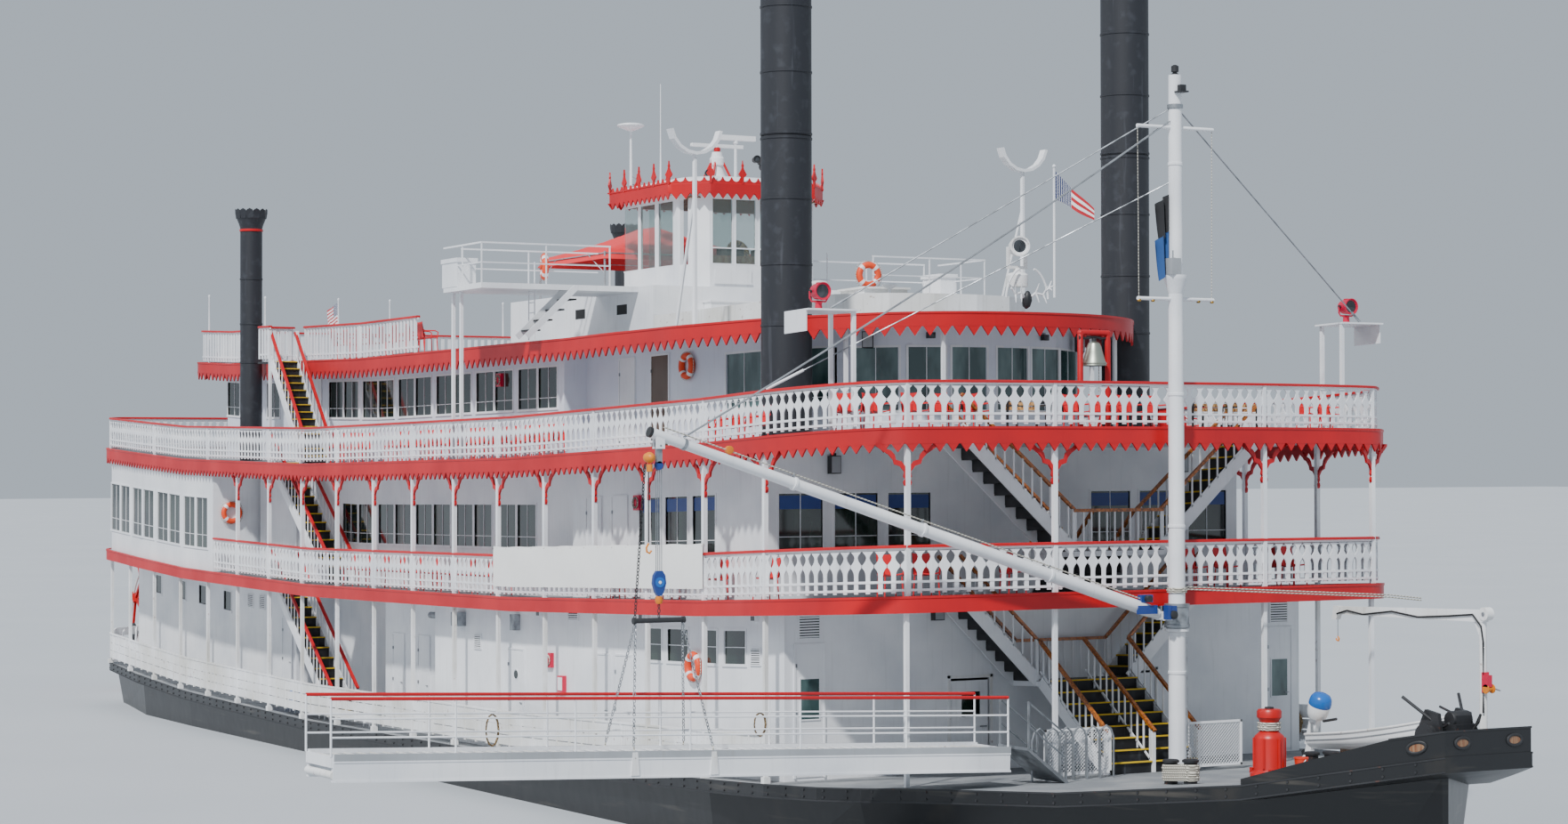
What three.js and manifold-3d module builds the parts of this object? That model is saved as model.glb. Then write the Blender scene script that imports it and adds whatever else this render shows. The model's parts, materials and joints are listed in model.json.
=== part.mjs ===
// Sternwheel paddle boat, a scale model at 1:10.
// Lengths are millimetres of the model, so 100 mm stand for one metre of the boat.
// +X points to the bow, +Y to port, +Z up. The origin is on the flat bottom, amidships.
// Every deck sweeps up to both ends. Pieces are drawn level and then lifted by that sweep.

import * as THREE from "three";
import { mergeVertices } from "three/addons/utils/BufferGeometryUtils.js";
import Module from "manifold-3d";

const wasm = await Module();
wasm.setup();

// Driving dimensions

const GAP = 0.3;
const MAIN_DECK = 250;
const DECK_2 = 640;
const DECK_3 = 987;
const ROOF_DECK = 1293;
const GUARD_DEPTH = 30;
const DECK_PLATE = 12;
const WALL = 8;
const BAY = 274;
const FIRST_POST = -1500;
const BEAM_HALF = 760;
const RAIL_HEIGHT = 107;
const STERN = -3120;
const BOW = 3190;
const BOW_CURVE_START = 1500;
const BOW_BLUNT_HALF = 107;

const WHEEL = {
  x: -3450, z: 370, radius: 280, half: 390, boards: 12, boardDepth: 62, frames: 4,
  armTip: 272, armHalf: 5, ringOuter: 240, ringInner: 230, hub: 40,
};
const MAST = { x: 2236, baseRadius: 30, foot: 332, top: 1815, rFoot: 19, rTop: 14 };
const BOOM = { heelY: -36, heelZ: 666, tipY: -1238, tipZ: 1046, r: 14, rTip: 10 };
const STACK = { x: 1400, y: 476, r: 58.5, hingeZ: 1737, top: 2350, pinOffset: 10, knuckle: 6.5 };
const SADDLE = { x: 955, inner: 64.5, outer: 72, halfLength: 12 };
const STAGE = { half: 65, inboard: -470, outboard: -1936, zInboard: 365, zOutboard: 421, depth: 50 };
const DAVIT = { x: 2940, y: 215, top: 700, reach: 440 };

// Sweep of the decks: height added at a distance from the lowest point

const LOWEST_X = -900;
const STATIONS = [STERN, -2000, LOWEST_X, 500, 1500, 2500, 2850, BOW];
const sweep = (x, aft, fore) => (x < LOWEST_X ? aft : fore) * (x - LOWEST_X) ** 2;
const foredeckRise = (x) => (x > 2500 ? 0.000139 * (x - 2500) ** 2 : 0);

function alongStations(height) {
  const values = STATIONS.map(height);
  return (x) => {
    let i = STATIONS.findIndex((s) => x <= s);
    if (i < 1) i = x <= STATIONS[0] ? 1 : STATIONS.length - 1;
    const t = (x - STATIONS[i - 1]) / (STATIONS[i] - STATIONS[i - 1]);
    return values[i - 1] + t * (values[i] - values[i - 1]);
  };
}

const deckLift = alongStations((x) => sweep(x, 1.3e-5, 0.8e-5) + foredeckRise(x));
const roofLift = alongStations((x) => sweep(x, 1.3e-5, 0.55e-5));

function lift(x, z) {
  const t = THREE.MathUtils.clamp((z - DECK_3) / (ROOF_DECK - DECK_3), 0, 1);
  return deckLift(x) * (1 - t) + roofLift(x) * t;
}

// Solids

function solid(geometry) {
  const bare = geometry.index ? geometry.toNonIndexed() : geometry;
  bare.deleteAttribute("normal");
  bare.deleteAttribute("uv");
  const merged = mergeVertices(bare, 1e-3);
  return new wasm.Manifold(new wasm.Mesh({
    numProp: 3,
    vertProperties: new Float32Array(merged.attributes.position.array),
    triVerts: new Uint32Array(merged.index.array),
  }));
}

function join(parts) {
  return parts.reduce((all, part) => all.add(part));
}

function cut(body, tools) {
  return body.subtract(join(tools));
}

function box(x0, x1, y0, y1, z0, z1) {
  const geometry = new THREE.BoxGeometry(x1 - x0, y1 - y0, z1 - z0);
  geometry.translate((x0 + x1) / 2, (y0 + y1) / 2, (z0 + z1) / 2);
  return solid(geometry);
}

// A box between mirrored sides: side is -1 for starboard and 1 for port
function sideBox(side, x0, x1, y0, y1, z0, z1) {
  return side > 0 ? box(x0, x1, y0, y1, z0, z1) : box(x0, x1, -y1, -y0, z0, z1);
}

function shapeOf(points) {
  return new THREE.Shape(points.map(([x, y]) => new THREE.Vector2(x, y)));
}

function slab(points, z0, z1) {
  const geometry = new THREE.ExtrudeGeometry(shapeOf(points), { depth: z1 - z0, bevelEnabled: false });
  geometry.translate(0, 0, z0);
  return solid(geometry);
}

// A profile drawn in X and Z, as thick as y0 to y1
function sideProfile(points, y0, y1) {
  const geometry = new THREE.ExtrudeGeometry(shapeOf(points), { depth: y1 - y0, bevelEnabled: false });
  geometry.rotateX(Math.PI / 2);
  geometry.translate(0, y1, 0);
  return solid(geometry);
}

// A profile drawn in Y and Z, as thick as x0 to x1
function crossProfile(points, x0, x1) {
  const geometry = new THREE.ExtrudeGeometry(shapeOf(points), { depth: x1 - x0, bevelEnabled: false });
  geometry.rotateX(Math.PI / 2);
  geometry.rotateZ(Math.PI / 2);
  geometry.translate(x0, 0, 0);
  return solid(geometry);
}

// A round bar between two points, tapered if the radii differ
function bar(from, to, r0, r1 = r0, sides = 8) {
  const a = new THREE.Vector3(...from);
  const b = new THREE.Vector3(...to);
  const geometry = new THREE.CylinderGeometry(r1, r0, a.distanceTo(b), sides);
  const turn = new THREE.Quaternion().setFromUnitVectors(new THREE.Vector3(0, 1, 0),
    b.clone().sub(a).normalize());
  geometry.applyQuaternion(turn);
  geometry.translate((a.x + b.x) / 2, (a.y + b.y) / 2, (a.z + b.z) / 2);
  return solid(geometry);
}

function lathe(profile, sides, x, y, z = 0) {
  const geometry = new THREE.LatheGeometry(profile.map(([r, h]) => new THREE.Vector2(r, h)), sides);
  geometry.rotateX(Math.PI / 2);
  geometry.translate(x, y, z);
  return solid(geometry);
}

// Outlines: a half outline is the port side, from the stern to the bow. Both ends close straight across.

function mirrored(half) {
  return [...half.map(([x, y]) => [x, -y]), ...[...half].reverse()];
}

// Moves an open line to the right of its direction of travel
function inset(points, distance) {
  return points.map((point, i) => {
    const before = points[Math.max(i - 1, 0)];
    const after = points[Math.min(i + 1, points.length - 1)];
    const d1 = new THREE.Vector2(point[0] - before[0], point[1] - before[1]).normalize();
    const d2 = new THREE.Vector2(after[0] - point[0], after[1] - point[1]).normalize();
    if (i === 0) d1.copy(d2);
    if (i === points.length - 1) d2.copy(d1);
    const n = new THREE.Vector2(d1.y + d2.y, -d1.x - d2.x).normalize();
    const scale = distance / Math.max(0.5, n.dot(new THREE.Vector2(d1.y, -d1.x)));
    return [point[0] + n.x * scale, point[1] + n.y * scale];
  });
}

// Moves a half outline inwards all round, its ends too
function shrink(half, distance) {
  const closed = [[half[0][0], 0], ...half, [half[half.length - 1][0], 0]];
  return inset(closed, distance).slice(1, -1);
}

// A band that follows an open line, between two insets
function band(line, near, far, z0, z1) {
  return slab([...inset(line, far), ...inset(line, near).reverse()], z0, z1);
}

// An open line forward along port, round the bow and aft along starboard
function roundTheBow(half) {
  return [...half, ...[...half].reverse().map(([x, y]) => [x, -y])];
}

function bowHalf(x) {
  const t = (x - BOW_CURVE_START) / (BOW - BOW_CURVE_START);
  return BOW_BLUNT_HALF + (BEAM_HALF - BOW_BLUNT_HALF) * (1 - t ** 1.7);
}

const BOW_STEPS = [2180, 2500, 2700, 2850, 3000, 3100, BOW];
const MAIN_OUTLINE = [
  [STERN, 560], [-3060, 660], [-2900, 712], [-2500, 745], [-1700, BEAM_HALF],
  [BOW_CURVE_START, BEAM_HALF], [1790, 758], [1970, 732], [2080, 690], [2140, 646],
  ...BOW_STEPS.map((x) => [x, bowHalf(x)]),
];
const UPPER_OUTLINE = [
  [-2935, 640], [-2910, 700], [-2850, 735], [-2500, 750], [-1700, BEAM_HALF],
  [1790, BEAM_HALF], [1960, 736], [2070, 698], [2128, 652], [2158, 600], [2182, 440], [2195, 200],
];
const ROOF_OUTLINE = [
  [-2330, 560], [-2290, 600], [200, 600], [700, 590], [1050, 560], [1300, 508],
  [1400, 476], [1500, 420], [1600, 330], [1670, 200], [1695, 70],
];

// Splits a solid's triangles at each station and lifts the corners, so that decks, rails and walls
// keep meeting face to face on the sweep
function swept(body) {
  const mesh = body.getMesh();
  const points = [];
  for (let i = 0; i < mesh.vertProperties.length; i += mesh.numProp) {
    points.push([mesh.vertProperties[i], mesh.vertProperties[i + 1], mesh.vertProperties[i + 2]]);
  }
  let triangles = [];
  for (let i = 0; i < mesh.triVerts.length; i += 3) {
    triangles.push([mesh.triVerts[i], mesh.triVerts[i + 1], mesh.triVerts[i + 2]]);
  }
  for (const plane of STATIONS) {
    triangles = triangles.flatMap(splitAt(plane, points));
  }
  const positions = points.map(([x, y, z]) => [x, y, z + lift(x, z)]);
  return new wasm.Manifold(new wasm.Mesh({
    numProp: 3,
    vertProperties: new Float32Array(positions.flat()),
    triVerts: new Uint32Array(triangles.flat()),
  }));
}

// Returns the splitter of triangles at one X, which adds the corners that it needs to the points
function splitAt(plane, points) {
  const made = new Map();
  const sideOf = (i) => {
    const d = points[i][0] - plane;
    return Math.abs(d) < 1e-3 ? 0 : Math.sign(d);
  };
  const crossing = (i, j) => {
    const [a, b] = i < j ? [i, j] : [j, i];
    const key = `${a}_${b}`;
    if (!made.has(key)) {
      const t = (plane - points[a][0]) / (points[b][0] - points[a][0]);
      points.push(points[a].map((value, k) => value + t * (points[b][k] - value)));
      made.set(key, points.length - 1);
    }
    return made.get(key);
  };
  return (triangle) => {
    const sides = triangle.map(sideOf);
    if (!sides.includes(1) || !sides.includes(-1)) return [triangle];
    const lone = sides.findIndex((s, k) => s !== 0 && !sides.some((other, m) => m !== k && other === s));
    const [a, b, c] = [0, 1, 2].map((k) => triangle[(lone + k) % 3]);
    const [sb, sc] = [sides[(lone + 1) % 3], sides[(lone + 2) % 3]];
    if (sb === 0) return [[a, b, crossing(c, a)], [b, c, crossing(c, a)]];
    if (sc === 0) return [[a, crossing(a, b), c], [crossing(a, b), b, c]];
    const [p, q] = [crossing(a, b), crossing(c, a)];
    return [[a, p, q], [p, b, c], [p, c, q]];
  };
}

const sweptJoin = (parts) => join(parts.map(swept));
const sweptCut = (body, tools) => cut(swept(body), tools.map(swept));

// Finishes

const PAINTS = {
  white: { color: 0xe9eaec, roughness: 0.45, metalness: 0 },
  red: { color: 0xc8102e, roughness: 0.4, metalness: 0 },
  black: { color: 0x17181b, roughness: 0.5, metalness: 0.1 },
  grey: { color: 0x8d9196, roughness: 0.6, metalness: 0.1 },
  steel: { color: 0xaab0b5, roughness: 0.35, metalness: 0.8 },
  blue: { color: 0x1d5fae, roughness: 0.4, metalness: 0 },
  cloth: { color: 0xb9474f, roughness: 0.9, metalness: 0 },
  bronze: { color: 0x6f7f78, roughness: 0.4, metalness: 0.7 },
};
const materials = Object.fromEntries(
  Object.entries(PAINTS).map(([name, paint]) => [name, new THREE.MeshStandardMaterial(paint)]),
);

const boat = new THREE.Group();

function place(name, body, paint) {
  const solidMesh = body.getMesh();
  const geometry = new THREE.BufferGeometry();
  const corners = new THREE.Float32BufferAttribute(solidMesh.vertProperties, solidMesh.numProp);
  geometry.setAttribute("position", corners);
  geometry.setIndex(Array.from(solidMesh.triVerts));
  geometry.computeVertexNormals();
  const mesh = new THREE.Mesh(geometry, materials[paint]);
  mesh.name = name;
  boat.add(mesh);
}

// A hull-like solid through cross sections: x, half width above, half width below, bottom, top
function loft(sections) {
  const positions = sections.flatMap(([x, upper, lower, bottom, top]) => [
    [x, -upper, top], [x, -lower, bottom], [x, lower, bottom], [x, upper, top],
  ]);
  const index = [0, 2, 1, 0, 3, 2];
  for (let s = 0; s < sections.length - 1; s += 1) {
    for (let k = 0; k < 4; k += 1) {
      const a = s * 4 + k;
      const b = s * 4 + (k + 1) % 4;
      index.push(a, b, a + 4, b, b + 4, a + 4);
    }
  }
  const last = (sections.length - 1) * 4;
  index.push(last, last + 1, last + 2, last, last + 2, last + 3);
  const geometry = new THREE.BufferGeometry();
  geometry.setAttribute("position", new THREE.Float32BufferAttribute(positions.flat(), 3));
  geometry.setIndex(index);
  return solid(geometry);
}

// Hull

function makeHull() {
  // x, half width at the guard, half width at the bottom, height of the bottom
  const sections = [
    [-3050, 640, 610, 120],
    [-2500, 722, 700, 0],
    [-2000, 732, 712, 0],
    [LOWEST_X, 732, 712, 0],
    [500, 732, 712, 0],
    [1500, 732, 700, 0],
    [2000, 645, 570, 0],
    [2500, 455, 335, 0],
    [2850, 258, 125, 26],
    [3070, 8, 6, 80],
  ];
  const top = (x) => MAIN_DECK - GUARD_DEPTH - GAP + deckLift(x);
  return loft(sections.map(([x, upper, lower, bottom]) => [x, upper, lower, bottom, top(x)]));
}

// Rails: each row is its height above the deck, its depth and its half width

const BALUSTRADE = [[RAIL_HEIGHT - 8, 8, 4]];
const FENCE = [[74, 28, 2]];

const rows = (line, deck, insetBy, table) => table.map(([z, depth, half]) => band(line, insetBy - half,
  insetBy + half, deck + z, deck + z + depth));

// The point of an open line at one X, on its port side
function atX(line, x) {
  const i = Math.max(1, line.findIndex(([px]) => x <= px));
  const [[x0, y0], [x1, y1]] = [line[i - 1], line[i]];
  return [x, y0 + ((x - x0) / (x1 - x0)) * (y1 - y0)];
}

// The point of a half outline at one Y, on its bow side
function atY(line, y) {
  const i = line.findLastIndex(([, py]) => py >= y);
  const [[x0, y0], [x1, y1]] = [line[i], line[i + 1]];
  return [x0 + ((y - y0) / (y1 - y0)) * (x1 - x0), y];
}

// Posts stand just inside the edge of the deck that they carry, and the rails run from post to post
const POST_INSET = 9;
const POST_LINE = inset(UPPER_OUTLINE, POST_INSET);
const FRONT_POSTS = [atY(POST_LINE, 616), atY(POST_LINE, 277)];
const bays = (first, last, step = 1) => Array.from({ length: Math.floor((last - first) / step) + 1 },
  (_, k) => atX(POST_LINE, FIRST_POST + BAY * (first + step * k)));

function posts(places, size, z0, z1) {
  const half = size / 2;
  return places.flatMap(([x, y]) => [-1, 1].map((side) => sideBox(side, x - half, x + half,
    y - half, y + half, z0, z1)));
}

// The part of a half outline forward of one X
const forwardOf = (half, from) => [atX(half, from), ...half.filter(([x]) => x > from)];

// Stairs: a stepped plate with a handrail on either side

const STAIR_DEPTH = 24;
const HAND = { height: 92, r: 3, post: 4 };

// The side view of the steps, from the foot at a0 and z0 to the head at a1 and z1
function steppedProfile(a0, z0, a1, z1, count) {
  const [run, rise] = [(a1 - a0) / count, (z1 - z0) / count];
  const steps = Array.from({ length: count }, (_, k) => [
    [a0 + run * k, z0 + rise * (k + 1)],
    [a0 + run * (k + 1), z0 + rise * (k + 1)],
  ]);
  return [[a0, z0], ...steps.flat(), [a1, z1 - STAIR_DEPTH], [a0 + (STAIR_DEPTH / rise) * run, z0]];
}

// Along X, from the foot at x0 and z0 to the head at x1 and z1
function flightAlongX(x0, z0, x1, z1, y0, y1, count) {
  const half = HAND.post / 2;
  const hands = [y0 + half, y1 - half].flatMap((y) => [
    bar([x0, y, z0 + HAND.height], [x1, y, z1 + HAND.height], HAND.r, HAND.r, 4),
    ...[0.04, 0.96].map((t) => {
      const [x, z] = [x0 + t * (x1 - x0), z0 + t * (z1 - z0)];
      return box(x - half, x + half, y - half, y + half, Math.max(z - 6, z0 + 1), z + HAND.height);
    }),
  ]);
  return [sideProfile(steppedProfile(x0, z0, x1, z1, count), y0, y1), ...hands];
}

// Along Y, from y0 and z0 to y1 and z1
function flightAlongY(y0, z0, y1, z1, x0, x1, count) {
  const half = HAND.post / 2;
  const hands = [x0 + half, x1 - half].flatMap((x) => [
    bar([x, y0, z0 + HAND.height], [x, y1, z1 + HAND.height], HAND.r, HAND.r, 4),
    ...[0.06, 0.94].map((t) => {
      const [y, z] = [y0 + t * (y1 - y0), z0 + t * (z1 - z0)];
      return box(x - half, x + half, y - half, y + half, z - 6, z + HAND.height);
    }),
  ]);
  return [crossProfile(steppedProfile(y0, z0, y1, z1, count), x0, x1), ...hands];
}

// Front stairs: a middle flight up to a landing, and a flight from there to either side
const LOWER_STAIR = { x0: 1800, x1: 1900, landing: 447, half: 128, footX: 2150, head: 322, holeFrom: 178 };
const UPPER_STAIR = { x0: 1925, x1: 2030, landing: 729, half: 120, footX: 1835, head: 402, holeFrom: 236 };

function frontStair(at, deck, upperDeck, middleCount, sideCount) {
  const nearEdge = at.footX > at.x1 ? at.x1 - 1 : at.x0 + 1;
  const landing = box(at.x0, at.x1, -at.half, at.half, at.landing - 8, at.landing);
  const middle = flightAlongX(at.footX, deck + GAP, nearEdge, at.landing - 1,
    -at.half + 6, at.half - 6, middleCount);
  const outer = [-1, 1].flatMap((side) => flightAlongY(side * (at.half - 1), at.landing - 1, side * at.head,
    upperDeck - 3, at.x0 + 4, at.x1 - 4, sideCount));
  return sweptJoin([landing, ...middle, ...outer]);
}

function frontStairHoles(at, z) {
  return [-1, 1].map((side) => sideBox(side, at.x0 - 5, at.x1 + 5,
    at.holeFrom, at.head + 3, z - 40, z + 40));
}

// Aft stairs: three flights one above another on each side, held by a corner post at their heads
const AFT_STAIR = { y0: 616, y1: 698, head: -1357, landing: -1460, holeTo: -1115,
  feet: [-860, -905, -1095] };

function aftStairs(side) {
  const levels = [MAIN_DECK, DECK_2, DECK_3, ROOF_DECK];
  const [y0, y1] = side > 0 ? [AFT_STAIR.y0, AFT_STAIR.y1] : [-AFT_STAIR.y1, -AFT_STAIR.y0];
  const flights = AFT_STAIR.feet.flatMap((foot, k) => flightAlongX(foot, levels[k] + GAP,
    AFT_STAIR.head, levels[k + 1] - 1, y0, y1, 6));
  const landing = sideBox(side, AFT_STAIR.landing, AFT_STAIR.head + 1, 606, 702,
    ROOF_DECK - 8, ROOF_DECK - 2);
  const corner = [610, 697].map((y) => sideBox(side, AFT_STAIR.head - 2, AFT_STAIR.head + 6, y, y + 8,
    MAIN_DECK + GAP, ROOF_DECK + HAND.height));
  const guard = [30, 80].map((z) => sideBox(side, AFT_STAIR.landing, AFT_STAIR.head, 698, 701,
    ROOF_DECK + z, ROOF_DECK + z + 4));
  const guardPost = sideBox(side, AFT_STAIR.landing - 1, AFT_STAIR.landing + 4, 697, 703,
    ROOF_DECK - 7, ROOF_DECK + 85);
  return sweptJoin([...flights, landing, ...corner, ...guard, guardPost]);
}

function aftStairHoles(z) {
  return [-1, 1].map((side) => sideBox(side, AFT_STAIR.head - 4, AFT_STAIR.holeTo, 606, 708,
    z - 40, z + 40));
}

// Houses: walls round an outline, with windows cut through

function house(half, z0, z1, openings) {
  const inside = slab(mirrored(shrink(half, WALL)), z0 - 5, z1 + 5);
  return sweptCut(slab(mirrored(half), z0, z1), [inside, ...openings]);
}

function sideWindows(centres, width, z0, z1, reach) {
  return centres.map((x) => box(x - width / 2, x + width / 2, -reach, reach, z0, z1));
}

function endWindows(centres, width, z0, z1, x0, x1) {
  return centres.flatMap((y) => [-1, 1].map((side) => box(x0, x1,
    side * y - width / 2, side * y + width / 2, z0, z1)));
}

// Windows of unequal width in the side walls: each is its centre's X and its width
const unequalWindows = (table, z0, z1, reach) => table.flatMap(([x, width]) => (
  sideWindows([x], width, z0, z1, reach)));

const spaced = (first, count) => Array.from({ length: count }, (_, k) => first + BAY * k);
const pairs = (centres) => centres.flatMap((x) => [x - 62, x + 62]);

const MAIN_HOUSE = [
  [-2928, 600], [-1400, 600], [-1400, 480], [-640, 480], [-640, 620], [-100, 620], [-100, 700], [1780, 700],
];
const DOOR = { y0: 175, y1: 277, sill: 6, top: 455, gap: 5, pinGap: GAP, thick: 5, x: 1780 };

function makeMainHouse() {
  const z0 = MAIN_DECK + GAP;
  const doorways = [-1, 1].map((side) => sideBox(side, 1740, 1800, DOOR.y0, DOOR.y1,
    z0 + DOOR.sill, DOOR.top));
  return house(MAIN_HOUSE, z0, DECK_2 - DECK_PLATE - GAP, [
    ...doorways,
    ...unequalWindows([[1175, 71], [1291, 98], [1446, 62], [1560, 97]], 500, 573, 900),
    ...sideWindows([-2716, -2464, -2258, -2016], 70, 500, 560, 900),
  ]);
}

// The leaf hangs on its outboard edge, flush with the front of the wall
function makeDoor(side) {
  const z0 = MAIN_DECK + GAP + DOOR.sill;
  const leaf = sideBox(side, DOOR.x - DOOR.thick, DOOR.x, DOOR.y0 + DOOR.gap, DOOR.y1 - DOOR.pinGap,
    z0 + DOOR.gap, DOOR.top - DOOR.gap);
  const pane = sideBox(side, DOOR.x - 20, DOOR.x + 20, 200, 250, 370, 425);
  const handle = sideBox(side, DOOR.x - 1, DOOR.x + 4, DOOR.y0 + 8, DOOR.y0 + 14, 345, 350);
  return swept(leaf.subtract(pane).add(handle));
}

const HOUSE_2 = [[-1715, 600], [640, 600], [640, 650], [1610, 650]];
const STERN_HOUSE = [[-2925, 630], [-2900, 690], [-2840, 725], [-2500, 740], [-1735, 748]];
const HOUSE_3 = [
  [-2230, 525], [330, 525], [330, 460], [900, 455], [1150, 430], [1300, 395], [1420, 320],
  [1500, 200], [1530, 60],
];

function makeHouse2() {
  return house(HOUSE_2, DECK_2 + GAP, DECK_3 - DECK_PLATE - GAP, [
    ...sideWindows(pairs(spaced(-895, 5)), 112, 759, 870, 900),
    ...sideWindows([1056, 1190, 1325], 108, 740, 876, 900),
    ...endWindows([278, 418, 561], 112, 745, 872, 1570, 1640),
  ]);
}

function makeSternHouse() {
  return house(STERN_HOUSE, DECK_2 + GAP, DECK_3 - DECK_PLATE - GAP, [
    ...sideWindows(pairs(spaced(-2725, 4)), 108, 712, 868, 900),
    ...endWindows([90, 270, 450], 120, 712, 868, -2960, -2880),
  ]);
}

function makeHouse3() {
  return house(HOUSE_3, DECK_3 + GAP, ROOF_DECK - DECK_PLATE - GAP, [
    ...sideWindows([-2170, -1800, ...pairs(spaced(-1200, 6))], 112, 1123, 1230, 700),
    ...sideWindows([1120, 1320], 144, 1090, 1225, 700),
    ...endWindows([60, 165, 270], 88, 1070, 1222, 1370, 1600),
  ]);
}

// Decks

const CAPSTAN = { x: 2620, y: -60, r: 31, flange: 39, height: 138 };
// Each bollard's X and Y
const BITTS = { places: [[2480, -200], [2545, -200], [2545, 110], [2605, 110]], r: 13, height: 44 };

function makeMainDeck() {
  const plate = slab(mirrored(MAIN_OUTLINE), MAIN_DECK - GUARD_DEPTH, MAIN_DECK);
  const bitts = BITTS.places.map(([x, y]) => bar([x, y, MAIN_DECK - 1], [x, y, MAIN_DECK + BITTS.height],
    BITTS.r, BITTS.r, 8));
  const davitFoot = bar([DAVIT.x, DAVIT.y, MAIN_DECK - 1], [DAVIT.x, DAVIT.y, MAIN_DECK + 40], 11, 11, 8);
  return sweptJoin([plate, ...bitts, davitFoot]);
}

// Gangway gates before the lower stair, on one sill: each gate is its low and its high Y
const GATES = { x: 2192.5, ys: [[-312, -142], [14, 205]], foot: 8, top: 105, post: 5, plate: 3 };

function makeGates() {
  const z = MAIN_DECK + GAP;
  const [post, plate] = [GATES.post / 2, GATES.plate / 2];
  const gates = GATES.ys.flatMap(([y0, y1]) => [
    box(GATES.x - plate, GATES.x + plate, y0, y1, z + GATES.foot, z + GATES.top),
    ...[y0, y1 - GATES.post].map((y) => box(GATES.x - post, GATES.x + post, y, y + GATES.post,
      z, z + GATES.top + 1)),
  ]);
  const sill = box(GATES.x - post, GATES.x + post, GATES.ys[0][0], GATES.ys[1][1], z, z + 3);
  return sweptJoin([...gates, sill]);
}

// One fence from the port gangway round the stern to the starboard gangway
function makeMainRail() {
  const half = [[-3095, 552], [-3045, 645], ...POST_LINE.filter(([x]) => x > -2900 && x < 1800)];
  const line = [...[...half].reverse(), ...half.map(([x, y]) => [x, -y])];
  return sweptJoin([...rows(line, MAIN_DECK, 0, FENCE),
    ...posts(bays(-5, 12), 9, MAIN_DECK + GAP, DECK_2 - DECK_PLATE - GAP)]);
}

function makeDeck2() {
  const holes = [...aftStairHoles(DECK_2), ...frontStairHoles(LOWER_STAIR, DECK_2)];
  const plate = sweptCut(slab(mirrored(UPPER_OUTLINE), DECK_2 - DECK_PLATE, DECK_2), holes);
  return plate.add(sweptJoin(posts(FRONT_POSTS, 9, MAIN_DECK + GAP, DECK_2 - 4)));
}

function makeDeck2Rail() {
  const line = roundTheBow(forwardOf(POST_LINE, -1722));
  return sweptJoin([...rows(line, DECK_2, 0, BALUSTRADE),
    ...posts([...bays(0, 12), ...FRONT_POSTS], 9, DECK_2 + GAP, DECK_3 - DECK_PLATE - GAP)]);
}

const LIGHT = { x: 1955, y: 690, platform: 1262, x0: 1905, x1: 2005, y0: 650, y1: 770 };
const BELL = { x: 1937, pivot: 1215, half: 34 };

function makeDeck3() {
  const holes = [...aftStairHoles(DECK_3), ...frontStairHoles(UPPER_STAIR, DECK_3)];
  const plate = sweptCut(slab(mirrored(UPPER_OUTLINE), DECK_3 - DECK_PLATE, DECK_3), holes);
  const frame = [-1, 1].map((side) => sideBox(side, BELL.x - 5, BELL.x + 5, BELL.half, BELL.half + 6,
    DECK_3 - 1, BELL.pivot + 14));
  const beam = box(BELL.x - 5, BELL.x + 5, -BELL.half - 6, BELL.half + 6, BELL.pivot + 8, BELL.pivot + 14);
  return join([plate, sweptJoin([...frame, beam]), lightPlatform(-1), lightPlatform(1)]);
}

function makeDeck3Rail() {
  const sternX = POST_LINE[0][0] + POST_INSET;
  const line = [[sternX, 2], [sternX, POST_LINE[0][1]], ...POST_LINE.slice(1)];
  return sweptJoin([...rows(roundTheBow(line), DECK_3, 0, BALUSTRADE),
    ...posts([...bays(-5, 12, 2), ...FRONT_POSTS], 7, DECK_3 + GAP, DECK_3 + RAIL_HEIGHT - 2)]);
}

// A searchlight stands on a platform on each side of the front of deck 3
function lightPlatform(side) {
  const top = LIGHT.platform;
  const legs = [[1915, 663], [1995, 655]].map(([x, y]) => sideBox(side, x - 4, x + 4, y - 4, y + 4,
    DECK_3 - 1, top - 1));
  return sweptJoin([
    sideBox(side, LIGHT.x0, LIGHT.x1, LIGHT.y0, LIGHT.y1, top - 4, top),
    sideBox(side, LIGHT.x0, LIGHT.x1 - 10, LIGHT.y1 - 3, LIGHT.y1, top - 50, top),
    ...legs,
  ]);
}

// Y and height above the rail
const FLAGSTAFFS = [[-558, 95], [-363, 100], [-102, 112], [85, 105], [509, 95]];
const SADDLE_BRACE = 120;

const stackHoles = () => [-1, 1].map((side) => bar([STACK.x, side * STACK.y, ROOF_DECK - 60],
  [STACK.x, side * STACK.y, ROOF_DECK + 60], STACK.r + 5, STACK.r + 5, 16));

function makeRoofDeck() {
  const plate = sweptCut(slab(mirrored(ROOF_OUTLINE), ROOF_DECK - DECK_PLATE, ROOF_DECK), stackHoles());
  const legs = posts([[1640, 205], [1495, 375]], 8, DECK_3 + GAP, ROOF_DECK - 1);
  return join([plate, sweptJoin(legs), saddle(-1), saddle(1)]);
}

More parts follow.
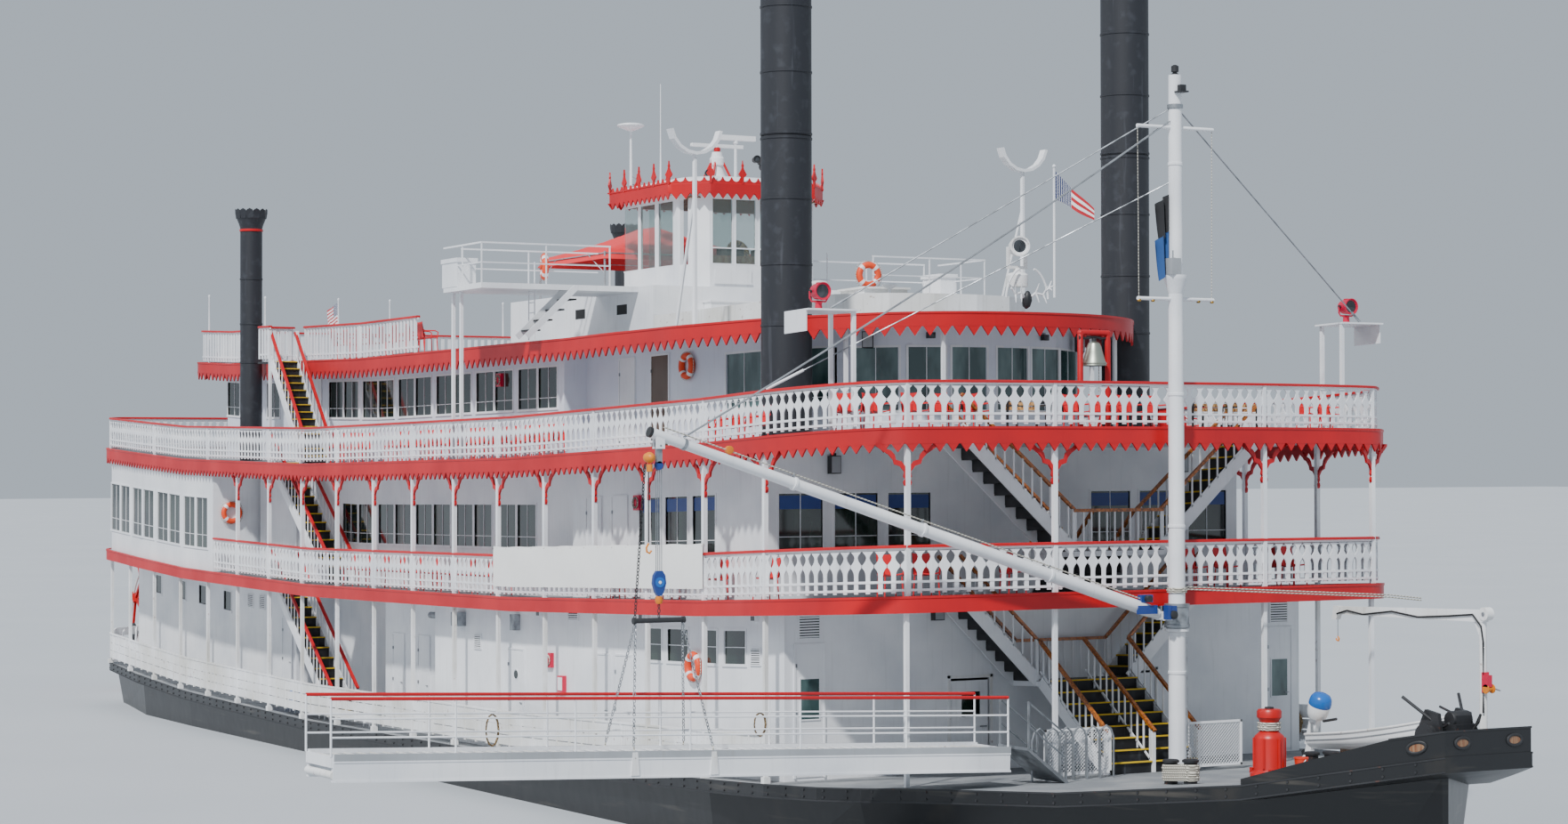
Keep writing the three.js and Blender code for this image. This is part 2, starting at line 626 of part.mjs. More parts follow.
function makeRoofRail() {
  const aft = [[-480, -588], [-2283, -588], [-2318, -555], [-2318, 555], [-2283, 588], [-480, 588]];
  const gates = [-1, 1].map((side) => sideBox(side, AFT_STAIR.landing + 4, AFT_STAIR.head - 4, 560, 620,
    ROOF_DECK + 40, ROOF_DECK + 150));
  const stanchions = [-500, -910, -1350, -1470, -1900].flatMap((x) => [-1, 1].map((side) => sideBox(side,
    x - 3, x + 3, 585, 591, ROOF_DECK + GAP, ROOF_DECK + RAIL_HEIGHT - 2)));
  const sills = [-1, 1].map((side) => sideBox(side, -1470, -1350, 586, 590, ROOF_DECK + 6, ROOF_DECK + 14));
  const staffs = FLAGSTAFFS.map(([y, height]) => bar([-2318, y, ROOF_DECK + GAP + 3],
    [-2318, y, ROOF_DECK + RAIL_HEIGHT + height], 4, 2, 6));
  const bars = sweptCut(join(rows(aft, ROOF_DECK, 0, BALUSTRADE)), gates);
  return bars.add(sweptJoin([...stanchions, ...sills, ...staffs]));
}

// Boards that hide the edge of a deck, a small gap outside it
const FASCIA = 5;

function fascia(outline, z0, z1) {
  const outer = slab(mirrored(shrink(outline, -FASCIA - GAP)), z0, z1);
  return sweptCut(outer, [slab(mirrored(shrink(outline, -GAP)), z0 - 1, z1 + 1)]);
}

// The stacks stand in the edge of the roof, so its fascia is in a forward and an aft piece
function makeRoofFascia(x0, x1) {
  const reach = box(x0, x1, -BEAM_HALF, BEAM_HALF, ROOF_DECK - 100, ROOF_DECK + 200);
  return cut(fascia(ROOF_OUTLINE, ROOF_DECK - 34, ROOF_DECK + 2), stackHoles().map(swept)).intersect(reach);
}

// Roof structures

const PILOT = { x0: 38, x1: 415, half: 204, chamfer: 60, floor: 1440, sill: 1500, head: 1672, top: 1686 };

function pilotOutline(grow) {
  const { x0, x1, half, chamfer } = PILOT;
  return [[x0 - grow, half + grow], [x1 - chamfer, half + grow], [x1 + grow, half - chamfer + grow * 0.4]];
}

function makePilothouse() {
  const floor = slab(mirrored(shrink(pilotOutline(0), 2)), PILOT.floor + GAP, PILOT.floor + 8);
  return house(pilotOutline(0), PILOT.floor + GAP, PILOT.top, [
    ...sideWindows([78, 176, 280], 84, PILOT.sill, PILOT.head, 300),
    ...sideWindows([365], 16, PILOT.sill, PILOT.head, 300),
    ...endWindows([36, 106], 60, PILOT.sill, PILOT.head, 395, 440),
    ...endWindows([80], 100, PILOT.sill + 20, PILOT.head, 20, 60),
  ]).add(swept(floor));
}

const RADAR = { x: 190, z: 1822, y: 0 };

function makePilotRoof() {
  const roof = slab(mirrored(pilotOutline(29)), PILOT.top + GAP, PILOT.top + 32);
  const dome = slab(mirrored(pilotOutline(10)), PILOT.top + 31, PILOT.top + 50);
  const radarPost = bar([RADAR.x, RADAR.y, PILOT.top + 49], [RADAR.x, RADAR.y, RADAR.z - 0.5], 12, 9, 8);
  const whip = bar([90, -120, PILOT.top + 49], [90, -120, 2010], 2, 1, 6);
  const dishPost = bar([50, -190, PILOT.top + 49], [50, -190, 1885], 4, 3, 6);
  const dish = lathe([[0, 0], [18, 4], [36, 14], [36, 18], [0, 20]], 12, 50, -190, 1883);
  return sweptJoin([roof, dome, radarPost, whip, dishPost, dish]);
}

const TEXAS = { x0: -450, x1: 430, half: 318, top: 1440 };
const WING = { x0: 105, x1: 345, y0: TEXAS.half + GAP, y1: 765, z: 1440, thick: 14 };
// Height, depth and half width of each bar
const WING_RAIL = [[100, 4, 2], [50, 3, 1.5]];

function makeWing(side) {
  const { x0, x1, y0, y1, z, thick } = WING;
  const floor = sideBox(side, x0, x1, y0, y1, z - thick, z);
  const rails = WING_RAIL.flatMap(([height, depth, half]) => [
    sideBox(side, x0, x0 + 2 * half, y0, y1 - 50, z + height, z + height + depth),
    sideBox(side, x1 - 2 * half, x1, y0 + 80, y1, z + height, z + height + depth),
    sideBox(side, x0, x1, y1 - 2 * half, y1, z + height, z + height + depth),
  ]);
  const uprights = [[x0, 520], [x0, 711], [x1 - 4, y0 + 80], [x1 - 4, 580], [x1 - 4, 761], [x0 + 116, 761]];
  const rods = uprights.map(([x, y]) => sideBox(side, x + 0.5, x + 3.5, y + 0.5, y + 3.5, z - 1, z + 103));
  const locker = sideBox(side, x0 - 6, x0 + 90, y1 - 52, y1 + 1, z - 2, z + 62);
  const lid = sideBox(side, x0 - 10, x0 + 94, y1 - 56, y1 + 3, z + 61, z + 72);
  const legs = [x0 + 4, x0 + 55].map((x) => sideBox(side, x, x + 8, 736, 744, DECK_3 + GAP, z - 1));
  return swept(join([floor, ...rails, ...rods, locker, lid, ...legs]));
}

function makeTexasHouse() {
  const { x0, x1, half, top } = TEXAS;
  const block = box(x0, x1, -half, half, ROOF_DECK + GAP, top);
  const inside = box(x0 + WALL, x1 - WALL, -half + WALL, half - WALL, ROOF_DECK + GAP - 5, top - WALL);
  return sweptCut(block, [inside]);
}

function makeTrunk() {
  const half = [[TEXAS.x1 + 2, 318], [1120, 318], [1270, 270], [1350, 170], [1375, 60]];
  return sweptCut(slab(mirrored(half), ROOF_DECK + GAP, ROOF_DECK + 68),
    [slab(mirrored(shrink(half, WALL)), ROOF_DECK - 5, ROOF_DECK + 60)]);
}

// A shade of cloth on four legs aft of the pilothouse, hipped, as a thin stretched skin
const CANOPY = {
  x0: -440, x1: -15, half: 240, eave: 1540, peak: 1645, hip: 150, ridge: 12, skin: 4, leg: 6,
};

function makeCanopy() {
  const { x0, x1, half, eave, peak, hip, ridge, skin, leg } = CANOPY;
  const z0 = TEXAS.top + GAP;
  const hipped = (inset, drop, foot) => loft([
    [x0 + inset, half - inset, half - inset, foot, eave + 22 - drop],
    [x0 + hip, ridge, half - inset, foot, peak - drop],
    [x1 - hip, ridge, half - inset, foot, peak - drop],
    [x1 - inset, half - inset, half - inset, foot, eave + 22 - drop],
  ]);
  const legs = [x0 + leg, x1 - leg].map((x) => [x, half - leg]);
  return sweptJoin([
    hipped(0, 0, eave).subtract(hipped(skin, skin, eave - 1)),
    ...posts(legs, leg, z0, eave + 20),
  ]);
}

// Stacks

// The flared head of a stack and the thin crown that stands on its rim
function crown(x, y, z, r) {
  return lathe([[0, 0], [r - 1, 0], [r, 4], [r * 1.36, r * 0.75], [r * 1.36, r], [r * 1.5, r * 1.8],
    [r * 1.44, r * 1.8], [r * 1.26, r], [r * 0.95, r * 0.5], [0, r * 0.5]], 16, x, y, z);
}

const pinX = STACK.x - STACK.r - STACK.pinOffset;

// An eye round the hinge's pin with an arm to the tube: below the hinge on the base, above it on the stack
function hingeEye(y0, y1, up) {
  const arm = box(pinX - STACK.knuckle, pinX + 20, y0, y1, ...[0.6 * up, 26 * up].sort((a, b) => a - b)
    .map((z) => STACK.hingeZ + z));
  return bar([pinX, y0, STACK.hingeZ], [pinX, y1, STACK.hingeZ], STACK.knuckle, STACK.knuckle, 12).add(arm);
}

function makeStackBase(side) {
  const y = side * STACK.y;
  const foot = DECK_3 + deckLift(STACK.x + STACK.r) + GAP;
  const tube = bar([STACK.x, y, foot], [STACK.x, y, STACK.hingeZ - 1], STACK.r, STACK.r, 16);
  const ears = [hingeEye(y + 8, y + 13, -1), hingeEye(y - 13, y - 8, -1)];
  const pin = bar([pinX, y - 10, STACK.hingeZ], [pinX, y + 10, STACK.hingeZ], 2.5, 2.5, 8);
  return join([tube, ...ears, pin]);
}

function makeStack(side) {
  const y = side * STACK.y;
  const neck = STACK.top - STACK.r * 1.8;
  const tube = bar([STACK.x, y, STACK.hingeZ + 0.5], [STACK.x, y, neck + 1], STACK.r, STACK.r, 16);
  const bore = bar([pinX, y - 10, STACK.hingeZ], [pinX, y + 10, STACK.hingeZ], 3.2, 3.2, 8);
  return join([tube, hingeEye(y - 6, y + 6, 1)]).subtract(bore).add(crown(STACK.x, y, neck, STACK.r));
}

function saddle(side) {
  const y = side * STACK.y;
  const centre = STACK.hingeZ + STACK.pinOffset + STACK.r;
  const steps = 8;
  const arc = (r, reverse) => Array.from({ length: steps + 1 }, (_, k) => {
    const a = THREE.MathUtils.degToRad(-170 + (reverse ? steps - k : k) * (160 / steps));
    return [y + r * Math.cos(a), centre + r * Math.sin(a)];
  });
  const cradle = crossProfile([...arc(SADDLE.outer, false), ...arc(SADDLE.inner, true)],
    SADDLE.x - SADDLE.halfLength, SADDLE.x + SADDLE.halfLength);
  const foot = ROOF_DECK + roofLift(SADDLE.x) - 2;
  const post = bar([SADDLE.x, y, foot], [SADDLE.x, y, centre - SADDLE.inner - 3], 7, 6, 6);
  const brace = bar([SADDLE.x - SADDLE_BRACE, y - side * 10, foot], [SADDLE.x, y, 1640], 4, 4, 4);
  return join([cradle, post, brace]);
}

const REAR_STACK = { x: -1656, y: 652, r: 34, top: 1782 };

function makeRearStack(side) {
  const foot = DECK_3 + deckLift(REAR_STACK.x - REAR_STACK.r) + GAP;
  const neck = REAR_STACK.top - REAR_STACK.r * 1.8;
  const tube = bar([REAR_STACK.x, side * REAR_STACK.y, foot], [REAR_STACK.x, side * REAR_STACK.y, neck + 1],
    REAR_STACK.r, REAR_STACK.r, 12);
  return tube.add(crown(REAR_STACK.x, side * REAR_STACK.y, neck, REAR_STACK.r));
}

// Mast, boom and landing stage

const mastRadius = (z) => MAST.rFoot + ((z - MAST.foot) / (MAST.top - MAST.foot)) * (MAST.rTop - MAST.rFoot);
const COLLAR = { z0: 640, z1: 692, r: 27, clearance: 0.8 };

function makeMast() {
  const foot = MAIN_DECK + deckLift(MAST.x + MAST.baseRadius) + GAP;
  const pole = bar([MAST.x, 0, foot], [MAST.x, 0, MAST.top], MAST.rFoot, MAST.rTop, 12);
  const base = bar([MAST.x, 0, foot], [MAST.x, 0, foot + 12], MAST.baseRadius, MAST.baseRadius, 12);
  const seat = bar([MAST.x, 0, COLLAR.z0 - 10], [MAST.x, 0, COLLAR.z0 - 0.5], 25, 25, 12);
  const trees = [1700, 1335].map((z) => box(MAST.x - 4, MAST.x + 4, -100, 100, z, z + 6));
  const platform = bar([MAST.x, 0, 1383], [MAST.x, 0, 1389], 26, 26, 12);
  const lamp = bar([MAST.x, 0, MAST.top - 1], [MAST.x, 0, MAST.top + 22], 8, 8, 8);
  const stayX = LIGHT.x + 38;
  const stayZ = LIGHT.platform + lift(stayX, LIGHT.platform) + 2;
  const ends = [-1, 1].map((side) => [stayX, side * (LIGHT.y + 20), stayZ]);
  const stays = ends.map((end) => bar([MAST.x, 0, 1750], end, 1.6, 1.6, 5));
  return join([pole, base, seat, ...trees, platform, lamp, ...stays]);
}

function makeCollar() {
  const ring = bar([MAST.x, 0, COLLAR.z0], [MAST.x, 0, COLLAR.z1], COLLAR.r, COLLAR.r, 12);
  const ears = [[9, 14], [-14, -9]].map(([a, b]) => box(MAST.x + a, MAST.x + b, BOOM.heelY - 8, -15,
    BOOM.heelZ - 9, BOOM.heelZ + 9));
  const bore = mastRadius(COLLAR.z0) + COLLAR.clearance;
  const hole = bar([MAST.x, 0, COLLAR.z0 - 10], [MAST.x, 0, COLLAR.z1 + 10], bore, bore, 12);
  const pin = bar([MAST.x - 11, BOOM.heelY, BOOM.heelZ], [MAST.x + 11, BOOM.heelY, BOOM.heelZ], 3, 3, 12);
  const winch = bar([MAST.x + 10, BOOM.heelY, BOOM.heelZ + 4], [MAST.x + 40, BOOM.heelY, BOOM.heelZ + 4],
    9, 9, 8);
  return join([ring, ...ears, winch]).subtract(hole).add(pin);
}

function makeBoom() {
  const tongue = box(MAST.x - 7, MAST.x + 7, BOOM.heelY - 22, BOOM.heelY + 6,
    BOOM.heelZ - 7, BOOM.heelZ + 7);
  const bore = bar([MAST.x - 20, BOOM.heelY, BOOM.heelZ], [MAST.x + 20, BOOM.heelY, BOOM.heelZ],
    3.5, 3.5, 12);
  const slope = (BOOM.tipZ - BOOM.heelZ) / (BOOM.tipY - BOOM.heelY);
  const along = (y) => [MAST.x, y, BOOM.heelZ + (y - BOOM.heelY) * slope];
  const spar = bar(along(BOOM.heelY - 16), along(BOOM.tipY - 22), BOOM.r, BOOM.rTip, 12);
  const [, tipY, tipZ] = along(BOOM.tipY);
  const ears = [[5, 9], [-9, -5]].map(([a, b]) => box(MAST.x + a, MAST.x + b,
    tipY - 9, tipY + 9, tipZ - 26, tipZ));
  const pin = bar([MAST.x - 7, tipY, tipZ - 20], [MAST.x + 7, tipY, tipZ - 20], 2, 2, 10);
  return join([spar, tongue]).subtract(bore).add(join([...ears, pin]));
}

const TACKLE = { pinZ: BOOM.tipZ - 20, block: 775, bar: 690, half: 55 };

function makeTackle() {
  const { pinZ, block, half } = TACKLE;
  const y = BOOM.tipY;
  const eye = box(MAST.x - 4, MAST.x + 4, y - 6, y + 6, pinZ - 34, pinZ + 5);
  const bore = bar([MAST.x - 10, y, pinZ], [MAST.x + 10, y, pinZ], 2.5, 2.5, 10);
  const falls = [-5, 0, 5].map((dy) => box(MAST.x - 1, MAST.x + 1, y + dy - 1, y + dy + 1,
    block - 4, pinZ - 30));
  const lower = lathe([[0, -22], [9, -12], [15, 6], [11, 20], [0, 26]], 8, MAST.x, y, block - 14);
  const link = box(MAST.x - 2, MAST.x + 2, y - 2, y + 2, TACKLE.bar, block - 30);
  const spreader = bar([MAST.x, y - half, TACKLE.bar], [MAST.x, y + half, TACKLE.bar], 5, 5, 8);
  const slings = [-1, 1].flatMap((end) => [-1, 1].map((side) => {
    const footY = y + end * (half + 30);
    const foot = [MAST.x + side * 60, footY, stageTop(footY) + 0.9];
    return bar([MAST.x, y + end * (half - 4), TACKLE.bar], foot, 1.6, 1.6, 5);
  }));
  return join([eye.subtract(bore), ...falls, lower, link, spreader, ...slings]);
}

function stageTop(y) {
  const t = (y - STAGE.inboard) / (STAGE.outboard - STAGE.inboard);
  return STAGE.depth + STAGE.zInboard + t * (STAGE.zOutboard - STAGE.zInboard);
}

function makeStage() {
  const { half, inboard, outboard, depth } = STAGE;
  const alongY = (y0, y1, below, above, x0, x1) => crossProfile([
    [y0, stageTop(y0) + below], [y1, stageTop(y1) + below],
    [y1, stageTop(y1) + above], [y0, stageTop(y0) + above],
  ], x0, x1);
  const body = alongY(inboard, outboard, -depth, 0, MAST.x - half, MAST.x + half);
  const well = alongY(inboard + 5, outboard - 5, -depth + 8, 5, MAST.x - half + 8, MAST.x + half - 8);
  const deckBoards = alongY(inboard, outboard, -12, -7, MAST.x - half + 1, MAST.x + half - 1);
  const rails = [-1, 1].flatMap((side) => {
    const x = MAST.x + side * (half - 3);
    const lines = [[98, 5], [50, 3]].map(([z, d]) => alongY(inboard, outboard, z, z + d,
      x - 1.5, x + 1.5));
    const count = 6;
    const uprights = Array.from({ length: count + 1 }, (_, k) => {
      const y = inboard - 3 + (k / count) * (outboard - inboard + 6);
      return box(x - 1.5, x + 1.5, y - 1.5, y + 1.5, stageTop(y) - 5, stageTop(y) + 102);
    });
    return [...lines, ...uprights];
  });
  return join([body.subtract(well), deckBoards, ...rails]);
}

const RAMP = { near: -320, far: -420, half: 55, lip: 404 };

function makeRamp() {
  const deck = MAIN_DECK + deckLift(MAST.x + RAMP.half) + GAP;
  const { near, far, half, lip } = RAMP;
  const plate = crossProfile([[near, deck], [near, deck + 4], [far, lip + 6], [far, lip], [near - 8, deck]],
    MAST.x - half, MAST.x + half);
  const rails = [-1, 1].flatMap((side) => {
    const x = MAST.x + side * (half - 3);
    return [
      ...[100, 52].map((z) => bar([x, near - 4, deck + z], [x, far + 4, lip + z - 2], 2, 2, 4)),
      box(x - 2, x + 2, near - 6, near - 2, deck + 2, deck + 102),
      box(x - 2, x + 2, far + 2, far + 6, lip + 2, lip + 100),
    ];
  });
  return join([plate, ...rails]);
}

// Foredeck gear

// Its top climbs from low to high, and is level from full on
const BULWARK = { low: 10, high: 46, full: 3100 };

function makeBulwark() {
  const half = MAIN_OUTLINE.filter(([x]) => x >= 2850);
  const wall = band(roundTheBow(half), 2, 8, MAIN_DECK + GAP, MAIN_DECK + BULWARK.high);
  const above = sideProfile([[2840, MAIN_DECK + BULWARK.low], [BULWARK.full, MAIN_DECK + BULWARK.high + 0.5],
    [BULWARK.full, MAIN_DECK + 80], [2840, MAIN_DECK + 80]], -BEAM_HALF, BEAM_HALF);
  return sweptCut(wall, [above]);
}

function makeCapstan() {
  const { x, y, r, flange, height } = CAPSTAN;
  const foot = MAIN_DECK + deckLift(x + flange) + GAP;
  return lathe([[0, 0], [flange, 0], [flange, 12], [r, 18], [r, height * 0.6], [r * 0.6, height * 0.68],
    [r * 0.6, height * 0.82], [r * 0.8, height * 0.87], [r * 0.8, height], [0, height]], 16, x, y, foot);
}

function makeWindlass() {
  const foot = MAIN_DECK + deckLift(3070);
  const bed = swept(box(3020, 3130, -60, 60, MAIN_DECK + GAP, MAIN_DECK + 16));
  const cheeks = [-1, 1].map((side) => sideBox(side, 3042, 3108, 34, 42, foot + 11, foot + 90));
  const drum = bar([3075, -58, foot + 50], [3075, 58, foot + 50], 24, 24, 12);
  const motor = box(3085, 3128, -26, 26, foot + 22, foot + 100);
  const levers = [-1, 1].map((side) => bar([3080, side * 38, foot + 80],
    [3030, side * 70, foot + 124], 3, 3, 6));
  return join([bed, ...cheeks, drum, motor, ...levers]);
}

const SKIFF = { x0: 2480, x1: 2885, y: 205, z: 384, tilt: 7 };

function makeSkiff() {
  const { x0, x1, y, z } = SKIFF;
  const at = (t) => x0 + t * (x1 - x0);
  // t along the boat, half width above, half width below, bottom, top
  const frames = [[0, 56, 38, 8, 42], [0.35, 62, 42, 2, 40], [0.65, 55, 34, 2, 44],
    [0.88, 28, 12, 10, 52], [1, 4, 2, 22, 58]];
  const outer = loft(frames.map(([t, a, b, low, high]) => [at(t), a, b, z + low, z + high]));
  const inner = loft(frames.slice(0, 4).map(([t, a, b, low, high]) => [at(t * 0.98 + 0.015),
    Math.max(a - 4, 3), Math.max(b - 4, 2), z + low + 4, z + high + 20]));
  const climb = (t) => (at(t) - x0) * Math.tan((SKIFF.tilt * Math.PI) / 180);
  const chocks = [0.2, 0.62].map((t) => box(at(t), at(t) + 8, -34, 34,
    MAIN_DECK + deckLift(at(t) + 8) + GAP, z + 8 + climb(t)));
  const seats = [0.3, 0.6].map((t) => box(at(t), at(t) + 16, -50, 50, z + 26, z + 29));
  const shell = join([outer.subtract(inner), ...seats]).translate([-x0, 0, -z]).rotate([0, -SKIFF.tilt, 0]);
  return join([shell.translate([x0, 0, z]), ...chocks]).translate([0, y, 0]);
}

function makeOutboard() {
  const { x0, y, z } = SKIFF;
  const leg = bar([x0 - 30, y, z + 80], [x0 - 62, y, z - 12], 9, 6, 8);
  const cowl = bar([x0 - 34, y, z + 76], [x0 - 16, y, z + 120], 24, 20, 10);
  // The leaning transom's face at the bracket's top
  const transom = x0 - 40 * Math.tan((SKIFF.tilt * Math.PI) / 180);
  const bracket = box(x0 - 44, transom - GAP, y - 11, y + 11, z + 22, z + 40);
  return join([leg, cowl, bracket]);
}

function makeDavit() {
  const foot = MAIN_DECK + 40 + deckLift(DAVIT.x + 11) + GAP;
  const { x, y, top, reach } = DAVIT;
  const column = bar([x, y, foot], [x, y, top], 8, 6, 10);
  const arm = bar([x + 8, y, top - 10], [x - reach, y, top - 16], 11, 8, 8);
  const head = box(x - reach - 4, x - reach + 10, y - 5, y + 5, top - 36, top - 8);
  const winch = box(x + 4, x + 26, y - 10, y + 10, 545, 575);
  const hook = bar([x - reach + 3, y, top - 33], [x - reach + 3, y, top - 80], 1.5, 1.5, 6);
  return join([column, arm, head, winch, hook]);
}

// Wheel, its beams and the rudders

// One frame of the wheel: a hub and a ring, joined by an arm for each board
function wheelFrame(y0, y1) {
  const { x, z, boards, armTip, armHalf, ringOuter, ringInner, hub } = WHEEL;
  const step = (2 * Math.PI) / boards;
  const at = (r, a) => new THREE.Vector2(x + r * Math.cos(a), z + r * Math.sin(a));
  // The corner of an arm at one radius: k is the arm, and side is -1 or 1
  const corner = (r, k, side) => at(r, k * step + side * Math.asin(armHalf / r));
  const arms = Array.from({ length: boards }, (_, k) => k);
  const shape = new THREE.Shape(arms.flatMap((k) => [corner(ringOuter, k, -1), corner(armTip, k, -1),
    corner(armTip, k, 1), corner(ringOuter, k, 1)]));
  shape.holes = arms.map((k) => new THREE.Path([corner(hub, k, 1), corner(ringInner, k, 1),
    corner(ringInner, k + 1, -1), corner(hub, k + 1, -1)]));
  const geometry = new THREE.ExtrudeGeometry(shape, { depth: y1 - y0, bevelEnabled: false });
  geometry.rotateX(Math.PI / 2);
  geometry.translate(0, y1, 0);
  return solid(geometry);
}

function makeWheel() {
  const { x, z, radius, half, boards, boardDepth, frames, armHalf } = WHEEL;
  const shaft = bar([x, -half - 58, z], [x, half + 58, z], 14, 14, 12);
  const spread = half - 12;
  const wheelFrames = Array.from({ length: frames }, (_, f) => {
    const y = -spread + (f / (frames - 1)) * 2 * spread;
    return wheelFrame(y - 4, y + 4);
  });
  const paddles = Array.from({ length: boards }, (_, k) => box(radius - boardDepth, radius, -half, half,
    armHalf - 1, armHalf + 5).rotate([0, -(k * 360) / boards, 0]).translate([x, 0, z]));
  return join([shaft, ...wheelFrames, ...paddles]);
}

const BEAM = { y0: 418, y1: 448, z0: 200, z1: 272, x0: -3500, x1: -3050 - GAP };

function makeWheelBeams() {
  const beams = [-1, 1].map((side) => sideBox(side, BEAM.x0, BEAM.x1, BEAM.y0, BEAM.y1, BEAM.z0, BEAM.z1));
  const tie = box(-3075, BEAM.x1, -BEAM.y1, BEAM.y1, 205, 235);
  const blocks = [-1, 1].map((side) => sideBox(side, WHEEL.x - 32, WHEEL.x + 32, BEAM.y0, BEAM.y1,
    BEAM.z1 - 1, WHEEL.z + 30));
  const bore = bar([WHEEL.x, -470, WHEEL.z], [WHEEL.x, 470, WHEEL.z], 15, 15, 12);
  const braces = [-1, 1].map((side) => bar([-3078, side * 433, 270], [-3078, side * 433, 280], 6, 6, 6));
  return join([...beams, tie, ...blocks, ...braces]).subtract(bore);
}

const RUDDER = { x: -2990, ys: [-300, 0, 300], z0: 12, z1: 88, aft: 98, fore: 34, half: 4 };

function makeRudder(y) {
  const blade = box(RUDDER.x - RUDDER.aft, RUDDER.x + RUDDER.fore, y - RUDDER.half, y + RUDDER.half,
    RUDDER.z0, RUDDER.z1);
  const stockTop = 120 * ((-2500 - RUDDER.x - 7) / 550) - GAP;
  const stock = bar([RUDDER.x, y, RUDDER.z0 + 2], [RUDDER.x, y, stockTop], 7, 7, 10);
  return blade.add(stock);
}

// Searchlights, bell and radar

function makeSearchlight(side) {
  const [x, y] = [LIGHT.x - 10, side * (LIGHT.y + 20)];
  const z = LIGHT.platform + lift(x + 12, LIGHT.platform);
  const foot = bar([x, y, z + GAP], [x, y, z + 18], 12, 10, 8);
  const lamp = bar([x - 16, y, z + 40], [x + 20, y, z + 40], 17, 19, 12);
  const yoke = box(x - 5, x + 5, y - 22, y + 22, z + 17, z + 22);
  const arms = [-1, 1].map((end) => box(x - 5, x + 5, y + end * 20 - 2, y + end * 20 + 2, z + 18, z + 44));
  return join([foot, lamp, yoke, ...arms]);
}

function makeBell() {
  const z = BELL.pivot + lift(BELL.x, BELL.pivot);
  const body = lathe([[0, -62], [28, -62], [24, -48], [19, -30], [15, -12], [0, -6]], 12, BELL.x, 0, z);
  const mouth = lathe([[0, -70], [25, -70], [18, -48], [12, -24], [0, -18]], 12, BELL.x, 0, z);
  const yoke = box(BELL.x - 4, BELL.x + 4, -BELL.half + GAP, BELL.half - GAP, z - 5, z + 3);
  const hub = box(BELL.x - 3, BELL.x + 3, -6, 6, z - 14, z);
  return join([body.subtract(mouth), yoke, hub]);
}

function makeRadarBar() {
  const z = RADAR.z + roofLift(RADAR.x);
  const hub = bar([RADAR.x, RADAR.y, z], [RADAR.x, RADAR.y, z + 12], 8, 8, 8);
  return hub.add(box(RADAR.x - 5, RADAR.x + 5, -80, 80, z + 11, z + 21));
}

function makeSternFlag() {
  const foot = ROOF_DECK + RAIL_HEIGHT + 22;
  const [staffY] = FLAGSTAFFS[2];
  return swept(box(-2423, -2321.2, staffY - 2, staffY + 2, foot, foot + 80));
}

const MAST_FLAG = { z0: 1420, z1: 1540, long: 60 };

function makeMastFlag() {
  const hoist = -mastRadius(MAST_FLAG.z0) - GAP;
  return box(MAST.x - 2, MAST.x + 2, hoist - MAST_FLAG.long, hoist, MAST_FLAG.z0, MAST_FLAG.z1);
}

place("hull", makeHull(), "black");
place("main_deck", makeMainDeck(), "grey");
place("main_deck_rail", makeMainRail(), "white");
place("gangway_gates", makeGates(), "white");
place("bow_bulwark", makeBulwark(), "black");
place("main_house", makeMainHouse(), "white");
place("lower_stair", frontStair(LOWER_STAIR, MAIN_DECK, DECK_2, 5, 5), "white");
place("deck_2", makeDeck2(), "white");
place("deck_2_rail", makeDeck2Rail(), "white");
place("deck_2_fascia", fascia(UPPER_OUTLINE, DECK_2 - 30, DECK_2 + 2), "red");
place("house_2", makeHouse2(), "white");
place("stern_house", makeSternHouse(), "white");
place("upper_stair", frontStair(UPPER_STAIR, DECK_2, DECK_3, 3, 6), "white");
place("deck_3", makeDeck3(), "white");
place("deck_3_rail", makeDeck3Rail(), "white");
place("deck_3_fascia", fascia(UPPER_OUTLINE, DECK_3 - 34, DECK_3 + 2), "red");
place("house_3", makeHouse3(), "white");
place("roof_deck", makeRoofDeck(), "white");
place("roof_rail", makeRoofRail(), "white");
place("roof_fascia_aft", makeRoofFascia(STERN, STACK.x), "red");
place("roof_fascia_front", makeRoofFascia(STACK.x, BOW), "red");
place("texas_house", makeTexasHouse(), "white");
place("roof_trunk", makeTrunk(), "white");
place("roof_canopy", makeCanopy(), "cloth");
place("pilothouse", makePilothouse(), "white");
place("pilothouse_roof", makePilotRoof(), "red");
place("radar_bar", makeRadarBar(), "white");
place("mast", makeMast(), "white");
place("boom_collar", makeCollar(), "steel");
place("boom", makeBoom(), "white");
place("tackle", makeTackle(), "blue");
place("landing_stage", makeStage(), "white");
place("boarding_ramp", makeRamp(), "steel");
place("capstan", makeCapstan(), "red");
place("windlass", makeWindlass(), "black");
place("skiff", makeSkiff(), "white");
place("outboard", makeOutboard(), "blue");
place("davit_crane", makeDavit(), "white");
place("bell", makeBell(), "bronze");
place("paddle_wheel", makeWheel(), "red");
place("wheel_beams", makeWheelBeams(), "white");
place("stern_flag", makeSternFlag(), "cloth");
place("mast_flag", makeMastFlag(), "cloth");
const RUDDER_NAMES = ["rudder_starboard", "rudder_centre", "rudder_port"];
RUDDER.ys.forEach((y, k) => place(RUDDER_NAMES[k], makeRudder(y), "black"));
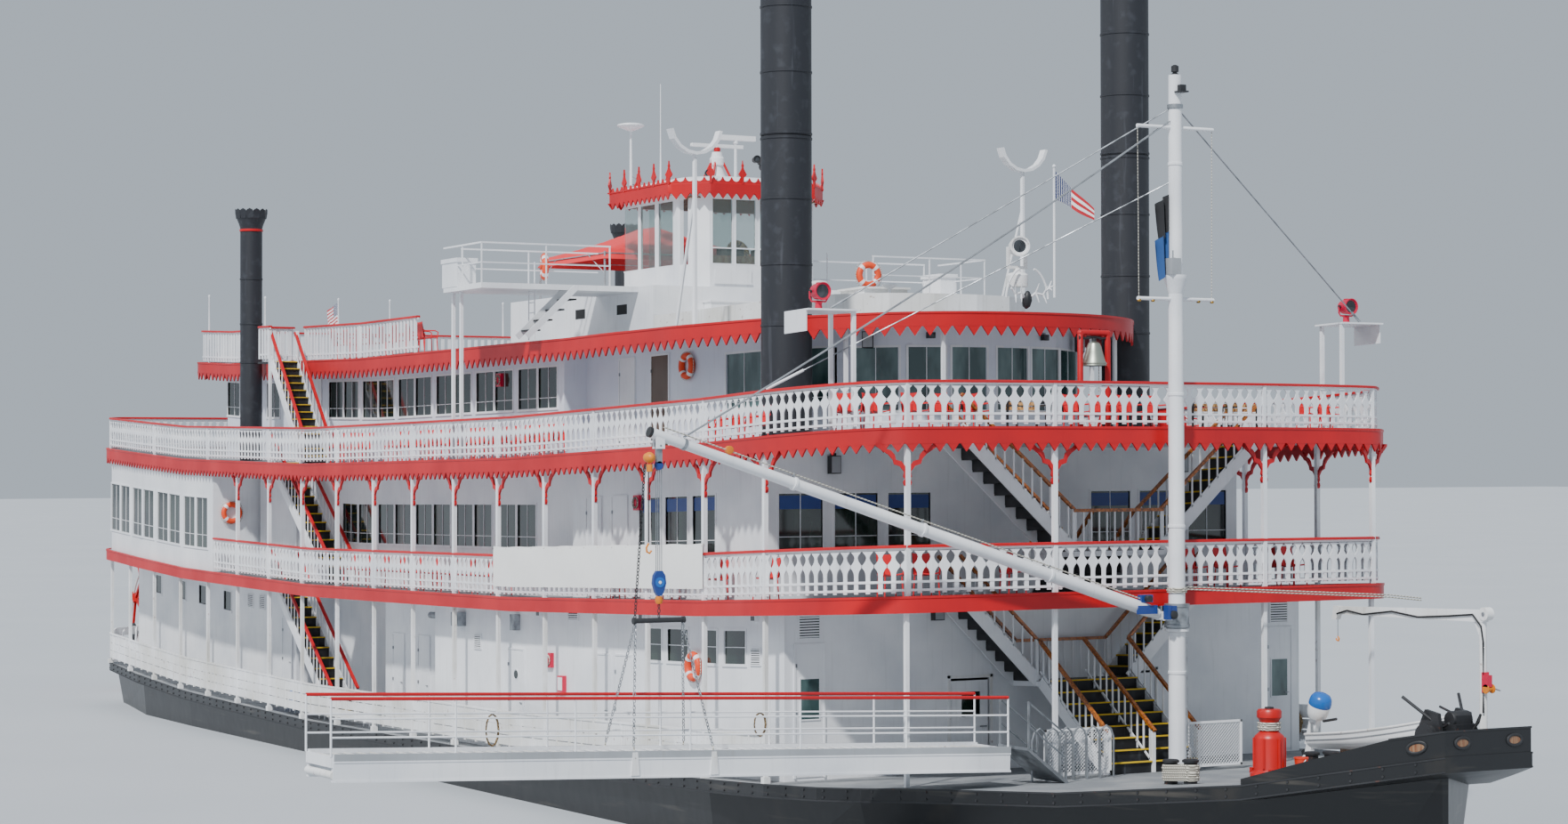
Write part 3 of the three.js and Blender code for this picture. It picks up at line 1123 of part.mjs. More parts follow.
for (const [side, name] of [[-1, "starboard"], [1, "port"]]) {
  place(`main_door_${name}`, makeDoor(side), "white");
  place(`aft_stairs_${name}`, aftStairs(side), "black");
  place(`bridge_wing_${name}`, makeWing(side), "white");
  place(`stack_base_${name}`, makeStackBase(side), "black");
  place(`stack_${name}`, makeStack(side), "black");
  place(`rear_stack_${name}`, makeRearStack(side), "black");
  place(`searchlight_${name}`, makeSearchlight(side), "red");
}

export default boat;
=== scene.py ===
"""Dresses the sternwheel paddle boat: finishes, sawn rails, windows, stairs, deck gear, stacks and flags.

Lengths in the tables are millimetres of the model. Most pieces are drawn level and then lifted by the sweep of
the decks, as the frame's own pieces are. Blender's units are metres.
"""

import json
import math
from collections import namedtuple

import bmesh
import bpy
import numpy as np
from mathutils import Matrix

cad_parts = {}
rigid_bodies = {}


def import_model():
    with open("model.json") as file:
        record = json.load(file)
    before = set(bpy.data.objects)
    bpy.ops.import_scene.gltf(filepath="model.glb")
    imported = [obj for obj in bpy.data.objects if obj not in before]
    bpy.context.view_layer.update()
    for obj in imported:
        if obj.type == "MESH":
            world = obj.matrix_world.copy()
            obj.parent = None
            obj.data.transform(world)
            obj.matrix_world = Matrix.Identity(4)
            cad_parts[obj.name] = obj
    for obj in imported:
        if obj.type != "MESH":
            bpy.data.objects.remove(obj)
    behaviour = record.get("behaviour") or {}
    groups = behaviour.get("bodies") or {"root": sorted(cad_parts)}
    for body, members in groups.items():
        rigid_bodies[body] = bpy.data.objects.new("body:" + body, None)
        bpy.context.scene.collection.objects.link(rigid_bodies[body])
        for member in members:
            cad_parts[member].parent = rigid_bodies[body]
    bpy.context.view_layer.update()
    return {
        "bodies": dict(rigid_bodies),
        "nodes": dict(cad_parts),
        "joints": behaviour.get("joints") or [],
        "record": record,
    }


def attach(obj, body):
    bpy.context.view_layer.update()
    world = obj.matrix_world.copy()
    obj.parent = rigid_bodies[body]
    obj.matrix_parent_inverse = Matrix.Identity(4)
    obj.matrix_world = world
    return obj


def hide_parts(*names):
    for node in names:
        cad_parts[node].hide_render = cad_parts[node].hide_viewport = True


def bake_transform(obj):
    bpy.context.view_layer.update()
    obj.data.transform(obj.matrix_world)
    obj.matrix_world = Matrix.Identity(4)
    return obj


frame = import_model()

bl_info = {
    "name": "Paddle boat finishes",
    "version": (1, 0, 0),
    "blender": (4, 5, 0),
    "location": "3D View > Sidebar > Boat",
    "description": "Builds the visible pieces and finishes of a sternwheel paddle boat around its frame",
    "category": "Object",
}

MM = 0.001
SIDES = ((-1, "starboard"), (1, "port"))

# The frame's own levels and outlines, level, in millimetres of the model
MAIN_DECK = 250
DECK_2 = 640
DECK_3 = 987
ROOF_DECK = 1293
DECK_PLATE = 12
WATERLINE = 150
BAY = 274
FIRST_POST = -1500
POST_INSET = 9
MAIN_FRONT = 1780
DOOR_SILL = MAIN_DECK + 6
PILOT_PANES = (1500, 1672)
BITTS = ((2480, -200), (2545, -200), (2545, 110), (2605, 110))
LOWEST_X = -900
STATIONS = np.array([-3120, -2000, LOWEST_X, 500, 1500, 2500, 2850, 3190], float)

UPPER_HALF = np.array([
    [-2935, 640], [-2910, 700], [-2850, 735], [-2500, 750], [-1700, 760],
    [1790, 760], [1960, 736], [2070, 698], [2128, 652], [2158, 600], [2182, 440], [2195, 200],
], float)
ROOF_HALF = np.array([
    [-2330, 560], [-2290, 600], [200, 600], [700, 590], [1050, 560], [1300, 508],
    [1400, 476], [1500, 420], [1600, 330], [1670, 200], [1695, 70],
], float)
MAIN_WALL = np.array([
    [-2928, 600], [-1400, 600], [-1400, 480], [-640, 480], [-640, 620], [-100, 620], [-100, 700], [1780, 700],
], float)
WALL_2 = np.array([[-1715, 600], [640, 600], [640, 650], [1610, 650]], float)
STERN_WALL = np.array([[-2925, 630], [-2900, 690], [-2840, 725], [-2500, 740], [-1735, 748]], float)
WALL_3 = np.array([
    [-2230, 525], [330, 525], [330, 460], [900, 455], [1150, 430], [1300, 395], [1420, 320], [1500, 200], [1530, 60],
], float)
STACK = {"x": 1400, "y": 476, "r": 58.5, "hinge": 1737, "top": 2350}
REAR_STACK = {"x": -1656, "y": 652, "r": 34, "top": 1782}
MAST = {"x": 2236, "foot": 332, "top": 1815, "low": 19, "high": 14}
WHEEL = {"x": -3450, "z": 370, "radius": 280, "half": 390, "boards": 12}


def sweep_rise(x, aft, fore):
    """A parabola from the lowest point of the decks, steeper aft than forward."""
    return np.where(x < LOWEST_X, aft, fore) * (x - LOWEST_X) ** 2


DECK_RISE = sweep_rise(STATIONS, 1.3e-5, 0.8e-5) + 0.000139 * np.maximum(STATIONS - 2500, 0) ** 2
ROOF_RISE = sweep_rise(STATIONS, 1.3e-5, 0.55e-5)


def lift(x, z):
    """Height added at x: the deck's rise up to deck 3, the roof's rise from the roof, blended between them."""
    share = np.clip((z - DECK_3) / (ROOF_DECK - DECK_3), 0, 1)
    return np.interp(x, STATIONS, DECK_RISE) * (1 - share) + np.interp(x, STATIONS, ROOF_RISE) * share


class BoatColours(bpy.types.PropertyGroup):
    """Paint and cloth colours as sRGB hex values."""

    white: bpy.props.StringProperty(name="White enamel", description="Houses, rails and posts", default="F1F2F4")
    red: bpy.props.StringProperty(name="Red enamel", description="Fascias, cap rails and capstan", default="C5000F")
    black: bpy.props.StringProperty(name="Stack black", description="Stacks and stair treads", default="23252B")
    hull: bpy.props.StringProperty(name="Hull black", description="Hull, guard and bulwark", default="17181A")
    deck: bpy.props.StringProperty(name="Deck grey", description="Walking surfaces", default="7B7F83")
    wood: bpy.props.StringProperty(name="Varnished wood", description="Handrails and benches", default="B5651D")
    buoy: bpy.props.StringProperty(name="Lifebuoy orange", description="Lifebuoys", default="EB4A1B")
    flag_red: bpy.props.StringProperty(name="Flag red", description="Stripes of the flags", default="BE1E2D")
    flag_blue: bpy.props.StringProperty(name="Flag blue", description="Field of the flags", default="20315F")


class RailSizes(bpy.types.PropertyGroup):
    """Sizes of the sawn rails and the trim, in millimetres."""

    height: bpy.props.FloatProperty(name="Rail height", description="Deck to the cap's top", default=107)
    pitch: bpy.props.FloatProperty(name="Board pitch", description="Between sawn boards", default=27.4)
    board: bpy.props.FloatProperty(name="Board thickness", description="Of each sawn board", default=2.4)
    picket: bpy.props.FloatProperty(name="Picket pitch", description="Between plain pickets", default=25)
    tooth: bpy.props.FloatProperty(name="Tooth pitch", description="Between the teeth of a fascia", default=34)
    tooth_depth: bpy.props.FloatProperty(name="Tooth depth", description="Below a fascia", default=18)


class StudioSettings(bpy.types.PropertyGroup):
    """Floor, light and background."""

    floor: bpy.props.StringProperty(name="Floor colour", description="sRGB hex", default="B8BDC2")
    sky: bpy.props.StringProperty(name="Background colour", description="sRGB hex", default="C3CEDA")
    sun: bpy.props.FloatProperty(name="Key light", description="Strength of the sun", default=4.4)
    fill: bpy.props.FloatProperty(name="Fill light", description="Strength of the background", default=0.86)


# Surfaces: a part is a set of corners in millimetres, its faces by blocks of equal corners, and a finish's name

Part = namedtuple("Part", "points faces finish")


def unit(vectors):
    return vectors / np.maximum(np.linalg.norm(vectors, axis=-1, keepdims=True), 1e-9)


def skin(points, finish, closed=True, caps=True):
    """A grid of points[row, column] joined by quads; the columns close on themselves, and the end rows get caps."""
    rows, cols = points.shape[:2]
    i, j = np.meshgrid(np.arange(rows - 1), np.arange(cols if closed else cols - 1), indexing="ij")
    a = i * cols + j
    b = i * cols + (j + 1) % cols
    faces = [np.stack([a, b, b + cols, a + cols], axis=-1).reshape(-1, 4)]
    if caps:
        faces.append(np.stack([np.arange(cols), np.arange((rows - 1) * cols, rows * cols)]))
    return Part(points.reshape(-1, 3), faces, finish)


def tube(path, radius, finish, sides=8, up=(0, 0, 1), loop=False):
    """A circle of the given radius carried along a path: path + radius * (cos a * side + sin a * normal)."""
    path = np.asarray(path, float)
    ahead = np.roll(path, -1, axis=0) - np.roll(path, 1, axis=0) if loop else np.gradient(path, axis=0)
    tangent = unit(ahead)
    side = unit(np.cross(tangent, np.asarray(up, float)))
    normal = np.cross(side, tangent)
    angle = np.arange(sides) * 2 * math.pi / sides
    reach = np.broadcast_to(np.asarray(radius, float), len(path))[:, None, None]
    rings = path[:, None] + reach * (np.cos(angle)[:, None] * side[:, None] + np.sin(angle)[:, None] * normal[:, None])
    if loop:
        rings = np.concatenate([rings, rings[:1]])
        part = skin(rings, finish, caps=False)
        count = len(path) * sides
        return Part(part.points[:count], [part.faces[0] % count], finish)
    return skin(rings, finish)


def turned(profile, finish, centre=(0, 0, 0), axis=(0, 0, 1), sides=24):
    """A profile of (radius, height) rows turned round an axis: centre + height * axis + radius * (cos a, sin a)."""
    profile = np.asarray(profile, float)
    axis = unit(np.asarray(axis, float))
    across = unit(np.cross(axis, (0, 1, 0) if abs(axis[1]) < 0.9 else (1, 0, 0)))
    other = np.cross(axis, across)
    angle = np.arange(sides) * 2 * math.pi / sides
    circle = np.cos(angle)[:, None] * across + np.sin(angle)[:, None] * other
    radius = np.maximum(profile[:, 0], 0.05)[:, None, None]
    return skin(np.asarray(centre, float) + profile[:, 1][:, None, None] * axis + radius * circle, finish)


BOX_FACES = np.array([[0, 1, 3, 2], [4, 6, 7, 5], [0, 4, 5, 1], [2, 3, 7, 6], [0, 2, 6, 4], [1, 5, 7, 3]])


def hexahedra(corners, finish):
    """Many six-sided blocks at once: corners[block, 8, 3], ordered by the bits of their place."""
    faces = (np.arange(len(corners))[:, None, None] * 8 + BOX_FACES).reshape(-1, 4)
    return Part(corners.reshape(-1, 3), [faces], finish)


def boxes(rows, finish):
    """Upright boxes from rows of x0, x1, y0, y1, z0, z1."""
    rows = np.asarray(rows, float).reshape(-1, 6)
    bits = np.array([[k >> 2 & 1, k >> 1 & 1, k & 1] for k in range(8)])
    low, high = rows[:, 0::2], rows[:, 1::2]
    return hexahedra(low[:, None] + bits[None] * (high - low)[:, None], finish)


def bars(starts, ends, width, depth, finish, up=(0, 0, 1)):
    """Rectangular bars between pairs of points: end + (+-width / 2) * side + (+-depth / 2) * normal."""
    starts, ends = np.asarray(starts, float).reshape(-1, 3), np.asarray(ends, float).reshape(-1, 3)
    tangent = unit(ends - starts)
    side = unit(np.cross(tangent, np.broadcast_to(np.asarray(up, float), tangent.shape)))
    normal = np.cross(side, tangent)
    corners = [end + (s * width / 2) * side + (n * depth / 2) * normal
               for end in (starts, ends) for s in (-1, 1) for n in (-1, 1)]
    return hexahedra(np.stack(corners, axis=1), finish)


def rods(starts, ends, radius, finish, sides=6):
    """Round bars between pairs of points, each a prism of the given number of sides."""
    starts, ends = np.asarray(starts, float).reshape(-1, 3), np.asarray(ends, float).reshape(-1, 3)
    tangent = unit(ends - starts)
    helper = np.where(np.abs(tangent[:, 2:]) > 0.9, [[1.0, 0, 0]], [[0, 0, 1.0]])
    side = unit(np.cross(tangent, helper))
    normal = np.cross(side, tangent)
    angle = np.arange(sides) * 2 * math.pi / sides
    circle = radius * (np.cos(angle)[:, None] * side[:, None] + np.sin(angle)[:, None] * normal[:, None])
    points = np.concatenate([starts[:, None] + circle, ends[:, None] + circle], axis=1)
    k = np.arange(sides)
    walls = np.stack([k, (k + 1) % sides, (k + 1) % sides + sides, k + sides], axis=-1)
    ends_faces = np.stack([k, k + sides])
    start = np.arange(len(starts))[:, None, None] * 2 * sides
    return Part(points.reshape(-1, 3), [(start + walls).reshape(-1, 4), (start + ends_faces).reshape(-1, sides)],
                finish)


def stamps(outline, thickness, origins, across, up, finish):
    """Copies of a sawn outline: origin + u * across + v * up, thick along across x up on both sides of it."""
    outline = np.asarray(outline, float)
    origins = np.asarray(origins, float).reshape(-1, 3)
    across = unit(np.broadcast_to(np.asarray(across, float), origins.shape))
    up = unit(np.broadcast_to(np.asarray(up, float), origins.shape))
    normal = np.cross(across, up) * (thickness / 2)
    flat = (origins[:, None] + outline[:, 0][None, :, None] * across[:, None]
            + outline[:, 1][None, :, None] * up[:, None])
    points = np.concatenate([flat - normal[:, None], flat + normal[:, None]], axis=1)
    count = len(outline)
    k = np.arange(count)
    walls = np.stack([k, (k + 1) % count, (k + 1) % count + count, k + count], axis=-1)
    sheets = np.stack([k, k + count])
    start = np.arange(len(origins))[:, None, None] * 2 * count
    return Part(points.reshape(-1, 3), [(start + walls).reshape(-1, 4), (start + sheets).reshape(-1, count)], finish)


def moulding(path, profile, finish, loop=False):
    """A closed profile of (outward, up) rows carried along a level path: outward is to the left of its direction."""
    path, profile = np.asarray(path, float), np.asarray(profile, float)
    ahead = np.roll(path, -1, axis=0) - np.roll(path, 1, axis=0) if loop else np.gradient(path, axis=0)
    tangent = unit(ahead * (1, 1, 0))
    outward = np.stack([-tangent[:, 1], tangent[:, 0], np.zeros(len(path))], axis=1)
    rings = path[:, None] + profile[:, 0][None, :, None] * outward[:, None] + profile[:, 1][None, :, None] * (0, 0, 1)
    if loop:
        count = len(path) * len(profile)
        part = skin(np.concatenate([rings, rings[:1]]), finish, caps=False)
        return Part(part.points[:count], [part.faces[0] % count], finish)
    return skin(rings, finish)


def repeated(parts, places):
    """Copies of small parts at rows of x, y, z and a turn about the vertical in degrees."""
    places = np.asarray(places, float).reshape(-1, 4)
    turn = np.radians(places[:, 3])
    zero, one = np.zeros(len(turn)), np.ones(len(turn))
    matrix = np.stack([np.cos(turn), -np.sin(turn), zero, np.sin(turn), np.cos(turn), zero, zero, zero, one], axis=1)
    matrix = matrix.reshape(-1, 3, 3)
    made = []
    for part in parts:
        points = np.einsum("nij,kj->nki", matrix, part.points) + places[:, None, :3]
        start = np.arange(len(places))[:, None, None] * len(part.points)
        faces = [(start + block).reshape(-1, block.shape[1]) for block in part.faces]
        made.append(Part(points.reshape(-1, 3), faces, part.finish))
    return made


def mirrored(parts):
    """The parts and their mirror images on the other side of the boat."""
    return list(parts) + [Part(part.points * (1, -1, 1), part.faces, part.finish) for part in parts]


def along(path, distances):
    """Points and directions at distances along a line that runs straight between its corners."""
    path = np.asarray(path, float)
    run = np.concatenate([[0], np.cumsum(np.linalg.norm(np.diff(path, axis=0), axis=1))])

    def at(where):
        return np.stack([np.interp(where, run, path[:, k]) for k in range(path.shape[1])], axis=1)

    return at(distances), unit(at(distances + 1) - at(distances - 1))


def length_of(path):
    return np.linalg.norm(np.diff(np.asarray(path, float), axis=0), axis=1).sum()


def faired(corners, step=14.0, longest=170.0):
    """A smooth line through corners: long legs are divided first, then each leg is a Catmull-Rom cubic."""
    corners = np.asarray(corners, float)
    legs = np.linalg.norm(np.diff(corners, axis=0), axis=1)
    counts = np.maximum(1, np.ceil(legs / longest)).astype(int)
    counts[legs < longest * 1.6] = 1
    divided = np.concatenate([a + (b - a) * np.linspace(0, 1, n, endpoint=False)[:, None]
                              for a, b, n in zip(corners[:-1], corners[1:], counts)] + [corners[-1:]])
    padded = np.concatenate([2 * divided[:1] - divided[1:2], divided, 2 * divided[-1:] - divided[-2:-1]])
    pieces = []
    for p0, p1, p2, p3 in zip(padded[:-3], padded[1:-2], padded[2:-1], padded[3:]):
        count = max(2, int(np.linalg.norm(p2 - p1) / step))
        t = np.linspace(0, 1, count, endpoint=False)[:, None]
        pieces.append(0.5 * (2 * p1 + (p2 - p0) * t + (2 * p0 - 5 * p1 + 4 * p2 - p3) * t**2
                             + (3 * p1 - p0 - 3 * p2 + p3) * t**3))
    return np.concatenate([*pieces, divided[-1:]])


def offset(path, distance):
    """A plan line moved to the right of its direction, which is inboard on a line round the bow from port."""
    tangent = unit(np.gradient(np.asarray(path, float), axis=0))
    return path + distance * np.stack([tangent[:, 1], -tangent[:, 0]], axis=1)


def round_the_bow(half, aft=None):
    """A half outline from port aft, forward, round the bow and aft along starboard, from one X if aft is given."""
    if aft is not None:
        start = [aft, np.interp(aft, half[:, 0], half[:, 1])]
        half = np.concatenate([[start], half[half[:, 0] > aft]])
    return np.concatenate([half, half[::-1] * (1, -1)])


def upright(points, z):
    """Plan points at one height."""
    return np.column_stack([points, np.full(len(points), float(z))])


def wall_y(outline, x):
    return np.interp(x, outline[:, 0], outline[:, 1])


def shown(mesh, finishes, sharp):
    """The mesh as a shaded object in the scene, with outward faces and edges above that angle kept sharp."""
    for finish in finishes:
        mesh.materials.append(bpy.data.materials[finish])
    shell = bmesh.new()
    shell.from_mesh(mesh)
    bmesh.ops.recalc_face_normals(shell, faces=shell.faces[:])
    shell.to_mesh(mesh)
    shell.free()
    mesh.polygons.foreach_set("use_smooth", [True] * len(mesh.polygons))
    mesh.set_sharp_from_angle(angle=math.radians(sharp))
    made = bpy.data.objects.new(mesh.name, mesh)
    bpy.context.scene.collection.objects.link(made)
    return made


def piece(name, parts, body="boat", sweep=True, replaced=()):
    """One object from its parts: corners to metres, outward faces, and edges sharper than 35 degrees kept sharp."""
    finishes = list(dict.fromkeys(part.finish for part in parts))
    points = np.concatenate([part.points for part in parts])
    if sweep:
        points = points + np.column_stack([np.zeros((len(points), 2)), lift(points[:, 0], points[:, 2])])
    starts = np.concatenate([[0], np.cumsum([len(part.points) for part in parts])])
    faces, indices = [], []
    for part, start in zip(parts, starts):
        for block in part.faces:
            faces += (block + start).tolist()
            indices += [finishes.index(part.finish)] * len(block)
    mesh = bpy.data.meshes.new(name)
    mesh.from_pydata((points * MM).tolist(), [], faces)
    mesh.polygons.foreach_set("material_index", indices)
    made = shown(mesh, finishes, sharp=35)
    if body:
        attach(made, body)
    if replaced:
        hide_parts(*replaced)
    return made


# Finishes


def linear(hex_colour):
    """sRGB hex to linear red, green, blue and alpha: (c / 12.92) low, ((c + 0.055) / 1.055) ^ 2.4 high."""
    channels = np.array([int(hex_colour[k:k + 2], 16) / 255 for k in (0, 2, 4)])
    curved = np.where(channels <= 0.04045, channels / 12.92, ((channels + 0.055) / 1.055) ** 2.4)
    return (*curved.tolist(), 1.0)


def add(tree, kind, settings=None, **inputs):
    """One node with its settings; an input, named with _ for a space or by its number, gets a value or a socket."""
    made = tree.nodes.new(kind)
    for key, value in (settings or {}).items():
        setattr(made, key, value)
    for key, value in inputs.items():
        socket = made.inputs[int(key[1:]) if key[0] == "n" and key[1:].isdigit() else key.replace("_", " ")]
        if isinstance(value, bpy.types.NodeSocket):
            tree.links.new(value, socket)
        else:
            socket.default_value = value
    return made


def blank(name):
    """A material of that name with its own shader and output, and the node that gives a piece's own coordinates."""
    material = bpy.data.materials.new(name)
    material.use_nodes = True
    tree = material.node_tree
    tree.nodes.clear()
    place = add(tree, "ShaderNodeTexCoord").outputs["Object"]
    return tree, place


def surface(tree, base, roughness, **more):
    """The shader with its colour, roughness and other inputs, joined to the material's output."""
    shader = add(tree, "ShaderNodeBsdfPrincipled", Base_Color=base, Roughness=roughness, **more)
    add(tree, "ShaderNodeOutputMaterial", Surface=shader.outputs[0])


def calculated(tree, operation, *values):
    """One step of arithmetic on sockets or numbers."""
    inputs = {f"n{k}": value for k, value in enumerate(values)}
    return add(tree, "ShaderNodeMath", {"operation": operation}, **inputs).outputs[0]


def spread(tree, factor, low, high):
    """A factor from 0 to 1, made to run from low to high."""
    return add(tree, "ShaderNodeMapRange", Value=factor, To_Min=low, To_Max=high).outputs[0]


def bumped(tree, strength, distance, height, **more):
    """The normal after a bump, whose distance is in metres."""
    return add(tree, "ShaderNodeBump", Strength=strength, Distance=distance, Height=height, **more).outputs[0]


def blended(tree, factor, first, second):
    """Two colours mixed by a factor."""
    mixed = add(tree, "ShaderNodeMix", {"data_type": "RGBA"}, n0=factor, n6=first, n7=second)
    return mixed.outputs[2]


def noise_at(tree, place, size, detail=3.0, stretch=(1, 1, 1)):
    """Cloudy noise whose spots measure size millimetres, drawn out along an axis by less than 1 in stretch."""
    scaled = add(tree, "ShaderNodeMapping", Vector=place, Scale=stretch)
    return add(tree, "ShaderNodeTexNoise", Vector=scaled.outputs[0], Scale=1000 / size, Detail=detail).outputs["Fac"]


def ramp(tree, factor, low, high):
    """Raises a factor from 0 at low to 1 at high."""
    return add(tree, "ShaderNodeMapRange", Value=factor, From_Min=low, From_Max=high).outputs[0]


def enamel(name, colour, faded, roughness=0.38, streaks=0.25, dirt="8D8A80", dents=0.25, rust=0.0):
    """Gloss paint rolled on steel plate. Weather fades it in clouds a hand or two wide, rain draws thin grey
    streaks down it, the plates dish a little between their frames, and the roller leaves an orange peel."""
    tree, place = blank(name)
    clouds = ramp(tree, noise_at(tree, place, 160, 4), 0.35, 0.7)
    base = blended(tree, clouds, linear(colour), linear(faded))
    runs = ramp(tree, noise_at(tree, place, 9, 5, (1, 1, 0.07)), 0.56, 0.8)
    weak = calculated(tree, "MULTIPLY", runs, streaks)
    base = blended(tree, weak, base, linear(dirt))
    if rust:
        spots = ramp(tree, noise_at(tree, place, 14, 6), 0.66, 0.72)
        few = calculated(tree, "MULTIPLY", spots, rust)
        base = blended(tree, few, base, linear("7A4326"))
    gloss = spread(tree, clouds, roughness, roughness + 0.14)
    plates = bumped(tree, dents, 0.004, noise_at(tree, place, 70, 1))
    peel = bumped(tree, 0.12, 0.0004, noise_at(tree, place, 2.5, 2), Normal=plates)
    surface(tree, base, gloss, Normal=peel)


def deck_paint(name, colour):
    """Non-skid deck paint: sand in the paint gives a fine grain, feet polish it in paths."""
    tree, place = blank(name)
    worn = ramp(tree, noise_at(tree, place, 90, 4), 0.4, 0.75)
    base = blended(tree, worn, linear(colour), linear("989A9B"))
    grit = bumped(tree, 0.5, 0.0006, noise_at(tree, place, 1.6, 2))
    surface(tree, base, 0.78, Normal=grit)


def stack_black(name, colour):
    """Heat-proof matt black on rolled steel: nearly even, with faint lighter scuffs and chalky rain marks."""
    tree, place = blank(name)
    scuffs = ramp(tree, noise_at(tree, place, 26, 6), 0.55, 0.85)
    base = blended(tree, scuffs, linear(colour), linear("3A3D44"))
    runs = ramp(tree, noise_at(tree, place, 11, 4, (1, 1, 0.05)), 0.62, 0.86)
    base = blended(tree, runs, base, linear("4B4E55"))
    skin_bump = bumped(tree, 0.2, 0.0015, noise_at(tree, place, 60, 2))
    surface(tree, base, 0.52, Normal=skin_bump)


def hull_black(name, colour):
    """Tar-black epoxy on the plating: satin, with long scrapes along the boat, dried mud and rusty bolts' tears."""
    tree, place = blank(name)
    scrapes = ramp(tree, noise_at(tree, place, 20, 6, (0.08, 0.08, 1)), 0.6, 0.8)
    base = blended(tree, scrapes, linear(colour), linear("4A4640"))
    mud = ramp(tree, noise_at(tree, place, 120, 5), 0.6, 0.85)
    base = blended(tree, mud, base, linear("332F2A"))
    plating = bumped(tree, 0.35, 0.005, noise_at(tree, place, 90, 2))
    surface(tree, base, 0.36, Normal=plating)


def varnished_wood(name, colour, grain=(1, 1, 1)):
    """Oiled and varnished oak: brown grain lines a millimetre or two apart under a clear gloss coat."""
    tree, place = blank(name)
    bent = noise_at(tree, place, 5, 5, grain)
    lines = ramp(tree, bent, 0.42, 0.62)
    base = blended(tree, lines, linear(colour), linear("6E3A12"))
    pores = bumped(tree, 0.2, 0.0005, bent)
    surface(tree, base, 0.42, Normal=pores, Coat_Weight=0.5, Coat_Roughness=0.12)


def plastic(name, colour, second, roughness=0.45, mark=0.35):
    """Moulded plastic or gel coat: even colour, a little chalked by the sun, with a soft highlight."""
    tree, place = blank(name)
    chalk = ramp(tree, noise_at(tree, place, 30, 4), 0.45, 0.8)
    weak = calculated(tree, "MULTIPLY", chalk, mark)
    base = blended(tree, weak, linear(colour), linear(second))
    mould = bumped(tree, 0.15, 0.0005, noise_at(tree, place, 4, 2))
    surface(tree, base, roughness, Normal=mould)


def metal(name, colour, tarnish, roughness=0.35, patch=24.0):
    """Bare metal outdoors: galvanised steel, aluminium or bronze, with duller clouds of oxide."""
    tree, place = blank(name)
    dull = ramp(tree, noise_at(tree, place, patch, 5), 0.4, 0.65)
    base = blended(tree, dull, linear(colour), linear(tarnish))
    rough = spread(tree, dull, roughness, roughness + 0.25)
    scratch = bumped(tree, 0.2, 0.0004, noise_at(tree, place, 3, 3))
    surface(tree, base, rough, Metallic=0.85, Normal=scratch)


def window_glass(name, colour, painted_reflection):
    """Tinted float glass before a dark room, drawn opaque: its nearly black green is painted shade of the room
    behind it. Very smooth and slightly wavy, with lighter clouds of painted reflection, like dim curtains and
    furniture."""
    tree, place = blank(name)
    # the pane's own colour is painted shade of the room behind, and the lighter clouds are painted reflection
    reflection_clouds = ramp(tree, noise_at(tree, place, 55, 3, (1, 1, 0.35)), 0.4, 0.72)
    base = blended(tree, reflection_clouds, linear(colour), linear(painted_reflection))
    wave = bumped(tree, 0.06, 0.002, noise_at(tree, place, 60, 1))
    surface(tree, base, 0.06, Normal=wave, Specular_IOR_Level=0.8)


def clear_glass(name):
    """Plain pilothouse glass: see-through, with a faint green body and a clean reflection."""
    tree, place = blank(name)
    film = ramp(tree, noise_at(tree, place, 40, 3), 0.3, 0.8)
    rough = spread(tree, film, 0.02, 0.1)
    surface(tree, linear("DCE8E6"), rough, Transmission_Weight=0.92, IOR=1.1)


def rope_lay(name, colour, shade):
    """Three-strand nylon rope: slanting strands a few millimetres apart, with painted shade in the hollows between
    them.
    """
    tree, place = blank(name)
    turned_place = add(tree, "ShaderNodeMapping", Vector=place, Rotation=(0.6, 0.5, 0.7)).outputs[0]
    strands = add(tree, "ShaderNodeTexWave", Vector=turned_place, Scale=1000 / 14, Distortion=1.2).outputs["Fac"]
    # the darker colour is painted shade in the hollows between the strands
    base = blended(tree, strands, linear(shade), linear(colour))
    lay = bumped(tree, 0.6, 0.0015, strands)
    surface(tree, base, 0.85, Normal=lay)


def flag_cloth(name, bands, stripe, stripe_other, field, field_size):
    """Woven nylon bunting with even stripes from edge to edge, and a field in the upper corner by the staff.
    The pattern follows the cloth's own map: u from the staff to the fly, v from the foot to the head."""
    tree = blank(name)[0]
    spot = add(tree, "ShaderNodeUVMap", {"uv_map": "cloth"}).outputs[0]
    parts = add(tree, "ShaderNodeSeparateXYZ", Vector=spot)
    u, v = parts.outputs[0], parts.outputs[1]
    count = calculated(tree, "MULTIPLY", v, float(bands))
    pair = calculated(tree, "PINGPONG", count, 1.0)
    whole = calculated(tree, "FLOOR", count)
    odd = calculated(tree, "MODULO", whole, 2.0)
    base = blended(tree, odd, linear(stripe), linear(stripe_other))
    inside_u = calculated(tree, "LESS_THAN", u, field_size[0])
    inside_v = calculated(tree, "GREATER_THAN", v, 1 - field_size[1])
    inside = calculated(tree, "MULTIPLY", inside_u, inside_v)
    dots = add(tree, "ShaderNodeTexVoronoi", {"distance": "EUCLIDEAN"}, Vector=spot, Scale=22.0, Randomness=0.0)
    dot = calculated(tree, "LESS_THAN", dots.outputs["Distance"], 0.27)
    canton = blended(tree, dot, linear(field), linear("F2F2F4"))
    base = blended(tree, inside, base, canton)
    weave = add(tree, "ShaderNodeTexWave", Vector=spot, Scale=60.0).outputs["Fac"]
    cloth = bumped(tree, 0.1, 0.0004, weave)
    soft = spread(tree, pair, 0.78, 0.84)
    surface(tree, base, soft, Normal=cloth, Sheen_Weight=0.2)


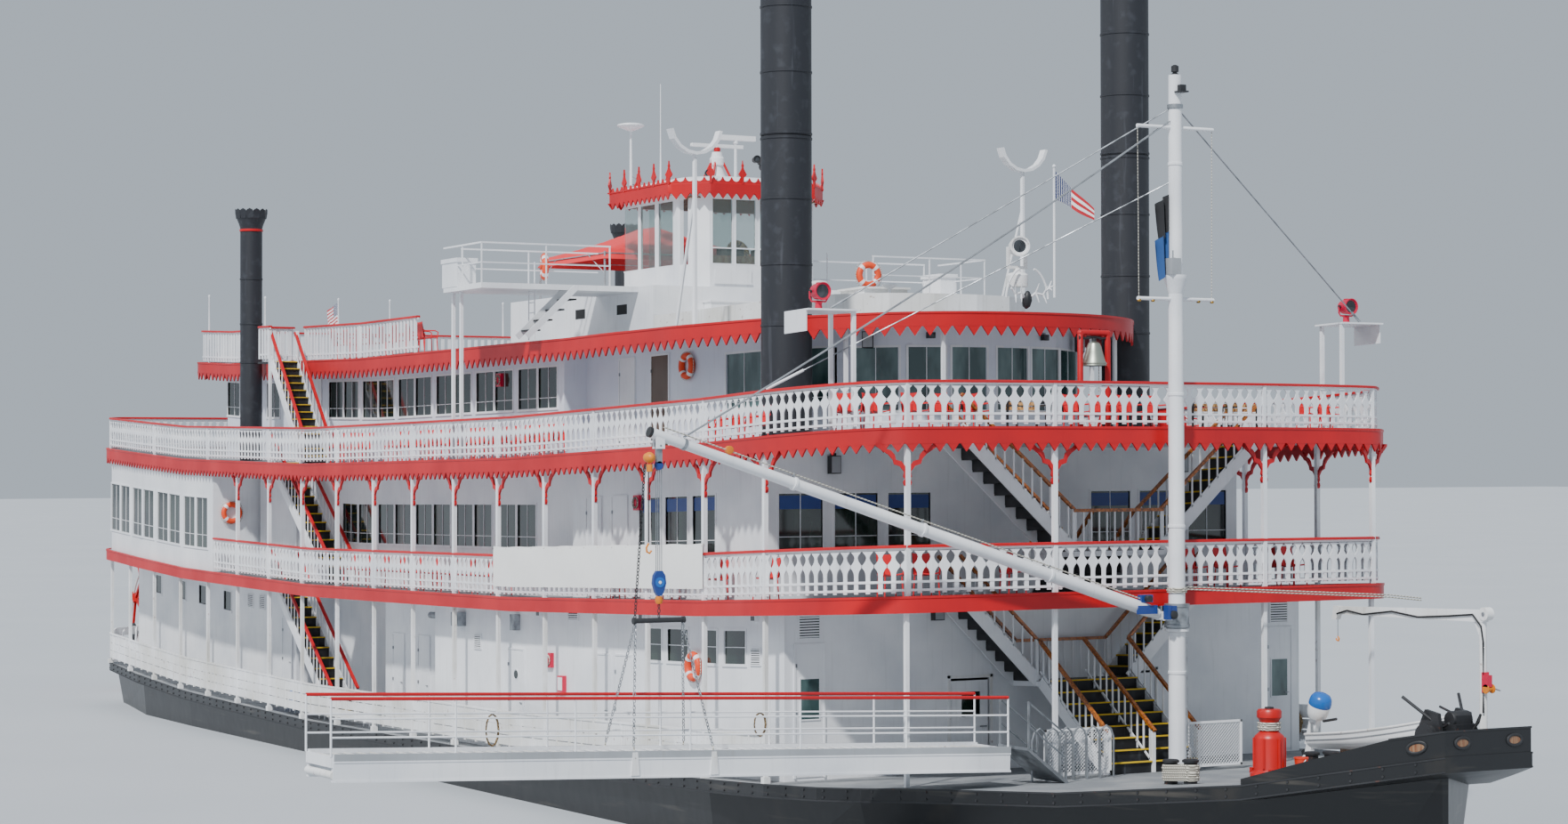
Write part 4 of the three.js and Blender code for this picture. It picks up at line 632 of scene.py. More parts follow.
def make_finishes():
    """Makes every finish; the pieces name them."""
    colours = bpy.context.scene.boat_colours
    enamel("white_enamel", colours.white, "DADDE2", streaks=0.16)
    enamel("white_worn", colours.white, "CFCDC6", roughness=0.46, streaks=0.4, rust=0.5)
    enamel("lilac_enamel", "E2E6F0", "D4D9E6", streaks=0.12)
    enamel("red_enamel", colours.red, "AE0A16", streaks=0.1, dirt="6E0A12")
    enamel("capstan_red", "D00A08", "A80E0C", roughness=0.3, streaks=0.12, dirt="59100E", rust=0.2)
    enamel("light_red", "D81244", "B90E38", roughness=0.25, streaks=0.05, dirt="59100E")
    enamel("brown_door", "5B4636", "4A3A2E", streaks=0.1)
    enamel("grey_box", "A9ADB1", "8F9397", streaks=0.3)
    enamel("orange_paint", "E88A12", "C86F10", roughness=0.4, streaks=0.2)
    enamel("yellow_nosing", "EBC412", "B9960F", roughness=0.55, streaks=0.0)
    stack_black("stack_black", colours.black)
    stack_black("tread_black", "1B1C1F")
    hull_black("hull_black", colours.hull)
    enamel("iron_black", "1E1F22", "2C2D30", roughness=0.45, streaks=0.2, dirt="4A4640", rust=0.25)
    deck_paint("deck_grey", colours.deck)
    deck_paint("roof_paint", "AEB2B6")
    varnished_wood("varnished_wood", colours.wood)
    varnished_wood("bench_wood", "DFAE6C")
    varnished_wood("panel_wood", "8A6A4C", (1, 1, 0.1))
    plastic("chair_red", "E0202A", "C21822", 0.4)
    plastic("buoy_orange", colours.buoy, "C93C14", 0.5)
    plastic("white_plastic", "EDEEF0", "D5D7DA", 0.4)
    plastic("gel_white", "EEEFF0", "D9DADB", 0.28)
    plastic("gel_blue", "1C63B5", "17508F", 0.25)
    plastic("hook_blue", "213F86", "1A3068", 0.35)
    plastic("bucket_red", "E23A1C", "C02C14", 0.4)
    plastic("black_rubber", "18191B", "242527", 0.7)
    plastic("canopy_red", "E23438", "C8252B", 0.75)
    plastic("banner_white", "F0EFEC", "E6E4DF", 0.7)
    metal("galvanised", "A9AEB3", "85898D", 0.4)
    metal("aluminium", "C9CCCF", "A4A7AA", 0.3)
    metal("bell_bronze", "7C8F85", "5F7A70", 0.45, 30)
    metal("brass", "B48A3C", "7C6430", 0.35)
    # The glasses below are opaque: their dark colours are painted shade of what lies behind them, their lighter clouds
    # painted reflection
    window_glass("house_glass", "10191A", "2C3A30")
    window_glass("teal_glass", "2F4747", "66807E")
    window_glass("lens_glass", "1A1D20", "50565C")
    clear_glass("pilot_glass")
    rope_lay("white_rope", "D9D5C8", "8F8B80")
    rope_lay("tan_rope", "A68C66", "6B573B")
    flag_cloth("striped_cloth", 13, colours.flag_red, "F2F2F4", colours.flag_blue, (0.4, 0.54))
    flag_cloth("pennant_cloth", 5, colours.flag_red, "F2F2F4", colours.flag_blue, (0.42, 1.0))
    flag_cloth("black_cloth", 1, "1C1D21", "1C1D21", "1C1D21", (0.0, 0.0))
    flag_cloth("blue_cloth", 1, "1F4C86", "1F4C86", "1F4C86", (0.0, 0.0))


NODE_FINISH = {
    "hull": "hull_black", "bow_bulwark": "hull_black", "windlass": "iron_black", "boarding_ramp": "galvanised",
    "boom_collar": "galvanised", "capstan": "capstan_red", "paddle_wheel": "capstan_red", "bell": "bell_bronze",
    "outboard": "gel_blue", "tackle": "galvanised", "roof_trunk": "white_worn", "davit_crane": "white_worn",
    "main_deck_rail": "white_worn", "wheel_beams": "white_worn", "landing_stage": "white_worn",
    "house_3": "lilac_enamel", "skiff": "gel_white", "gangway_gates": "white_worn", "roof_canopy": "canopy_red",
}
DECK_NODES = {"main_deck": ("deck_grey", "hull_black"), "deck_2": ("deck_grey", "white_enamel"),
              "deck_3": ("deck_grey", "white_enamel"), "roof_deck": ("roof_paint", "white_enamel")}


class BOAT_OT_finishes(bpy.types.Operator):
    """Makes the finishes and gives each piece of the frame its own; a deck's top gets its own paint"""

    bl_idname = "boat.finishes"
    bl_label = "Finishes"

    def execute(self, context):
        make_finishes()
        for name, node in frame["nodes"].items():
            red = name.startswith(("searchlight", "rudder"))
            plain = "iron_black" if name.startswith("rudder") else "light_red" if red else "white_enamel"
            mesh = node.data
            mesh.materials.clear()
            if name in DECK_NODES:
                top, edge = DECK_NODES[name]
                for finish in (edge, top, "white_enamel"):
                    mesh.materials.append(bpy.data.materials[finish])
                level = {"main_deck": MAIN_DECK, "deck_2": DECK_2, "deck_3": DECK_3, "roof_deck": ROOF_DECK}[name]
                count = len(mesh.polygons)
                normals, centres = np.zeros(count * 3), np.zeros(count * 3)
                mesh.polygons.foreach_get("normal", normals)
                mesh.polygons.foreach_get("center", centres)
                normals, centres = normals.reshape(-1, 3), centres.reshape(-1, 3) / MM
                height = centres[:, 2] - lift(centres[:, 0], np.full(count, float(level))) - level
                index = np.where((normals[:, 2] > 0.9) & (np.abs(height) < 6), 1, 0)
                index = np.where(height > 6, 2, index)
                mesh.polygons.foreach_set("material_index", index.astype(np.int32))
            else:
                mesh.materials.append(bpy.data.materials[NODE_FINISH.get(name, plain)])
        return {"FINISHED"}


# Lines that rails and fascias follow: the port half, from aft to the middle of the bow


def port_half(path):
    """The port half of a line that runs from the middle of the stern round the bow, begun and ended on the middle."""
    port = path[path[:, 1] > 0.5]
    return np.vstack([[[port[0, 0], 0.0]], port, [[port[-1, 0], 0.0]]])


UPPER_LINE = faired(round_the_bow(np.vstack([[[-2935, 0]], UPPER_HALF])))
UPPER_EDGE = port_half(UPPER_LINE)
RAIL_3 = port_half(offset(UPPER_LINE, POST_INSET))
RAIL_2 = RAIL_3[RAIL_3[:, 0] > -1722]
ROOF_EDGE = port_half(faired(round_the_bow(np.vstack([[[-2330, 0]], ROOF_HALF]))))
ROOF_RAIL_AFT = np.array([[-2318, 0], [-2318, 555], [-2310, 577], [-2283, 588], [-1458, 588]], float)
ROOF_RAIL_FORE = np.array([[-1359, 588], [-920, 588], [-480, 588]], float)


def on_line(line, xs):
    xs = np.asarray(xs, float)
    return np.column_stack([xs, np.interp(xs, line[:, 0], line[:, 1])])


def at_y(line, ys):
    bow = line[line[:, 0] > 1795][::-1]
    return np.column_stack([np.interp(ys, bow[:, 1], bow[:, 0]), ys])


POSTS_MAIN = on_line(RAIL_3, FIRST_POST + BAY * np.arange(-5, 13))
FRONT_POSTS = at_y(RAIL_3, [616, 277])
POSTS_2 = np.vstack([on_line(RAIL_3, FIRST_POST + BAY * np.arange(0, 13)), FRONT_POSTS])
POSTS_3 = np.vstack([on_line(RAIL_3, FIRST_POST + BAY * np.arange(-5, 13, 2)), FRONT_POSTS])


def closed(half):
    """An outline from its right-hand rows and their mirror image."""
    half = np.asarray(half, float)
    return np.concatenate([half, half[::-1] * (-1, 1)])


SAWN_BOARD = closed([
    [4.8, 0], [4.8, 36], [5.6, 43], [8.5, 49], [12.9, 54], [12.9, 59],
    [9.5, 62.5], [5.2, 68], [3.4, 74.5], [5.5, 80], [9.5, 84], [12.2, 87],
])
CAP = [(-6, -6), (-6, -1.5), (-4.5, 0), (4.5, 0), (6, -1.5), (6, -6)]
SLAT = [(-2, -5), (-2, 0), (2, 0), (2, -5)]
FASCIA = [(-3, -4), (-3, 0), (7, 0), (7, -5), (5.5, -6.5), (5.5, -35), (0.3, -35), (0.3, -4)]
BRACKET = np.array([
    [0, -56], [4, -72], [9, -66], [7, -56], [16, -44], [28, -40], [31, -30], [40, -20], [52, -12], [66, -2], [66, 3],
    [56, 3], [44, -8], [34, -12], [27, -20], [24, -31], [13, -34], [5, -44], [0, -44],
], float)


def post_boxes(points, size, low, high, finish):
    half = size / 2
    return boxes([[x - half, x + half, y - half, y + half, low, high] for x, y in points], finish)


def balustrade(line, deck, start):
    """Sawn boards on two low rails under a red cap. Boards stand at start + k * pitch along the line."""
    sizes = bpy.context.scene.rail_sizes
    top = deck + sizes.height
    feet, ahead = along(line, np.arange(start % sizes.pitch, length_of(line), sizes.pitch))
    return [
        moulding(upright(line, top), CAP, "red_enamel"),
        *[moulding(upright(line, z), SLAT, "white_enamel") for z in (top - 5.5, deck + 17, deck + 34)],
        stamps(SAWN_BOARD, sizes.board, upright(feet, deck + 8), upright(ahead, 0), (0, 0, 1), "white_enamel"),
    ]


def picket_rail(line, deck, pitch=None):
    """Plain upright laths on a low rail under a red cap."""
    sizes = bpy.context.scene.rail_sizes
    top = deck + sizes.height
    feet, ahead = along(line, np.arange(6, length_of(line) - 4, pitch or sizes.picket))
    lath = [[-5.5, 0], [5.5, 0], [5.5, 96], [-5.5, 96]]
    return [
        moulding(upright(line, top), CAP, "red_enamel"),
        moulding(upright(line, top - 5.5), SLAT, "white_enamel"),
        moulding(upright(line, deck + 22), SLAT, "white_enamel"),
        stamps(lath, 3, upright(feet, deck + 6), upright(ahead, 0), (0, 0, 1), "white_enamel"),
    ]


def teeth(line, z, pitch, depth, finish):
    """Pointed boards under a fascia: triangles of one pitch's width and the given depth."""
    count = max(1, int(length_of(line) / pitch))
    feet, ahead = along(line, (np.arange(count) + 0.5) * length_of(line) / count)
    half = length_of(line) / count / 2
    return stamps([[-half, 2], [0, -depth], [half, 2]], 4, upright(feet, z), upright(ahead, 0), (0, 0, 1), finish)


class BOAT_OT_rails(bpy.types.Operator):
    """Rails of the decks: sawn boards on decks 2 and 3, laths round the roof, planks on the main deck, and posts"""

    bl_idname = "boat.rails"
    bl_label = "Rails and posts"

    def execute(self, context):
        run_2 = length_of(RAIL_2[RAIL_2[:, 0] <= FIRST_POST])
        run_3 = length_of(RAIL_3[RAIL_3[:, 0] <= FIRST_POST])
        pitch = context.scene.rail_sizes.pitch
        columns = post_boxes(POSTS_2, 10, DECK_2 + 0.3, DECK_3 - DECK_PLATE - 0.3, "white_enamel")
        piece("rail_deck_2", mirrored([*balustrade(RAIL_2, DECK_2, run_2 + pitch / 2), columns]),
              replaced=["deck_2_rail"])
        stubs = post_boxes(POSTS_3, 8, DECK_3 + 0.3, DECK_3 + 101, "white_enamel")
        piece("rail_deck_3", mirrored([*balustrade(RAIL_3, DECK_3, run_3 + pitch / 2), stubs]),
              replaced=["deck_3_rail"])
        aft, fore = faired(ROOF_RAIL_AFT), faired(ROOF_RAIL_FORE)
        landing = np.array([[-1456, 594], [-1456, 698], [-1361, 698]], float)
        roof = [*picket_rail(aft, ROOF_DECK), *picket_rail(fore, ROOF_DECK), *picket_rail(landing, ROOF_DECK)]
        staffs = turned([(3.2, 0), (3.2, 100), (2.6, 216), (4, 219), (4, 223), (0, 226)], "white_enamel", sides=8)
        places = [[-2318, y, ROOF_DECK, 0] for y in (-558, -363, -102, 85, 509)]
        sills = boxes([[-1470, -1350, 586, 590, ROOF_DECK + 6, ROOF_DECK + 14]], "white_enamel")
        stanchions = post_boxes([(x, 588) for x in (-500, -910, -1350, -1470, -1900)], 7,
                                ROOF_DECK + 0.3, ROOF_DECK + 102, "white_enamel")
        piece("rail_roof", mirrored([*roof, sills, stanchions]) + repeated([staffs], places),
              replaced=["roof_rail"])
        fence = RAIL_3[(RAIL_3[:, 0] > -2880) & (RAIL_3[:, 0] < 1800)]
        plank = [(-2, -23), (-2, 0), (2, 0), (2, -23)]
        planks = [moulding(upright(fence, MAIN_DECK + z), plank, "white_worn") for z in (45, 71)]
        feet, ahead = along(fence, np.arange(BAY / 4, length_of(fence), BAY / 4))
        battens = stamps([[-3, 0], [3, 0], [3, 84], [-3, 84]], 7, upright(feet, MAIN_DECK + 18), upright(ahead, 0),
                         (0, 0, 1), "white_worn")
        lip = moulding(upright(fence, MAIN_DECK + 106), [(-4, -4), (-4, 0), (4, 0), (4, -4)], "white_worn")
        skirts = post_boxes(POSTS_MAIN, 15, MAIN_DECK + 0.3, MAIN_DECK + 14, "white_worn")
        piece("fence_main_deck", mirrored([*planks, battens, lip, skirts]))
        return {"FINISHED"}


class BOAT_OT_fascias(bpy.types.Operator):
    """Red fascias round the decks, with pointed boards below the two upper ones and sawn brackets at the posts"""

    bl_idname = "boat.fascias"
    bl_label = "Fascias and brackets"

    def execute(self, context):
        sizes = context.scene.rail_sizes
        for name, line, level, nodes in (
            ("fascia_deck_2", UPPER_EDGE, DECK_2, ["deck_2_fascia"]),
            ("fascia_deck_3", UPPER_EDGE, DECK_3, ["deck_3_fascia"]),
            ("fascia_roof", ROOF_EDGE, ROOF_DECK, ["roof_fascia_aft", "roof_fascia_front"]),
        ):
            parts = [moulding(upright(line, level + 2), FASCIA, "red_enamel")]
            if level > DECK_2:
                deep = sizes.tooth_depth + (6 if level == ROOF_DECK else 0)
                width = sizes.tooth - (0 if level == ROOF_DECK else 4)
                parts.append(teeth(offset(line, -3), level - 32, width, deep, "red_enamel"))
            piece(name, mirrored(parts), replaced=nodes)
        ahead = np.zeros_like(POSTS_2)
        for k, place in enumerate(POSTS_2):
            near = np.argmin(np.hypot(*(RAIL_3 - place).T))
            ahead[k] = RAIL_3[min(near + 1, len(RAIL_3) - 1)] - RAIL_3[near - 1]
        sides = [stamps(BRACKET * (turn, 1), 5, upright(POSTS_2, DECK_3 - 34), upright(ahead, 0), (0, 0, 1),
                        "red_enamel") for turn in (1, -1)]
        knob = [[9 * math.cos(a), 9 * math.sin(a) - 78] for a in np.arange(10) * math.pi / 5]
        sides.append(stamps(knob, 6, upright(POSTS_2, DECK_3 - 34), upright(ahead, 0), (0, 0, 1), "red_enamel"))
        piece("brackets_deck_2", mirrored(sides))
        return {"FINISHED"}


# Windows, doors and fittings of the walls


def wall_places(outline, xs, z, sides=(-1, 1)):
    """Places on the side walls at each X: starboard faces -Y, port +Y, both turned with the wall's slope."""
    xs = np.asarray(xs, float)
    slope = np.degrees(np.arctan2(wall_y(outline, xs + 1) - wall_y(outline, xs - 1), 2.0))
    rows = [np.column_stack([xs, side * wall_y(outline, xs), np.full(len(xs), float(z)),
                             slope + 180 if side > 0 else -slope]) for side in sides]
    return np.vstack(rows)


def sash(width, height, glass, uprights=1, low_bar=0.25, strip=None):
    """One window facing -Y: a pane 3 mm inside the wall, a frame round it, thin upright bars and a low bar."""
    half = width / 2
    parts = [
        boxes([[-half, half, 2.5, 4.5, 0, height]], glass),
        boxes([[-half - 5, -half, -1.6, 3, -5, height + 5], [half, half + 5, -1.6, 3, -5, height + 5],
               [-half, half, -1.6, 3, height, height + 5], [-half - 7, half + 7, -3, 3, -6, 0]], "white_enamel"),
    ]
    rows = [[x - 0.9, x + 0.9, 1, 3, 0, height] for x in np.linspace(-half, half, uprights + 2)[1:-1]]
    if low_bar:
        rows.append([-half, half, 1, 3, height * low_bar - 0.8, height * low_bar + 0.8])
    parts.append(boxes(rows, "white_enamel"))
    if strip:
        parts.append(boxes([[-half + 3, half - 3, 1.5, 2.4, height - 34, height - 4]], strip))
    return parts


def louvre(width, height, slats):
    """A vent facing -Y: tilted slats in a frame before a black sheet, which is painted shade of the recess behind them.
    """
    half = width / 2
    z = (np.arange(slats) + 0.5) * height / slats
    left, right = np.full(slats, -half), np.full(slats, half)
    return [
        # black sheet behind the slats: painted shade of the vent's recess
        boxes([[-half, half, -1, 0.5, 0, height]], "black_rubber"),
        boxes([[-half - 3, -half, -3, 0.5, -3, height + 3], [half, half + 3, -3, 0.5, -3, height + 3],
               [-half, half, -3, 0.5, height, height + 3], [-half, half, -3, 0.5, -3, 0]], "white_enamel"),
        bars(np.column_stack([left, np.full(slats, -2.0), z]), np.column_stack([right, np.full(slats, -2.0), z]),
             2.4, height / slats * 0.55, "white_enamel"),
    ]


def small_door(width, height, finish="white_enamel", porthole=False):
    """A steel door facing -Y: leaf in a raised frame, three hinges, a lever handle."""
    half = width / 2
    parts = [
        boxes([[-half, half, -2.2, 0.5, 2, height]], finish),
        boxes([[-half - 4, -half, -4, 0.5, 0, height + 4], [half, half + 4, -4, 0.5, 0, height + 4],
               [-half, half, -4, 0.5, height, height + 4]], "white_enamel"),
        boxes([[-half - 1, -half + 3, -5, -2, z - 4, z + 4] for z in (height * 0.15, height * 0.5, height * 0.85)],
              "galvanised"),
        rods([[half - 8, -4.5, height * 0.47]], [[half - 20, -4.5, height * 0.47]], 1.2, "galvanised"),
    ]
    if porthole:
        parts.append(turned([(0, 2), (11, 2), (13, 3.4), (15, 2.6), (15, 0)], "white_enamel", (0, 0, height * 0.75),
                            (0, -1, 0)))
        parts.append(turned([(10.5, 0), (10.5, 3.6), (0, 3.6)], "house_glass", (0, 0, height * 0.75), (0, -1, 0)))
    return parts


def pairs(first, count):
    return np.sort(np.concatenate([first + BAY * np.arange(count) + d for d in (-62, 62)]))


class BOAT_OT_windows(bpy.types.Operator):
    """Glass, frames and bars in every window of the houses"""

    bl_idname = "boat.windows"
    bl_label = "Windows"

    def execute(self, context):
        fore = [[1610, s * y, 745, 90] for y in (278, 418, 561) for s in (-1, 1)]
        aft = [[-2925, s * y, 712, -90] for y in (90, 270, 450) for s in (-1, 1)]
        made = [
            *repeated(sash(71, 73, "house_glass", 0, 0.5), wall_places(MAIN_WALL, [1175], 500)),
            *repeated(sash(98, 73, "house_glass", 0, 0.5), wall_places(MAIN_WALL, [1291, 1560], 500)),
            *repeated(sash(62, 73, "house_glass", 0, 0.5), wall_places(MAIN_WALL, [1446], 500)),
            *repeated(sash(70, 60, "house_glass", 0, 0), wall_places(MAIN_WALL, [-2716, -2464, -2258, -2016], 500)),
            *repeated(sash(112, 111, "house_glass"), wall_places(WALL_2, pairs(-895, 5), 759)),
            *repeated(sash(108, 136, "house_glass", strip="hook_blue"), wall_places(WALL_2, [1056, 1190, 1325], 740)),
            *repeated(sash(112, 127, "house_glass", strip="hook_blue"), fore),
            *repeated(sash(108, 156, "house_glass"), wall_places(STERN_WALL, pairs(-2725, 4), 712)),
            *repeated(sash(120, 156, "house_glass"), aft),
            *repeated(sash(112, 107, "house_glass"), wall_places(WALL_3, [-2170, -1800, *pairs(-1200, 6)], 1123)),
            *repeated(sash(146, 135, "teal_glass", 1, 0.12), wall_places(WALL_3, [1120, 1320], 1090)),
            *repeated(sash(90, 152, "teal_glass", 1, 0.1), [[1526, s * 60, 1070, 90 + s * 5] for s in (-1, 1)]),
            *repeated(sash(91, 152, "teal_glass", 1, 0.1), [[1507.5, s * 165, 1070, 90 + s * 12.1] for s in (-1, 1)]),
            *repeated(sash(106, 152, "teal_glass", 1, 0.1), [[1453, s * 270, 1070, 90 + s * 33.7] for s in (-1, 1)]),
        ]
        piece("house_windows", made)
        panes = [
            *[[x - w / 2, x + w / 2, s * 200 - 1, s * 200 + 1, *PILOT_PANES]
              for x, w in ((78, 84), (176, 84), (280, 84)) for s in (-1, 1)],
            *[[410, 412, y - 30, y + 30, *PILOT_PANES] for y in (-106, -36, 36, 106)],
            *[[41, 43, y - 50, y + 50, *PILOT_PANES] for y in (-80, 80)],
        ]
        piece("pilothouse_glass", [boxes(panes, "pilot_glass")])
        return {"FINISHED"}


# Stairs


def flight(run, rise, width, steps, hand_finish, picket_pitch=22, middle=False):
    """A flight from (0, 0, 0) to (run, 0, rise): treads with nosings between stringers, laths and handrails."""
    go, up = run / steps, rise / steps
    k = np.arange(steps)
    half = width / 2
    tread = [[i * go - 3, (i + 1) * go + 2, -half + 3, half - 3, (i + 1) * up - 4, (i + 1) * up] for i in k]
    riser = [[i * go + 1, i * go + 3, -half + 3, half - 3, i * up, (i + 1) * up - 3] for i in k]
    nosing = [[i * go - 3.6, i * go + 2.5, -half + 3, half - 3, (i + 1) * up - 2.5, (i + 1) * up + 0.5] for i in k]
    sides = [-half, half]
    parts = [
        boxes(tread, "tread_black"), boxes(riser, "tread_black"), boxes(nosing, "yellow_nosing"),
        bars([[-4, y, -2] for y in sides], [[run, y, rise - 2] for y in sides], 4, 26, "white_enamel"),
    ]
    rails = sides + ([0] if middle else [])
    t = (np.arange(int(run / picket_pitch)) + 0.5) / int(run / picket_pitch)
    for y in rails:
        foot = np.column_stack([t * run, np.full(len(t), y), t * rise + 6])
        parts.append(bars(foot, foot + (0, 0, 80), 3, 3, "white_enamel", up=(1, 0, 0)))
        parts.append(bars([[0, y, 20]], [[run, y, rise + 20]], 3, 4, "white_enamel"))
        parts.append(bars([[-6, y, 88]], [[run + 4, y, rise + 88]], 8, 6, hand_finish))
        parts.append(boxes([[-4, 2, y - 4, y + 4, 0, 92]], "white_enamel"))
    return parts


def placed_flight(start, end, width, steps, hand_finish, **more):
    """A flight laid out from one point to another along X or Y."""
    start, end = np.asarray(start, float), np.asarray(end, float)
    run = math.hypot(*(end - start)[:2])
    turn = math.degrees(math.atan2(end[1] - start[1], end[0] - start[0]))
    return repeated(flight(run, end[2] - start[2], width, steps, hand_finish, **more), [[*start, turn]])


def front_stairs(at, deck, upper, middle_steps, side_steps):
    """A middle flight to a landing, and a flight from there to either side."""
    near = at["x1"] if at["foot"] > at["x1"] else at["x0"]
    parts = placed_flight((at["foot"], 0, deck), (near, 0, at["landing"]), 2 * at["half"] - 16, middle_steps,
                          "varnished_wood", middle=True)
    centre = (at["x0"] + at["x1"]) / 2
    wide = at["x1"] - at["x0"] - 12
    for side in (-1, 1):
        parts += placed_flight((centre, side * at["half"], at["landing"]), (centre, side * at["head"], upper - 2),
                               wide, side_steps, "varnished_wood")
    x0, x1, half = at["x0"], at["x1"], at["half"]
    parts.append(boxes([[x0, x1, -half, half, at["landing"] - 8, at["landing"]]], "tread_black"))
    parts.append(boxes([[x0 - 2, x1 + 2, -half - 2, half + 2, at["landing"] - 12, at["landing"] - 1]], "white_enamel"))
    back = x0 + 3 if at["foot"] > x1 else x1 - 3
    ys = np.linspace(-half + 6, half - 6, 12)
    foot = np.column_stack([np.full(12, back), ys, np.full(12, at["landing"])])
    parts.append(bars(foot, foot + (0, 0, 84), 3, 3, "white_enamel", up=(1, 0, 0)))
    parts.append(boxes([[back - 4, back + 4, -half, half, at["landing"] + 84, at["landing"] + 91]], "varnished_wood"))
    return parts


class BOAT_OT_stairs(bpy.types.Operator):
    """Front stairs with wooden handrails and the three flights of the aft stairs on each side"""

    bl_idname = "boat.stairs"
    bl_label = "Stairs"

    def execute(self, context):
        lower = {"x0": 1800, "x1": 1900, "landing": 447, "half": 128, "foot": 2150, "head": 322}
        upper = {"x0": 1925, "x1": 2030, "landing": 729, "half": 120, "foot": 1835, "head": 402}
        piece("stairs_lower", front_stairs(lower, MAIN_DECK + 0.5, DECK_2, 8, 8),
              replaced=["lower_stair"])
        piece("stairs_upper", front_stairs(upper, DECK_2 + 0.5, DECK_3, 4, 10),
              replaced=["upper_stair"])
        for side, name in SIDES:
            parts = []
            for foot, low, high in ((-860, MAIN_DECK, DECK_2), (-905, DECK_2, DECK_3), (-1095, DECK_3, ROOF_DECK)):
                parts += placed_flight((foot, side * 657, low + 0.5), (-1357, side * 657, high - 1), 78, 14,
                                       "red_enamel", picket_pitch=26)
            parts.append(boxes([[-1460, -1356, 606, 702, ROOF_DECK - 8, ROOF_DECK - 2]], "tread_black"))
            parts.append(boxes([[-1359, -1351, y, y + 8, MAIN_DECK + 0.3, ROOF_DECK + 92] for y in (610, 697)],
                               "white_enamel"))
            if side < 0:
                parts[-2:] = [Part(part.points * (1, -1, 1), part.faces, part.finish) for part in parts[-2:]]
            piece(f"stairs_aft_{name}", parts, replaced=[f"aft_stairs_{name}"])
        return {"FINISHED"}


# Stacks


def stack_rings(x, y, r, heights):
    """Bands round a stack where its plates join."""
    return [turned([(r, 0), (r + 1.6, 0.8), (r + 1.6, 5), (r, 5.8)], "stack_black", (x, y, z), sides=48)
            for z in heights]


def petals(x, y, z, radius, lean, count, size):
    """Leaves cut from plate that stand round a rim: at angle a they rise by size and lean outward."""
    leaf = closed([[0.3, 0], [0.34, 0.3], [0.42, 0.55], [0.3, 0.85], [0.02, 1]]) * size
    angle = np.arange(count) * 2 * math.pi / count
    out = np.stack([np.cos(angle), np.sin(angle), np.zeros(count)], axis=1)
    across = np.stack([-np.sin(angle), np.cos(angle), np.zeros(count)], axis=1)
    up = unit(out * lean + (0, 0, 1))
    return stamps(leaf, 1.6, np.array([x, y, z]) + out * radius, across, up, "stack_black")


